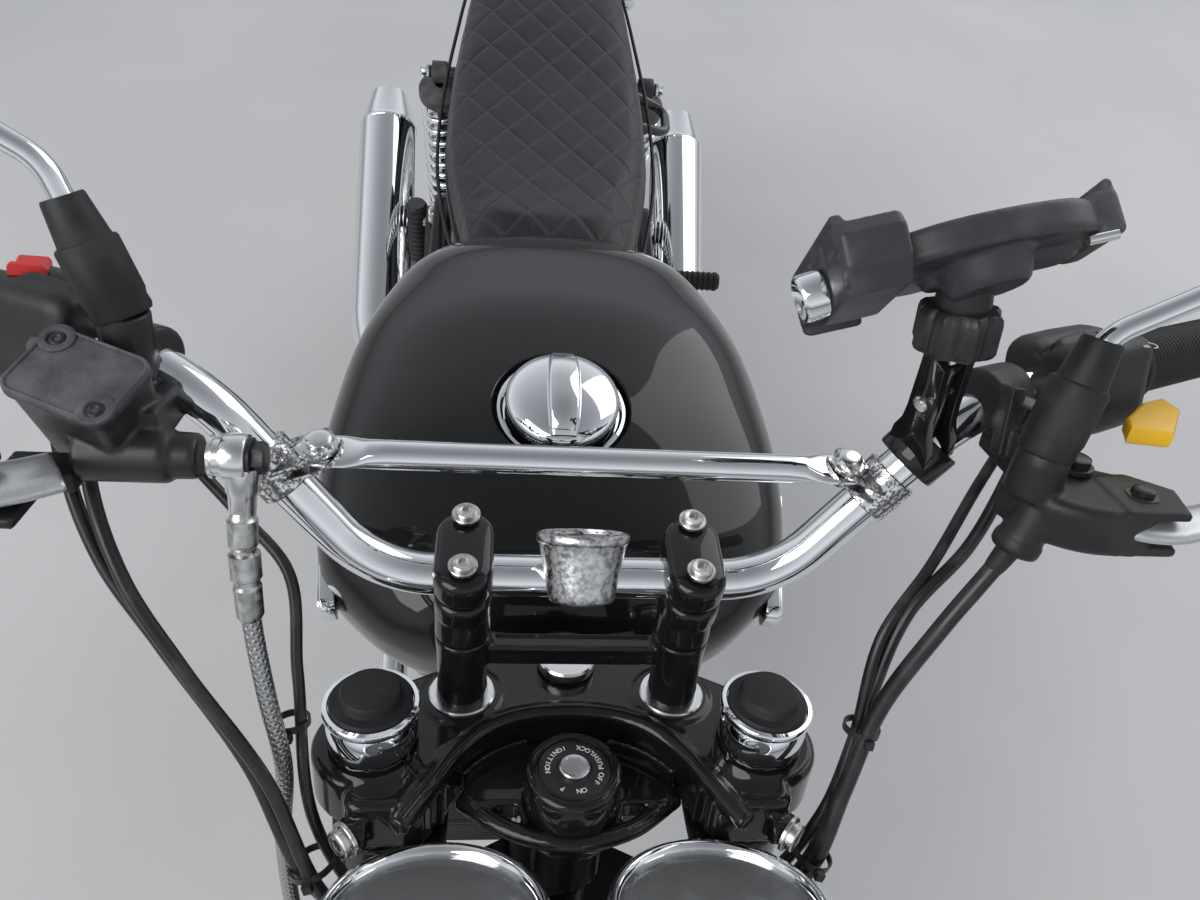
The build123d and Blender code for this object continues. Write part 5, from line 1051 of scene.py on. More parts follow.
# Control cables: steel wires in black plastic sheaths with moulded boots, tied in two bundles down to
# the back of the lamp.
sheath = Finish("black_sheath", (0.014, 0.014, 0.015), 0.38)
sheath.aged((60, 4, 0.45, 0.75), (0.012, 0.012, 0.013), (0.032, 0.032, 0.033), (0.3, 0.2))
cable_runs = [(3.4, [(-246, -6, 182), (-241, -28, 146), (-226, -46, 108), (-200, -62, 72),
                     (-160, -84, 14), (-131, -108, -42), (-96, -108, -90), (-62, -106, -136)]),
              (3.4, [(-234, -4, 182), (-229, -34, 142), (-213, -56, 104), (-188, -72, 66),
                     (-150, -92, 12), (-123, -115, -42), (-88, -116, -92), (-54, -114, -136)]),
              (3.0, [(-226, 8, 182), (-208, 2, 152), (-172, -14, 114), (-148, -28, 92), (-141, -52, 44),
                     (-130, -90, -20), (-112, -98, -62), (-66, -97, -130)]),
              (4.4, [(206, -70, 170), (194, -73, 142), (172, -79, 102), (151, -84, 50), (140, -95, 6),
                     (128, -107, -40), (98, -110, -88), (66, -108, -136)]),
              (3.4, [(234, -4, 182), (220, -20, 158), (198, -40, 124), (166, -58, 94), (150, -74, 44),
                     (134, -92, -16), (104, -98, -74), (60, -98, -130)]),
              (3.0, [(226, -2, 176), (206, -18, 148), (178, -44, 112), (154, -62, 84), (145, -80, 30),
                     (126, -104, -38), (92, -107, -90), (58, -104, -132)]),]
cables = [swept(flowing([head_spot(p) for p in points], 90), circle(r, 14)) for r, points in cable_runs]
piece("control_cables_sheaths", cables, sheath, "steering",
      stands_for=["control_cables"])
boots = []
for points, length, wide in ((cable_runs[0][1], 44, 6.2), (cable_runs[1][1], 36, 6.2),
                             (cable_runs[3][1], 40, 7.4), (cable_runs[4][1], 26, 5.6)):
    line = flowing([head_spot(p) for p in points], 90)
    gone = walked(line)
    s = np.linspace(0, length, 40)
    along = np.stack([np.interp(s, gone, line[:, k]) for k in range(3)], -1)
    steps = np.interp(s / length, [0, 0.1, 0.12, 0.5, 0.52, 0.56, 0.58, 0.9, 1],
                      [1, 1, 0.86, 0.86, 0.98, 0.98, 0.8, 0.66, 0.56])
    boots.append(swept(along, circle(wide, 20), steps))
piece("cable_boots", boots, rubber, "steering")
ties = []
for at, way, r in (((-143, -64, 22), (-0.1, 0.25, 1), 9.2), ((-129, -104, -34), (-0.3, 0.2, 1), 12),
                   ((147, -81, 36), (0.1, 0.2, 1), 9.5), ((129, -104, -34), (0.3, 0.1, 1), 10.5)):
    ties.append(to_head(turned([(r - 0.9, -1.8), (r, -1.8), (r, 1.8), (r - 0.9, 1.8)], at, way, 36,
                               loop=True)))
    ties.append(to_head(block((4.4, 4.2, 4.6), np.array(at) + np.array([0, -r - 1.4, 0]), way)))
piece("cable_ties", ties, plastic, "steering")

# Switch housings: two moulded half shells screwed round the bar on each side, with a red stop rocker
# on the right, a yellow flasher lever and a small button on the left.
shells = []
for s in (-1, 1):
    near_end, way = bar_spot(s, 0.177)
    for half_side in (-1, 1):
        section = rounded(23.2, 49, 9) + np.array([half_side * 11.9 + 3, 0])
        steps = np.array([0, 1.2, 4, 9, 30, 54, 60, 63, 64.2])
        line = near_end + steps[:, None] * way
        size = np.array([0.8, 0.88, 0.95, 1, 1.02, 1, 0.95, 0.88, 0.8])
        shells.append(to_head(swept(line, section, size, toward=(0, 0.2, 1))))
    shells.append(to_head(slab(rounded(30, 16, 7), 18, 27.5, 2.5, near_end + way * 22, (0, -0.3, 1),
                               way)))
moulding = Finish("soft_black_moulding", (0.017, 0.017, 0.018), 0.5, Specular_IOR_Level=0.4)
moulding.aged((26, 6, 0.45, 0.8), (0.015, 0.015, 0.016), (0.034, 0.034, 0.033), (0.44, 0.2))
moulding.relief(moulding.cells(1500), 0.05)
cast("switch_shells", shells, 1.1, 4, moulding, "steering", ["switch_housings"])
red = Finish("red_moulding", (0.62, 0.02, 0.018), 0.42)
red.tint(red.noise(120, 4), (0.55, 0.015, 0.015), (0.68, 0.03, 0.025))
red.relief(red.noise(900, 2), 0.02)
rock = np.linspace(-1, 1, 17)
crest = 1.2 + 4.2 * np.abs(rock) ** 1.5 - 2.0 * np.clip(np.abs(rock) - 0.86, 0, 1) / 0.14
rocker_rows = [[(x * 7.2, y * 17, z)
                for x, z in ((-1, -5), (1, -5), (1, h - 1.5), (0.82, h), (-0.82, h), (-1, h - 1.5))]
               for y, h in zip(rock, crest)]
piece("stop_rocker",
      [to_head(laid(skin(rocker_rows), (-266, 30, 219.5), (0.05, 0.25, 1), (1, 0.35, 0)))], red,
      "steering", 34)
yellow = Finish("yellow_moulding", (0.88, 0.5, 0.01), 0.42)
yellow.tint(yellow.noise(120, 4), (0.84, 0.46, 0.008), (0.92, 0.55, 0.015))
yellow.relief(yellow.noise(900, 2), 0.02)
flag = [(256, -43), (277, -46), (299, -19), (297, -6), (282, -12), (262, -30)]
piece("flasher_lever", [to_head(slab(flag, 188, 197, 2.4))], yellow, "steering", 34)
piece("switch_buttons",
      [to_head(turned([(0.05, 0), (5.6, 0), (5.6, 5), (4.8, 6), (0.05, 6.2)], (268, 14, 217),
                      (0, -0.1, 1))),
       to_head(slab(rounded(12, 6, 2.5), 0, 6, 1, (282, 12, 216), (0, -0.2, 1), bar_way)),
       to_head(turned([(0.05, 0), (5, 0), (5, 4), (4, 5), (0.05, 5)], (-246, -14, 200), (0, -1, 0.4)))],
      plastic, "steering")
icon_at, icon_up = np.array([287, 4, 221.4]), (0, -0.05, 1)
arc = np.array([(3.2 * cos(t), 3.2 * sin(t)) for t in np.linspace(pi / 2, 3 * pi / 2, 14)])
icons = [to_head(laid(swept(np.column_stack([arc, np.zeros(14)]),
                            [(-0.3, -0.1), (0.3, -0.1), (0.3, 0.1), (-0.3, 0.1)], toward=(0, 0, 1)),
                      icon_at, icon_up, (-1, 0, 0)))]
icons += [to_head(laid(block((w, 0.6, 0.2), (x, y, 0)), icon_at, icon_up, (-1, 0, 0)))
          for x, y, w in ((0.2, 3.1, 0.6), (0.2, -3.1, 0.6), (3.6, 2.4, 3.6), (3.6, 0.8, 3.6),
                          (3.6, -0.8, 3.6), (3.6, -2.4, 3.6))]
icons.append(to_head(marked("OFF", 3.2, (-243, 20, 220.8), (0, 0.2, 1), (-1, 0, 0))))
icons.append(to_head(marked("RUN", 3.2, (-243, 8, 221.4), (0, 0.1, 1), (-1, 0, 0))))
piece("switch_marks", icons, white_ink, "steering")

# Grips: soft moulded rubber with fine rings, pushed on the ends of the bar. A turned steel weight
# closes each end.
ribs = [(11.2, 0), (20.4, 0), (21, 1), (21, 4), (20, 5.2), (17, 6)]
for k in range(36):
    ribs += [(16.1, 7 + k * 3), (17.1, 8 + k * 3), (17.1, 9.2 + k * 3)]
ribs += [(16.4, 116), (15.4, 118), (11.2, 118)]
grips, weights = [], []
for s in (-1, 1):
    near_end, way = bar_spot(s, 0.474)
    grips.append(to_head(turned(ribs, near_end, way, 40, loop=True)))
    weights.append(to_head(turned([(0.05, 118.4), (15.2, 118.4), (16, 119.4), (16, 129.6),
                                   (14.6, 131.4), (8, 132), (7.4, 131), (4, 131), (4, 128),
                                   (0.05, 127.6)], near_end, way, 40)))
piece("grip_sleeves", grips, rubber, "steering", 50, stands_for=["grips"])
piece("bar_end_weights", weights, bright, "steering")

# Levers: cast alloy blades painted silver, on pivot screws in black cast perches. The left perch
# also carries the clutch cable's barrel and adjuster.
silver = Finish("silver_paint", (0.6, 0.61, 0.62), 0.32, 0.75)
fleck = silver.noise(900, 2)
silver.tint(fleck, (0.5, 0.51, 0.52), (0.68, 0.69, 0.7))
silver.set("Roughness", 0.26 + silver.noise(30, 4) * 0.16)
silver.relief(silver.noise(160, 3), 0.02)
blades = []
for s in (-1, 1):
    line = flowing([(s * 224, -66, 168), (s * 236, -74, 168), (s * 256, -82, 168),
                    (s * 282, -78, 168.4), (s * 326, -50, 168.4), (s * 352, -22, 168),
                    (s * 364, -4, 168)], 60)
    t = np.linspace(0, 1, 60)
    wide = np.interp(t, [0, 0.16, 0.3, 0.6, 1], [15, 16, 11, 8, 6.6])
    thick = np.interp(t, [0, 0.12, 0.35, 1], [5, 5, 4.6, 4.4])
    section = rounded(2, 2, 0.9, 6)
    blades.append(to_head(swept(line, section, np.stack([wide, thick], -1), toward=(0, 0, 1))))
    ball = [(max(0.05, 8.6 * sin(t)), -8.6 * cos(t)) for t in np.linspace(0, pi, 16)]
    blades.append(to_head(turned(ball, (s * 366, -4, 168), count=28)))
cast("lever_blades", blades, 1.0, 4, silver, "steering")
wedge = flowing([(190, -58), (202, -82), (222, -92), (246, -90), (260, -76), (256, -60), (236, -48),
                 (208, -40), (190, -58)], 60)[:-1]
perch = [to_head(slab(wedge, 155, 179, 5)), to_head(block((24, 40, 22), (212, -34, 180))),
         to_head(turned([(0.05, -13), (11.6, -13), (12.4, -11), (12, 6), (10.6, 11), (0.05, 11)],
                        (200, -66, 186))),
         to_head(turned([(0.05, -16), (10, -16), (11.4, -14), (11.4, -9), (10.2, -8), (10.2, 8),
                         (0.05, 8)], (202, -71, 160), (0.3, 0.1, 1))),
         *[to_head(slab([(232, -92), (262, -92), (268, -70), (250, -56), (232, -60)], w, top, 1.5))
           for w, top in ((156, 161), (175.5, 180))]]
clamp_spot, clamp_way = bar_spot(1, 0.053)
perch.append(to_head(turned([(0.05, -12.5), (15, -12.5), (16.2, -11), (16.2, 11), (15, 12.5),
                             (0.05, 12.5)], clamp_spot, clamp_way, 40)))
perch.append(to_head(block((8, 10, 34), clamp_spot + np.array([-2, -22, -2]), (0, 0.2, 1))))
cast("clutch_perch", perch, 1.1, 7, moulding, "steering", ["levers"])
right_perch = [to_head(slab([(-232, -92), (-232, -58), (-250, -52), (-268, -68), (-262, -92)], 156, 161,
                            1.5)), to_head(block((30, 18, 10), (-236, -54, 160)))]
cast("brake_perch", right_perch, 1.1, 5, moulding, "steering")
piece("perch_screws",
      [to_head(hex_screw((226, -54, 181.6), (0, 0, 1), 7, 5, 8.6)),
       to_head(hex_screw((205, -34, 197), (0, -0.2, 1), 6.4, 8, 0)),
       *[to_head(hex_screw((s * 247, -76, 179.6), (0, 0, 1), 5.2, 4, 7.4)) for s in (-1, 1)]], plastic,
      "steering")

# Mirrors: a rubber boot over each threaded foot, a chromed stem bent outward, and a round chromed
# head with the glass towards the rider.
mirror_runs = [((-207, -20, 221), (-229, -14, 281), (-345, -14, 350), 50),
               ((200, -66, 196), (213, -58, 248), (345, -50, 316), 53)]
facing = np.array([0, 0.855, 0.52])
boots, stems, heads, glasses = [], [], [], []
for foot, bend, head, tall in mirror_runs:
    rise = np.array(bend, float) - foot
    k = tall / 44
    boots.append(to_head(turned([(0.05, -2), (12.2, -2), (12.8, 0), (12.4, 4), (13.2, 6 * k),
                                 (13.0, 26 * k), (12.4, 27 * k), (11.2, 27.4 * k), (10.9, 28.6 * k),
                                 (9.0, 43 * k), (8.4, 44 * k), (5.6, 44 * k), (5.3, 43 * k),
                                 (0.05, 43 * k)], foot, rise, 48)))
    stems.append(to_head(swept(bent([foot, bend, head], [24], 0.05), circle(5, 28),
                               toward=(0, 1, 0.03))))
    shell = [(0.05, -20), (12, -19.4), (30, -15.5), (46, -8.5), (53, -2), (55.6, 3), (56, 6), (55.4, 8),
             (54, 8.6), (52.8, 7.6), (52.4, 5.8), (0.05, 5.8)]
    heads.append(to_head(turned(shell, head, facing, 72)))
    glasses.append(to_head(turned([(0.05, 5.4), (52.6, 5.4), (52.6, 6.4), (40, 6.8), (20, 7.1),
                                   (0.05, 7.2)], head, facing, 72)))
piece("mirror_boots", boots, rubber, "steering")
piece("mirror_stems", stems + heads, chrome, "steering", stands_for=["mirrors"])
looking_glass = Finish("looking_glass", (0.8, 0.82, 0.83), 0.02, 1.0)
looking_glass.set("Roughness", 0.01 + looking_glass.noise(8, 3) * 0.02)
piece("mirror_glass", glasses, looking_glass, "steering")

# Phone holder: a ring clamp with two flat arms, a ball socket under a lobed knob, and a moulded
# board whose sprung jaws slide on steel rods.
grey = Finish("dark_grey_moulding", (0.042, 0.044, 0.048), 0.5, Specular_IOR_Level=0.45)
grey.aged((40, 6, 0.45, 0.8), (0.036, 0.037, 0.041), (0.075, 0.077, 0.083), (0.4, 0.2))
grey.relief(grey.cells(1700), 0.04)
face_up, face_side, face_at = (-0.2346, 0.6015, 0.7636), (0.9613, 0.0268, 0.2741), (140.5, -54, 279)


def on_face(part):
    """A part laid out on the holder's board: x along it, y across it, z off the face."""
    return to_head(laid(part, face_at, face_up, face_side))


board = [(-36, -24), (-22, -30), (14, -31), (38, -24), (52, -10), (58, 6), (56, 20), (44, 31), (22, 31),
         (0, 26), (-20, 27), (-36, 18)]
soft_board = flowing(board + board[:2], 96)[:-8]
parts = [on_face(slab(soft_board, -6.5, 6.5, 2.2)),
         on_face(turned([(0.05, -19), (14, -19), (16, -17), (20, -6), (0.05, -4)], (4, -6, 0))),
         on_face(slab(rounded(64, 20, 8), -11, -4, 3, (14, 4, 0))),
         on_face(slab(rounded(12, 40, 4), -9, 9.6, 2.5, (53, 4, 0))),
         on_face(slab(rounded(4, 38, 1.8), 8, 14, 1.2, (56, 4, 0)))]
cast("holder_board", parts, 1.1, 3, grey, "steering", ["phone_holder"])
jaw_side = [(-42, -6), (-43, 6), (-39, 12), (34, 12), (42, 7), (44, -2), (42, -11), (36, -13), (34, -9),
            (24, -6), (17, -10), (10, -15), (-34, -15)][::-1]
jaw = [on_face(slab(jaw_side, -61, -35, 2.6, (0, 0, 0), (1, 0, 0), (0, 1, 0))),
       on_face(slab([(-40, 10), (40, 10), (36, 16), (-36, 16)], -61, -56, 1.4, (0, 0, 0), (1, 0, 0),
                    (0, 1, 0)))]
jaw += [on_face(slab(rounded(size, tall, 2), -61.9, -60.4, 0.5, (0, y, z), (1, 0, 0), (0, 1, 0)))
        for y, z, size, tall in ((-31, 6.5, 15, 7), (-11, 6.5, 15, 7), (9, 6.5, 15, 7),
                                 (29, 6, 15, 6.5), (-30, -6, 18, 13), (34, -4, 9, 9))]
jaw += [on_face(slab(rounded(15, 12, 2.5), 7.2, 12.6, 0.8, (-46, y, 0))) for y in (-28, 0, 28)]
cast("holder_jaw", jaw, 0.8, 2, grey, "steering")
piece("holder_thumbscrew",
      [on_face(turned([(0.05, 0), (8.6, 0), (9.6, 1), (9.8, 9), (9.2, 10.4), (8.2, 10.8), (7.4, 10),
                       (5.4, 7.6), (2.4, 6.4), (0.05, 6.2)], (-61, -8, -5), (-1, 0.05, -0.1), 48))],
      chrome, "steering")
piece("holder_rods",
      [on_face(turned([(0.05, 0), (2.4, 0), (2.4, 30), (0.05, 30)], (-42, y, -1), (1, 0, 0), 20))
       for y in (-18, 20)]
      + [on_face(turned([(0.05, 0), (2.2, 0), (2.2, 12), (0.05, 12)], (42, -14, -9), (1, 0, 0), 20))],
      bright, "steering")
ball_at = np.array([146.0, -58, 236])
neck_way = np.array([-0.05, 0.02, 1])
t = np.arange(96) * tau / 96
lobes = 16.2 + 1.5 * np.cos(t * 8) ** 3
knob_rows = [np.stack([np.cos(t) * lobes * k, np.sin(t) * lobes * k, np.full(96, z)], -1)
             for k, z in ((0.86, 2), (0.97, 3.4), (1.03, 5.4), (1.03, 18), (1, 20.4), (0.9, 22))]
piece("holder_knob",
      [to_head(laid(skin(knob_rows), ball_at, neck_way)),
       to_head(turned([(0.05, 21), (11, 21), (11.6, 24), (11, 30), (13, 36), (0.05, 36)], ball_at,
                      neck_way))], plastic, "steering")
climb = np.array(bar_high, float) - bar_low
clamp_low = bar_low + climb * ((166 - bar_low[2]) / climb[2])
climb /= np.linalg.norm(climb)
arm_way = ball_at - clamp_low
arm_long = np.linalg.norm(arm_way)
arm_way /= arm_long
arm_up = climb - arm_way * (climb @ arm_way)
arm_up /= np.linalg.norm(arm_up)
clamp_ring = [(11.3, -9), (16.4, -9), (17, -8), (17, 8), (16.4, 9), (11.3, 9)]
outline = [(6, -13), (20, -12), (32, -8.5), (44, -7.5), (arm_long + 2, -6.5), (arm_long + 5, 0),
           (arm_long + 2, 6.5), (44, 7.5), (32, 8.5), (20, 12), (6, 13)]
arms = [to_head(turned(clamp_ring, clamp_low, climb, 48, loop=True))]
arms += [to_head(slab(outline, lift - 2.3, lift + 2.3, 0.8, clamp_low, arm_up, arm_way))
         for lift in (-7.2, 7.2)]
arms.append(to_head(turned([(0.05, 6), (5.4, 6), (5, arm_long - 10), (6.6, arm_long - 4),
                            (6.6, arm_long), (0.05, arm_long + 1)], clamp_low, arm_way, 32)))
piece("holder_arms", arms, lacquer, "steering")
rivets = [to_head(turned([(0.05, -11), (3.6, -11), (4, -10), (4, 10), (3.6, 11), (0.05, 11.2)],
                         clamp_low + arm_way * (arm_long - 30), arm_up, 24)),
          to_head(turned([(0.05, -2), (4.6, -2), (4.6, 3), (4.0, 3.6), (0.05, 3.8)],
                         ball_at - neck_way * 2, neck_way, 24))]
piece("holder_rivets", rivets, bright, "steering")

# Tyres: black rubber moulded with a block tread, ribs round the sidewalls and a worn, dusty face. Each
# tyre sits on its rim and turns with it.
front_hub, rear_hub = np.array([0, -700.0, 318.6]), np.array([0, 699.0, 331.6])
across = (1, 0, 0)


def through(a, b, c, count):
    """Points from a to c on the circle that also passes through b: its centre is where the mid
    lines of two chords meet."""
    a, b, c = (np.array(p, float) for p in (a, b, c))
    m = 2 * np.array([b - a, c - a])
    centre = np.linalg.solve(m, [b @ b - a @ a, c @ c - a @ a])
    angles = np.unwrap([np.arctan2(*(p - centre)[::-1]) for p in (a, b, c)])
    turn = np.linspace(angles[0], angles[2], count)
    return centre + np.linalg.norm(a - centre) * np.stack([np.cos(turn), np.sin(turn)], -1)


tyre_black = Finish("tyre_rubber", (0.02, 0.02, 0.021), 0.75, Specular_IOR_Level=0.3)
tyre_black.aged((20, 6, 0.4, 0.75), (0.017, 0.017, 0.018), (0.05, 0.048, 0.044), (0.62, 0.25),
                (700, 3, 0.12))
tyres = [
    # name, middle, radius, half width, bead half, groove places across, groove half width
    ("front", front_hub, 318.6, 50.0, 32.0, (-24, -8, 8, 24), 1.9),
    ("rear", rear_hub, 319.6, 65.0, 44.0, (-30, -10, 10, 30), 2.6),
]
for name, hub, tyre_r, half_width, bead_half, grooves, groove_half in tyres:
    belly, shoulder = (half_width, tyre_r - 46.6), (half_width * 0.76, tyre_r - 15.6)
    side_wall = through((bead_half, 238), belly, shoulder, 26)
    crown = through(shoulder, (0, tyre_r), (-shoulder[0], shoulder[1]), 75)
    section = np.concatenate([[(-bead_half, 227), (bead_half, 227)], side_wall[:-1], crown,
                              side_wall[::-1][1:] * (-1, 1)])
    out = np.zeros(len(section))
    rib = np.abs(section[:, 1] - (tyre_r - 52))
    out += 0.9 * (rib < 2.2) + 0.7 * (np.abs(section[:, 1] - 246) < 2.5)
    on_crown = np.abs(section[:, 0]) < shoulder[0] + 0.01
    on_crown[:2] = False
    turns = 420
    t = np.arange(turns + 1) * tau / turns
    x = section[:, 0][None]
    zig = 2.2 * np.abs(((t * 60 / tau) % 1) * 2 - 1)[:, None] * 2 - 2.2
    cut = np.zeros((turns + 1, len(section)))
    for g in grooves:
        cut = np.maximum(cut, np.abs(x - g - np.sign(g) * zig) < groove_half)
    aside, outer_groove = np.abs(x), np.abs(grooves[0])
    slant = ((t * 70 / tau)[:, None] + aside / 26) % 1
    cut = np.maximum(cut, (slant < 0.14) & (aside > outer_groove + 2))
    cut = np.maximum(cut, (slant < 0.09) & (aside < outer_groove - 2) & (aside > 3.5)) * on_crown
    push = out[None] - 4.5 * cut
    radial = section - (0, tyre_r - 60)
    radial /= np.linalg.norm(radial, axis=1)[:, None]
    spots = section[None] + push[..., None] * radial
    rows = np.stack([spots[..., 0], spots[..., 1] * np.cos(t)[:, None],
                     spots[..., 1] * np.sin(t)[:, None]], -1) + hub
    piece(f"{name}_tyre_tread", [skin(rows, ends=False)], tyre_black, f"{name}_wheel", 30,
          [f"{name}_tyre"])

# Wheels: chromed steel rims laced with 36 bright spokes to alloy hubs. Drilled steel discs are
# bolted to the right side; the rear hub carries the sprocket on the left.
alloy = Finish("polished_alloy", (0.72, 0.72, 0.71), 0.24, 0.95)
alloy.aged((34, 6, 0.42, 0.8), (0.74, 0.74, 0.735), (0.55, 0.55, 0.54), (0.18, 0.22))
alloy.relief(alloy.noise(300, 2, (1, 6, 1)), 0.015)
disc_steel = Finish("disc_steel", (0.5, 0.5, 0.5), 0.3, 1.0)
ringed = disc_steel.noise(260, 3, (0.05, 1, 1))
disc_steel.tint(ringed, (0.44, 0.44, 0.44), (0.62, 0.61, 0.6))
disc_steel.set("Roughness", 0.2 + ringed * 0.25)
disc_steel.relief(ringed, 0.02)


def drilled(name, parts, cutters):
    """Parts less the cutters, as one mesh."""
    tool = added("cutter", raw_mesh("cutter", cutters))
    mesh = worked(raw_mesh(name, parts),
                  ("BOOLEAN", {"object": tool, "operation": "DIFFERENCE", "solver": "EXACT"}))
    bpy.data.objects.remove(tool)
    return mesh


def ring_of(count, radius, hub, x, phase=0.0):
    """Places evenly round an axle at one radius: each at radius*cos a back and radius*sin a up."""
    return [(x, hub[1] + radius * cos(a), hub[2] + radius * sin(a))
            for a in phase + np.arange(count) * tau / count]


wheels = [
    # name, middle, bead half, hub half length, disc x, disc radius, disc band
    ("front", front_hub, 32.0, 72.0, -64.0, 160.0, 34.0),
    ("rear", rear_hub, 44.0, 88.0, -74.0, 120.0, 30.0),
]
for name, hub, bead_half, half_span, disc_x, disc_r, band in wheels:
    outer = bead_half + 4
    rim = [(238, -outer), (238.6, -outer + 2), (238, -bead_half), (226, -bead_half), (226, bead_half),
           (238, bead_half), (238.6, outer - 2), (238, outer), (228, outer), (222, outer - 1),
           (219, outer - 5), (213.4, bead_half - 10), (213, bead_half - 14), (213, 14 - bead_half),
           (213.4, 10 - bead_half), (219, 5 - outer), (222, 1 - outer), (228, -outer)]
    piece(f"{name}_rim", [turned(rim, hub, across, 144, loop=True)], chrome, f"{name}_wheel", 34,
          [f"{name}_wheel"])
    spokes, nipples = [], []
    for i in range(36):
        side = 1 if i % 2 else -1
        lean = radians(26 if i % 4 < 2 else -26)
        a = tau * i / 36
        start = hub + (side * 32, -40 * sin(a + lean), 40 * cos(a + lean))
        end = hub + (side * 7, -217 * sin(a), 217 * cos(a))
        way = (end - start) / np.linalg.norm(end - start)
        spokes.append(swept(bent([start - (side * 9, 0, 0), start, end], [5], 0.4), circle(1.9, 8),
                            toward=(0.2, 0.4, 0.9)))
        spokes.append(turned([(0.05, -1.4), (3.4, -1.2), (3.4, 0), (0.05, 0)], start - (side * 8, 0, 0),
                             (side, 0, 0), 10))
        nipples.append(turned([(0.05, -26), (2.9, -26), (3.1, -24, 4), (3.1, -8, 4), (4.2, -5),
                               (4.2, 0), (0.05, 0)], end, way, 12))
    piece(f"{name}_spokes", spokes, bright, f"{name}_wheel")
    piece(f"{name}_nipples", nipples, zinc, f"{name}_wheel")
    barrel = [(8.6, -half_span), (21.4, -half_span), (22, -half_span + 1), (24, -37), (44, -36.4),
              (46, -35), (46, -30.5), (44.6, -29), (36, -27), (31, -21), (29.6, -10), (29.6, 10),
              (31, 21), (36, 27), (44.6, 29), (46, 30.5), (46, 35), (44, 36.4), (24, 37),
              (22, half_span - 1), (21.4, half_span), (8.6, half_span)]
    piece(f"{name}_hub", [turned(barrel, hub, across, 72, loop=True)], alloy, f"{name}_wheel")
    holes = [turned([(0.05, -6), (4, -6), (4, 6), (0.05, 6)], spot, across, 14)
             for reach, count, phase in ((disc_r - band / 2, 20, 0.0), (disc_r - band * 0.24, 20, 0.1),
                                         (disc_r - band * 0.76, 20, 0.2))
             for spot in ring_of(count, reach, hub, disc_x, phase)]
    plate = [(disc_r - band, -2.5), (disc_r - 0.6, -2.5), (disc_r, -1.9), (disc_r, 1.9),
             (disc_r - 0.6, 2.5), (disc_r - band, 2.5)]
    place(f"{name}_disc",
          drilled("disc", [turned(plate, hub + (disc_x, 0, 0), across, 120, loop=True)], holes),
          disc_steel, f"{name}_wheel", 30)
    inner = disc_r - band
    windows = [turned([(0.05, -9), (inner * 0.26, -9), (inner * 0.26, 9), (0.05, 9)], spot, across, 28)
               for spot in ring_of(5, inner * 0.64, hub, disc_x + 3)]
    carrier = [(8.6, 0.4), (inner + 6, 0.4), (inner + 6, 4.2), (inner + 4, 5), (30, 5), (27, 8),
               (8.6, 8)]
    place(f"{name}_carrier",
          drilled("carrier", [turned(carrier, hub + (disc_x, 0, 0), across, 96, loop=True)], windows),
          lacquer, f"{name}_wheel", 30)
    bolts = [hex_screw(spot, (-1, 0, 0), 4.2, 3.6, 6)
             for spot in ring_of(10, inner + 0.5, hub, disc_x - 2.5, 0.31)]
    bolts += [socket_screw(spot, (-1, 0, 0), 6, 4) for spot in ring_of(5, 21, hub, disc_x - 0.5, 0.63)]
    piece(f"{name}_disc_bolts", bolts, zinc, f"{name}_wheel")
teeth, sprocket_x = 38, 84
pitch_r, gear_r = 96.12, 38.18
t = np.linspace(0, tau, teeth * 8 + 1)[:-1]
edge = pitch_r - 8.4 + 3.6 * np.clip(0.5 + 1.1 * np.cos(t * teeth), 0, 1)
sprocket = slab(np.stack([edge * np.cos(t), edge * np.sin(t)], -1), -3, 3, 0.5,
                rear_hub + (sprocket_x, 0, 0), across)
cuts = [turned([(0.05, -9), (15, -9), (15, 9), (0.05, 9)], spot, across, 24)
        for spot in ring_of(6, 58, rear_hub, sprocket_x)]
cuts.append(turned([(0.05, -9), (8.6, -9), (8.6, 9), (0.05, 9)], rear_hub + (sprocket_x, 0, 0), across,
                   24))
place("rear_sprocket", drilled("sprocket", [sprocket], cuts), zinc, "rear_wheel", 30)
piece("sprocket_nuts",
      [hex_screw(spot, (1, 0, 0), 6, 5, 8.4) for spot in ring_of(6, 34, rear_hub, 87, 0.52)], bright,
      "rear_wheel")

# Drive chain: pins and rollers between pairs of side plates, run round both sprockets. Its steel is
# bright in some patches and dark with grease in others.
chain_steel = Finish("chain_steel", (0.34, 0.32, 0.29), 0.4, 0.9)
chain_steel.aged((80, 5, 0.4, 0.7), (0.42, 0.4, 0.36), (0.08, 0.07, 0.06), (0.3, 0.3), (600, 2, 0.03))
gear_at = np.array([112.0, 366.0])
wheel_at = rear_hub[1:]
span = np.linalg.norm(wheel_at - gear_at)
lift = atan2(*(wheel_at - gear_at)[::-1])
wrap = np.arcsin((pitch_r - gear_r) / span)
top, low = lift + pi / 2 + wrap, lift - pi / 2 - wrap
run = sqrt(span**2 - (pitch_r - gear_r) ** 2)
rear_arc, front_arc = pitch_r * (pi + 2 * wrap), gear_r * (pi - 2 * wrap)
whole = 2 * run + rear_arc + front_arc
chain_pitch = 15.875
links = 2 * round(whole / (2 * chain_pitch))


def heading(a):
    """The unit step at angle a, seen from the side."""
    return np.array([cos(a), sin(a)])


def on_loop(gone):
    """A point on the chain's pitch line, gone millimetres from the top of the rear sprocket: round
    the rear circle, along the lower run, round the front circle and back along the upper run."""
    if gone < rear_arc:
        a = top - gone / pitch_r
        return wheel_at + pitch_r * heading(a)
    gone -= rear_arc
    if gone < run:
        return wheel_at + pitch_r * heading(low) + gone * heading(low - pi / 2)
    gone -= run
    if gone < front_arc:
        a = low - gone / gear_r
        return gear_at + gear_r * heading(a)
    gone -= front_arc
    return gear_at + gear_r * heading(top) + gone * heading(top - pi / 2)


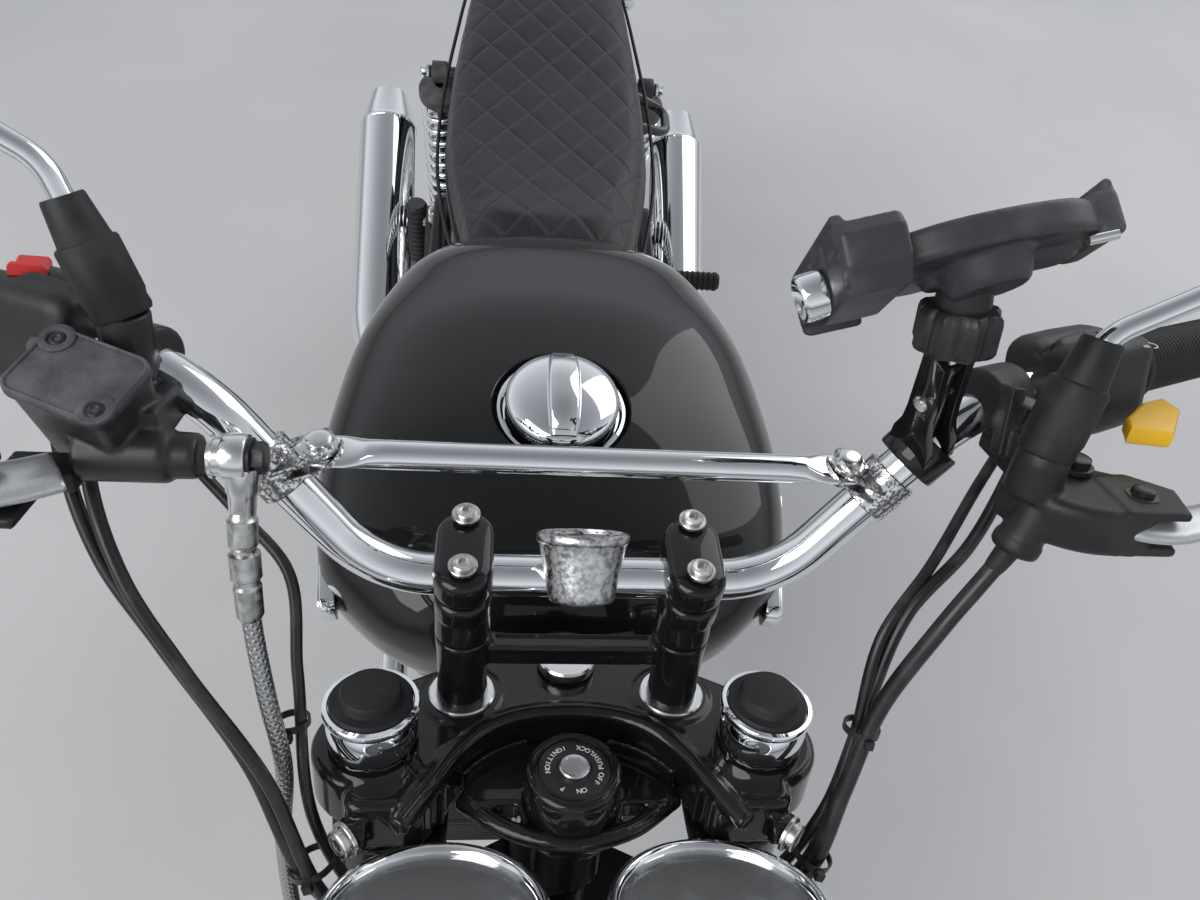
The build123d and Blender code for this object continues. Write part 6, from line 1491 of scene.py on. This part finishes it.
pins = [on_loop(whole * i / links) for i in range(links)]
parts = []
for i in range(links):
    here, there = pins[i], pins[(i + 1) % links]
    way = there - here
    mid = (here + there) / 2
    half = np.linalg.norm(way) / 2
    a = np.linspace(-pi / 2, pi / 2, 6)
    right_end = np.stack([half + 6.6 * np.cos(a), 6.6 * np.sin(a)], -1)
    waist = np.array([(0, 5.2)])
    outline = np.concatenate([right_end, waist, -right_end, -waist])
    x0 = 4.4 if i % 2 else 2.4
    for side in (-1, 1):
        spot = (sprocket_x + side * (x0 + 0.9), *mid)
        parts.append(laid(skin([[(x, y, -0.9) for x, y in outline], [(x, y, 0.9) for x, y in outline]]),
                          spot, across, (0, *way)))
    parts.append(turned([(0.05, -6.5), (2.3, -6.3), (2.3, -2.4), (4.5, -2.3), (4.5, 2.3), (2.3, 2.4),
                         (2.3, 6.3), (0.05, 6.5)], (sprocket_x, *here), across, 10))
piece("chain_links", parts, chain_steel, "chassis", 30, ["drive_chain"])

# Fork: chromed tubes slide in satin alloy legs below rubber dust seals. The axle runs through the
# feet and is held by a nut and pinch bolts.
satin = Finish("satin_alloy", (0.6, 0.6, 0.595), 0.38, 0.85)
satin.aged((30, 6, 0.42, 0.8), (0.62, 0.62, 0.615), (0.47, 0.47, 0.46), (0.3, 0.2), (260, 3, 0.03))
tubes, seals, rings, nuts = [], [], [], []
for s in (-1, 1):
    tubes.append(to_head(turned([(0.05, -374), (20.5, -374), (20.5, 4), (19.5, 4.6), (0.05, 4.6)],
                                (s * fork_x, fork_back, 0), count=56)))
    seals.append(to_head(turned([(20.6, -336), (31, -336), (31, -332), (29.4, -330), (29.4, -326),
                                 (27.6, -324), (27.6, -320), (25, -317), (22, -315), (20.6, -315.4)],
                                (s * fork_x, fork_back, 0), count=56, loop=True)))
    rings.append(to_head(turned([(27.2, -349), (32, -348.6), (32.4, -347), (32.4, -337), (31.6, -336.2),
                                 (27.2, -336)], (s * fork_x, fork_back, 0), count=56, loop=True)))
    nuts.append(to_head(hex_screw((s * 134, fork_back, -690), (s, 0, 0), 12, 7, 15)))
    nuts.append(to_head(turned([(0.05, 0), (4.8, 0), (4.8, 3), (3.8, 3.6), (0.05, 3.6)],
                               (s * fork_x, -78, -655), (0, -1, 0), 20)))
piece("fork_stanchions", tubes, chrome, "steering", stands_for=["fork_tubes"])
cast("fork_sliders", [cad_part("fork_legs")], 2.2, 4, satin, "steering",
     ["fork_legs"])
piece("fork_dust_seals", seals, rubber, "steering", 34)
piece("fork_seal_rings", rings, chrome, "steering")
piece("fork_axle_nuts", nuts, bright, "steering")

# Mudguards: black pressed steel shells with a rolled bead along every edge, the front one hung from
# lugs on the fork legs, the rear one under the seat.


def round_hub(points, hub, angles):
    """Points of (x, radius) carried round an axle: each at radius*sin a forward and radius*cos a up."""
    x = np.broadcast_to(points[None, :, 0], (len(angles), len(points))) + hub[0]
    return np.stack([x, hub[1] - np.outer(np.sin(angles), points[:, 1]),
                     hub[2] + np.outer(np.cos(angles), points[:, 1])], -1)


guards = [
    # name, middle, half width, edge radius, crown radius, first and last angle, body
    ("front", front_hub, 60.0, 322.6, 352.6, -52, 60, "steering"),
    ("rear", rear_hub, 78.0, 331.6, 363.6, -54, 46, "chassis"),
]
lug = front_hub + 318 * head_up
for name, hub, half, edge_r, crown_r, first, last, body in guards:
    arc = through((-half, edge_r + 12), (0, crown_r), (half, edge_r + 12), 31)
    inside = arc[::-1] - [(0, 2.4)]
    inside[:, 0] *= (half - 2.4) / half
    section = np.concatenate([[(-half, edge_r)], arc, [(half, edge_r), (half - 2.4, edge_r)], inside,
                              [(2.4 - half, edge_r)]])
    a = np.radians(np.linspace(first, last, 70))
    parts = [skin(round_hub(section, hub, a))]
    for x in (-half + 1.2, half - 1.2):
        line = round_hub(np.array([(x, edge_r)]), hub, a)[:, 0]
        parts.append(swept(line, circle(2.3, 10), toward=across))
    for angle in (a[0], a[-1]):
        line = round_hub(arc - (0, 1.2), hub, np.array([angle]))[0]
        parts.append(swept(line, circle(2.3, 10), toward=(0, -cos(angle), -sin(angle))))
    if name == "front":
        parts += [block((24, 30, 34), lug + (s * 69.5, 0, 0), head_up) for s in (-1, 1)]
    piece(f"{name}_mudguard", parts, lacquer, body, 34, [f"{name}_fender"])
piece("mudguard_bolts",
      [hex_screw(lug + (s * 69, -14 * cos(rake), 10 + 14 * sin(rake)), (0, -cos(rake), sin(rake)), 5, 4,
                 7.5) for s in (-1, 1)], bright, "steering")

# Brake calipers: cast alloy blocks over the discs, painted dark. Socket screws hold each to its
# bracket, and the front one has a bleed nipple.
cast("front_caliper_body", [cad_part("front_caliper")], 1.8, 4, lid_grey, "steering",
     ["front_caliper"])
cast("rear_caliper_body", [cad_part("rear_caliper")], 1.8, 4, lid_grey, "chassis",
     ["rear_caliper"])
out = np.array([0, cos(radians(20)), sin(radians(20))])
fore = np.cross(out, (1, 0, 0))
spot = front_hub + (-64, 0, 0) + out * 144
piece("front_caliper_bolts",
      [socket_screw(spot + (-24, 0, 0) + fore * k, (-1, 0, 0), 7, 5) for k in (-32, 0, 32)]
      + [turned([(0.05, 0), (4, 0), (4, 5, 6), (2.4, 6), (2.4, 10), (3, 11), (3, 13), (0.05, 13)],
                spot + fore * 45 * np.sign(fore[2]) + (-12, 0, 0), (0, 0.2, 1), 16)], bright,
      "steering")
out = np.array([0, cos(radians(128)), sin(radians(128))])
fore = np.cross(out, (1, 0, 0))
spot = rear_hub + (-74, 0, 0) + out * 108
piece("rear_caliper_bolts",
      [socket_screw(spot + (-22, 0, 0) + fore * k, (-1, 0, 0), 6, 5) for k in (-24, 24)], bright,
      "chassis")

# Headlamp: a black pressed bowl bolted between two ears, with a chromed rim, a bright reflector and
# its bulb cap, and fluted glass.
cast("lamp_bowl", [cad_part("headlamp")], 1.7, 4, lacquer, "steering", ["headlamp"])
lamp_at, forward = np.array([0, -586.0, 800]), (0, -1, 0)
piece("lamp_rim",
      [turned([(80.5, 48.5), (86, 50), (91, 54), (91.6, 57), (89.6, 62), (85, 64.4), (81, 63.6),
               (79.6, 61)], lamp_at, forward, 120, loop=True)], chrome, "steering")
piece("lamp_reflector",
      [turned([(79, 59.5), (76, 56), (60, 51.5), (30, 48.9), (13, 48.5), (13, 48.2), (0.05, 48.2)],
              lamp_at, forward, 96),
       turned([(0.05, 48), (9, 48), (9, 54), (7.6, 56.4), (0.05, 57)], lamp_at, forward, 32)], chrome,
      "steering")
lamp_glass = Finish("lamp_glass", (0.86, 0.9, 0.93), 0.05, 0.0, Coat_Weight=1.0)
flute = lamp_glass.add("TexWave", {"Vector": lamp_glass.spot, "Scale": 60.0, "Distortion": 0.0}, 1,
                       wave_type="BANDS", bands_direction="X")
lamp_glass.set("Alpha", 0.16 + flute * 0.14)
lamp_glass.set("Roughness", 0.04 + lamp_glass.noise(20, 3) * 0.05)
lamp_glass.relief(flute, 0.5)
lamp_glass.material.surface_render_method = "BLENDED"
glass_r = [(79.4, 60), (74, 63.4), (56, 67.4), (30, 70.6), (0.05, 71.8)]
piece("lamp_lens",
      [turned(glass_r + [(0.05, 69.4), (30, 68.2), (56, 65.2), (74, 61.2), (79.4, 58.6)], lamp_at,
              forward, 96)], lamp_glass, "steering", stands_for=["headlamp_lens"])
piece("lamp_ear_bolts", [hex_screw((s * 96, -616, 800), (s, 0, 0), 7, 2, 9) for s in (-1, 1)], bright,
      "steering")

# Turn signals: chromed pressed cups on rubber stems with ribbed amber lenses, two by the lamp and
# two at the tail.
amber = Finish("amber_lens", (0.85, 0.24, 0.01), 0.12, 0.0, Coat_Weight=1.0)
grid = amber.cells(420)
amber.tint(grid, (0.95, 0.32, 0.015), (0.7, 0.16, 0.005))
amber.relief(grid, 0.6)
signals = [
    # body, x of the inner end and of the cup, y, z, way the lens looks, name
    ("steering", 95, 174, -616.0, 800.0, -1, "front"),
    ("chassis", 24, 130, 868.0, 656.0, 1, "rear"),
]
for body, inner, cup_x, y, z, look, name in signals:
    cups, lenses, stems = [], [], []
    for s in (-1, 1):
        stems.append(turned([(0.05, 0), (10, 0), (10, 3), (7, 6), (6.4, cup_x - inner - 30),
                             (7, cup_x - inner - 24), (7, cup_x - inner - 18),
                             (0.05, cup_x - inner - 18)], (s * inner, y, z), (s, 0, 0), 28))
        cups.append(turned([(0.05, -17), (8, -16.4), (16, -12), (21.6, -4), (23.6, 4), (24, 10),
                            (23, 11), (0.05, 11)], (s * cup_x, y, z), (0, look, 0), 48))
        lenses.append(turned([(0.05, 9), (22.4, 9), (22.6, 11), (21.4, 13.4), (15, 15.8), (8, 16.8),
                              (0.05, 17)], (s * cup_x, y, z), (0, look, 0), 48))
    stands = ["front_indicators"] if name == "front" else []
    piece(f"{name}_signal_cups", cups, chrome, body, stands_for=stands)
    piece(f"{name}_signal_stems", stems, rubber, body)
    piece(f"{name}_signal_lenses", lenses, amber, body)

# Tail lamp over a bracket that also carries the plate: a chromed ring, a ribbed red lens, and a blank
# pressed plate with a raised rim.
red_glass = Finish("red_lens", (0.6, 0.01, 0.01), 0.12, 0.0, Coat_Weight=1.0)
grid = red_glass.cells(420)
red_glass.tint(grid, (0.72, 0.02, 0.015), (0.4, 0.004, 0.004))
red_glass.relief(grid, 0.6)
plate_lean, tail_at = radians(12), (0, 898, 690)
piece("tail_housing",
      [turned([(0.05, -23), (32, -23), (38, -16), (40, -8), (40, 8), (38, 10), (0.05, 10)], tail_at,
              (0, 1, 0), 64), block((46, 52, 50), (0, 872, 652)), block((40, 100, 9), (0, 935, 616)),
       block((180, 2.2, 100), (0, 976.6, 640), (0, -sin(plate_lean), cos(plate_lean)))], lid_grey,
      "chassis", stands_for=["tail_lamp"])
piece("tail_ring",
      [turned([(34, 9), (40.4, 9), (41, 10.5), (40.2, 13), (37.6, 14), (34, 13.6)], tail_at, (0, 1, 0),
              72, loop=True)], chrome, "chassis")
rings = [(37 - 4.2 * k - (k % 2) * 0.1, 14 + 1.05 * k + (0.7 if k % 2 else 0)) for k in range(8)]
ribbed = [(0.05, 10), (37, 10), *rings, (0.05, 23)]
piece("tail_lens", [turned(ribbed, tail_at, (0, 1, 0), 72)], red_glass, "chassis", 28)
plate_white = Finish("plate_paint", (0.78, 0.78, 0.76), 0.4)
plate_white.aged((26, 6, 0.45, 0.8), (0.8, 0.8, 0.78), (0.6, 0.59, 0.56), None, (200, 2, 0.02))
plate_up, plate_spot = (0, cos(plate_lean), sin(plate_lean)), np.array([0, 978.4, 640])
piece("number_board", [slab(rounded(190, 110, 9), -0.6, 0.7, 0.4, plate_spot, plate_up, (1, 0, 0)),
                       laid(bead(rounded(184, 104, 7), 0.8), plate_spot, plate_up, (1, 0, 0))],
      plate_white, "chassis")
piece("number_board_bolts",
      [laid(hex_screw((x, y, 0.6), (0, 0, 1), 3.4, 2.6, 5.6), plate_spot, plate_up, (1, 0, 0))
       for x in (-74, 74) for y in (-38, 38)], bright, "chassis")

# Engine: a silver cast crankcase with polished side covers, black finned barrels and head. Covers are
# held by rows of socket screws, the head by domed nuts, and the plugs wear rubber caps.
engine_alloy = Finish("engine_alloy", (0.5, 0.5, 0.495), 0.48, 0.8)
engine_alloy.aged((18, 6, 0.4, 0.75), (0.52, 0.52, 0.515), (0.36, 0.355, 0.34), (0.38, 0.25),
                  (500, 4, 0.08))
barrel_black = Finish("barrel_paint", (0.03, 0.03, 0.031), 0.5, 0.1)
barrel_black.aged((16, 6, 0.4, 0.75), (0.026, 0.026, 0.027), (0.07, 0.066, 0.06), (0.42, 0.25),
                  (500, 4, 0.07))
cast("crankcase_casting", [cad_part("crankcase")], 2.8, 5, engine_alloy, "chassis",
     ["crankcase"])


def finned(name, node, low_z, count, length, width, corner, core):
    """Fins, each a rounded slab with a thinned edge, round a core of (size, middle)."""
    parts = [slab(rounded(length, width, corner, 10), z, z + 3.2, 1.1, (0, -60, 0))
             for z in low_z + 12.5 * np.arange(count)]
    parts += [block(size, middle) for size, middle in core]
    piece(name, parts, barrel_black, "chassis", 34, [node])


finned("barrels", "cylinders", 434.9, 9, 238, 158, 34, [((184, 102, 112.5), (0, -60, 486.3))])
finned("head_fins", "cylinder_head", 544.4, 5, 244, 166, 34, [((194, 120, 62.5), (0, -60, 573.6))])
cover_line = rounded(122, 50, 19, 10)
piece("rocker_cover", [slab(cover_line, -118, 118, 7, (0, -60, 627), (1, 0, 0), (0, 1, 0)),
                       slab(rounded(132, 6, 2.5), -116, 116, 1.5, (0, -60, 607), (1, 0, 0), (0, 1, 0))],
      alloy, "chassis", 34)
nuts = [turned([(0.05, -1), (8.4, -1), (8.4, 0.6), (7, 1, 6), (7, 5, 6), (5.6, 7.6), (3, 9.4),
                (0.05, 9.8)], (x, y, 651.4), (0, 0, 1), 24) for x in (-96, -34, 34, 96)
        for y in (-84, -36)]
nuts += [turned([(0.05, 0), (15, 0), (16, 1.5), (16, 6), (14.6, 7.6), (0.05, 8)], (s * 118, -60, 630),
                (s, 0, 0), 40) for s in (-1, 1)]
nuts += [hex_screw((x, y, 438), (0, 0, 1), 6, 6, 8.6) for x in (-104, 104) for y in (-116, -4)]
piece("head_nuts", nuts, chrome, "chassis")
plugs = []
for s in (-1, 1):
    plugs.append(turned([(0.05, -6), (6.4, -6), (6.8, 4), (7.4, 6), (7.4, 26), (6.2, 28), (6.2, 40),
                         (7, 42), (7, 46), (4, 50), (0.05, 50)], (s * 50, -150, 590),
                        (s * 0.15, -0.7, 0.7), 24))
piece("plug_caps", plugs, rubber, "chassis")

covers = [
    # side, thickness, first circle (y, z, radius), second circle (y, z, radius)
    (-1, 34.0, (24, 338, 92), (-98, 322, 58)),
    (1, 34.0, (-86, 326, 78), (20, 330, 50)),
    (1, 22.0, (104, 362, 62), (150, 342, 40)),
]


def hull_of(first, second, count=64):
    """The outline of a belt round two circles: of each direction, the circle that reaches further."""
    spots = []
    for a in np.arange(count) * tau / count:
        way = heading(a)
        reach = max((first, second), key=lambda c: np.dot(c[:2], way) + c[2])
        spots.append(np.array(reach[:2]) + reach[2] * way)
    closed = np.array(spots + spots[:1])
    walk = walked(closed)
    at = np.linspace(0, walk[-1], 121)[:-1]
    return np.stack([np.interp(at, walk, closed[:, 0]), np.interp(at, walk, closed[:, 1])], -1)


parts, screws, seams = [], [], []
for side, thick, first, second in covers:
    line = hull_of(first, second)
    middle = line.mean(0)
    ring = [(1.0, 0), (1.0, 5), (0.985, 6.2), (0.93, 6.6), (0.9, 8), (0.87, thick * 0.62),
            (0.8, thick * 0.86), (0.68, thick * 0.96), (0.4, thick), (0.02, thick)]
    for levels, made in ((ring, parts), (((1.006, -0.6), (1.006, 0.8)), seams)):
        rows = [np.column_stack([np.full(len(line), side * (112 + h)),
                                 *(middle + (line - middle) * k).T]) for k, h in levels]
        made.append(skin(rows))
    for i in range(0, 120, 12):
        spot = middle + (line[i] - middle) * 0.955
        screws.append(socket_screw((side * 118.4, *spot), (side, 0, 0), 4.6, 4, 2.2))
    parts.append(turned([(0.05, 0), (first[2] * 0.42, 0), (first[2] * 0.42, 1.6),
                         (first[2] * 0.38, 2.6), (first[2] * 0.34, 1.4), (0.05, 1.4)],
                        (side * (112 + thick - 1.5), first[0], first[1]), (side, 0, 0), 56))
piece("side_covers", parts, alloy, "chassis", 34, ["engine_covers"])
piece("cover_screws", screws, bright, "chassis")
piece("cover_gaskets", seams, rubber, "chassis")
piece("oil_filler",
      [turned([(0.05, 0), (15, 0), (15, 3), (17, 4), (17, 12), (15.4, 13.4), (0.05, 14)],
              (-124, 92, 396), (-0.3, 0.2, 1), 32)], plastic, "chassis")

# Carburettors and airbox: two cast bodies with screwed float bowls and round tops. Steel clamps hold
# them between the sleeves of the head and of the airbox.
cast("intake_set", [cad_part("carburettors")], 2.0, 4, lid_grey, "chassis",
     ["carburettors"])
bands = [turned([(23.4, -5), (25, -4.6), (25, 4.6), (23.4, 5)], (x, y, 578.5), (0, 1, 0), 40, loop=True)
         for x in (-46, 46) for y in (16, 36, 98, 118)]
bowls = [slab(rounded(40, 38, 9), 0, 16, 3, (x, 66, 522)) for x in (-46, 46)]
screws = [socket_screw((x + dx, 66 + dy, 523), (0, 0, -1), 3, 2) for x in (-46, 46) for dx in (-15, 15)
          for dy in (-14, 14)]
screws += [turned([(0.05, 0), (17, 0), (18, 1.5), (18, 7), (16, 9), (0.05, 9.6)], (x, 66, 612),
                  (0, 0, 1), 36) for x in (-46, 46)]
piece("intake_clamps", bands + screws, zinc, "chassis")
piece("float_bowls", bowls, satin, "chassis")

# Oil cooler: flat alloy tubes with folded fins between them, brazed in a frame that is painted black
# and stands ahead of the engine.
folds = []
for i in range(8):
    x = np.linspace(-83, 83, 84)
    z = 464.6 + i * 9.5 + np.arange(84) % 2 * 6.0 - 0.2
    rows = [np.stack([x, np.full(84, y), z], -1) for y in (-357.5, -342.5)]
    folds.append(skin(rows, around=False, ends=False))
piece("cooler_fins", folds, satin, "chassis")
coated("oil_cooler", barrel_black)

# Exhaust: two chromed headers, straw-coloured where they leave the head, into tapered mufflers with a
# rolled seam, held by clamps.
hot_chrome = Finish("heated_chrome", (0.86, 0.87, 0.885), 0.08, 1.0)
from_port = (hot_chrome.add("SeparateXYZ", {0: hot_chrome.spot}, 2)
             - hot_chrome.add("SeparateXYZ", {0: hot_chrome.spot}, 1))
heat = hot_chrome.ease(from_port + hot_chrome.noise(30, 3) * 0.04, 0.5, 0.78)
hot_chrome.tint(heat * 0.8, (0.86, 0.87, 0.885), (0.7, 0.5, 0.26))
hot_chrome.set("Roughness", 0.04 + hot_chrome.noise(40, 4) * 0.1)
hot_chrome.relief(hot_chrome.noise(160, 2), 0.01)
pipes, mufflers, clamps, flanges = [], [], [], []
for s in (-1, 1):
    line = bent([(s * 50, -121.5, 572.5), (s * 58, -222, 568.5), (s * 140, -262, 330),
                 (s * 174, -176, 206), (s * 186, 100, 206), (s * 228, 300, 318)], [40, 60, 60, 90],
                0.07)
    pipes.append(swept(line, circle(19.5, 36), toward=(s * 0.96, 0.1, 0.25)))
    start, end = np.array([s * 228, 300, 318.0]), np.array([s * 250, 831, 464.0])
    way = end - start
    long = np.linalg.norm(way)
    way /= long
    mufflers.append(turned([(19.6, 1), (24.5, 1), (24.5, 25), (27, 31), (41.4, 94), (45.4, 116),
                            (46.8, 130), (46.8, long - 70), (47.4, long - 69), (47.4, long - 66),
                            (46.6, long - 64.5), (45, long - 60), (30.5, long - 1), (28.6, long),
                            (22.4, long), (21.2, long - 1.5), (21, long - 69), (0.05, long - 69)],
                           start, way, 88))
    clamps.append(turned([(24.6, 2), (27, 2.4), (27, 15.6), (24.6, 16)], start, way, 56, loop=True))
    clamps.append(hex_screw(start + way * 9 + np.array([0, 0, -26.5]), (s, 0, 0), 4, 14, 0))
    flanges.append(turned([(19.8, 0), (30, 0), (31, 1), (31, 7), (29, 8), (19.8, 8)],
                          (s * 50.6, -146, 572.2), (s * 0.08, -1, -0.03), 48, loop=True))
    clamps += [turned([(0.05, 0), (5.4, 0), (5.4, 5, 6), (4, 7), (0.05, 7.4)],
                      (s * 50.6 + dx, -153, 572.2 + dz), (0, -1, 0), 18)
               for dx, dz in ((-23, 12), (23, -12))]
piece("header_pipes", pipes, hot_chrome, "chassis", stands_for=["exhaust_pipes"])
piece("megaphones", mufflers, chrome, "chassis", 30, ["mufflers"])
piece("exhaust_clamps", clamps, bright, "chassis")
piece("port_flanges", flanges, satin, "chassis")

# Rear shocks: black damper bodies inside chromed springs of ten turns, with rubber-bushed eyes and
# a notched preload ring at the foot.
foot, head = np.array([0, 636.0, 361.6]), np.array([0, 560.0, 700.0])
way = head - foot
long = np.linalg.norm(way)
way /= long
springs, dampers, caps, eyes = [], [], [], []
for s in (-1, 1):
    at = foot + (s * 140, 0, 0)
    t = np.linspace(0, 10.4 * tau, 300)
    coil = np.stack([24.4 * np.cos(t), 24.4 * np.sin(t), 49 + (long - 101) * t / t[-1]], -1)
    springs.append(laid(swept(coil, circle(4.5, 10), toward=(0, 0, 1)), at, way))
    dampers.append(laid(turned([(0.05, 20), (17, 20), (19, 22), (19, 120), (17.6, 122), (7, 123),
                                (7, long - 40), (0.05, long - 40)]), at, way))
    caps += [laid(turned([(8, 24), (20, 24), (22, 32), (30, 34), (30.4, 36), (30, 42), (24, 44),
                          (8, 44)], loop=True), at, way),
             laid(turned([(8, long - 46), (27, long - 46), (30, long - 43), (30.4, long - 40),
                          (30, long - 30), (27, long - 27), (16, long - 24), (8, long - 20)],
                         loop=True), at, way)]
    caps += [laid(block((3, 5, 7), (30 * cos(a), 30 * sin(a), 37)), at, way)
             for a in np.arange(8) * tau / 8]
    for spot in (at, head + (s * 140, 0, 0)):
        caps.append(turned([(8.1, -10), (13, -10), (14, -9), (14, 9), (13, 10), (8.1, 10)], spot,
                           across, 32, loop=True))
        eyes.append(turned([(0.05, 0), (11, 0), (11, 3), (8.4, 3.4, 6), (8.4, 9, 6), (5, 12),
                            (0.05, 13)], spot + (s * 14, 0, 0), (s, 0, 0), 28))
piece("shock_springs", springs, chrome, "chassis", 60, ["shock_absorbers"])
piece("shock_dampers", dampers, lacquer, "chassis")
piece("shock_caps", caps, lid_grey, "chassis")
piece("shock_nuts", eyes, chrome, "chassis")

# Frame, swingarm, stands and hangers: welded tube and plate in black enamel, chipped a little and
# dusty in patches.
enamel = Finish("frame_enamel", (0.022, 0.022, 0.023), 0.28, 0.0, Coat_Weight=0.6)
enamel.aged((18, 6, 0.42, 0.8), (0.018, 0.018, 0.019), (0.05, 0.049, 0.046), (0.24, 0.3),
            (240, 4, 0.05))
for name in ("frame", "swingarm", "centre_stand", "side_stand", "pillion_hangers", "foot_controls",
             "lifting_handle", "chain_guard"):
    coated(name, enamel)
bolts = []
for s in (-1, 1):
    bolts += [hex_screw((s * 89, -222 + dy, 334), (s, 0, 0), 7, 7, 10) for dy in (-44, 44)]
    bolts += [hex_screw((s * 155, 222, 375), (s, 0, 0), 11, 8, 14),
              hex_screw((s * 131, 699, 331.6), (s, 0, 0), 12, 9, 15)]
    bolts += [hex_screw((s * 143, y, z), (s, 0, 0), 6, 5, 9) for y, z in ((226, 384), (122, 296))]
    bolts += [hex_screw((s * 153, y, z), (s, 0, 0), 6, 5, 9) for y, z in ((352, 524), (418, 562))]
    bolts += [hex_screw((s * 70, 560, 742.5), (0, 0, 1), 4, 3, 0)]
    bolts += [hex_screw((s * 115, 738, 331.6), (0, 1, 0), 5, 16, 0)]
piece("frame_bolts", bolts, zinc, "chassis")

# Foot pegs and pedals: ribbed rubber sleeves pushed on steel bars, for the rider's and the
# passenger's pegs, and shorter ones on the pedals.
sleeve = [(13.2, 0), (15, 0.6)]
for k in range(11):
    sleeve += [(15, 2 + k * 8.4), (13.8, 3 + k * 8.4), (13.8, 6.8 + k * 8.4), (15, 7.8 + k * 8.4)]
sleeve += [(15, 96), (13, 98), (0.05, 98)]
pegs = []
for s in (-1, 1):
    pegs.append(turned([(0.05, 0)] + sleeve, (s * 171, 146, 308), (s, 0, 0), 28))
    pegs.append(turned([(0.05, 0), (10.4, 0), (11, 1), (11, 3), (10, 4), (10, 8), (11, 9), (11, 13),
                        (10, 14), (10, 18), (11, 19), (11, 23), (10, 24), (10, 28), (11, 29), (11, 33),
                        (10, 35), (0.05, 35)], (s * 171, -52, 268), (s, 0, 0), 24))
slim = [(0.05, 0)] + [(r - 0.6, z) for r, z in sleeve]
pegs += [turned(slim, (184, 440, 460), (1, 0, 0), 28), turned(slim, (-168, 440, 476), (0, 0, 1), 28)]
piece("peg_rubbers", pegs, rubber, "chassis")

# Side panels: black pressed covers with rolled edges below the seat, each held by three chromed
# knobs.
cast("panel_pressings", [cad_part("side_panels")], 1.8, 6, lacquer, "chassis",
     ["side_panels"])
piece("panel_knobs",
      [turned([(0.05, 0), (9, 0), (10, 1.5), (10, 6), (8.4, 8), (4, 8.6), (0.05, 8.7)],
              (s * 129.4, y, z), (s, 0, 0), 32) for s in (-1, 1)
       for y, z in ((150, 676), (306, 676), (226, 552))], chrome, "chassis")
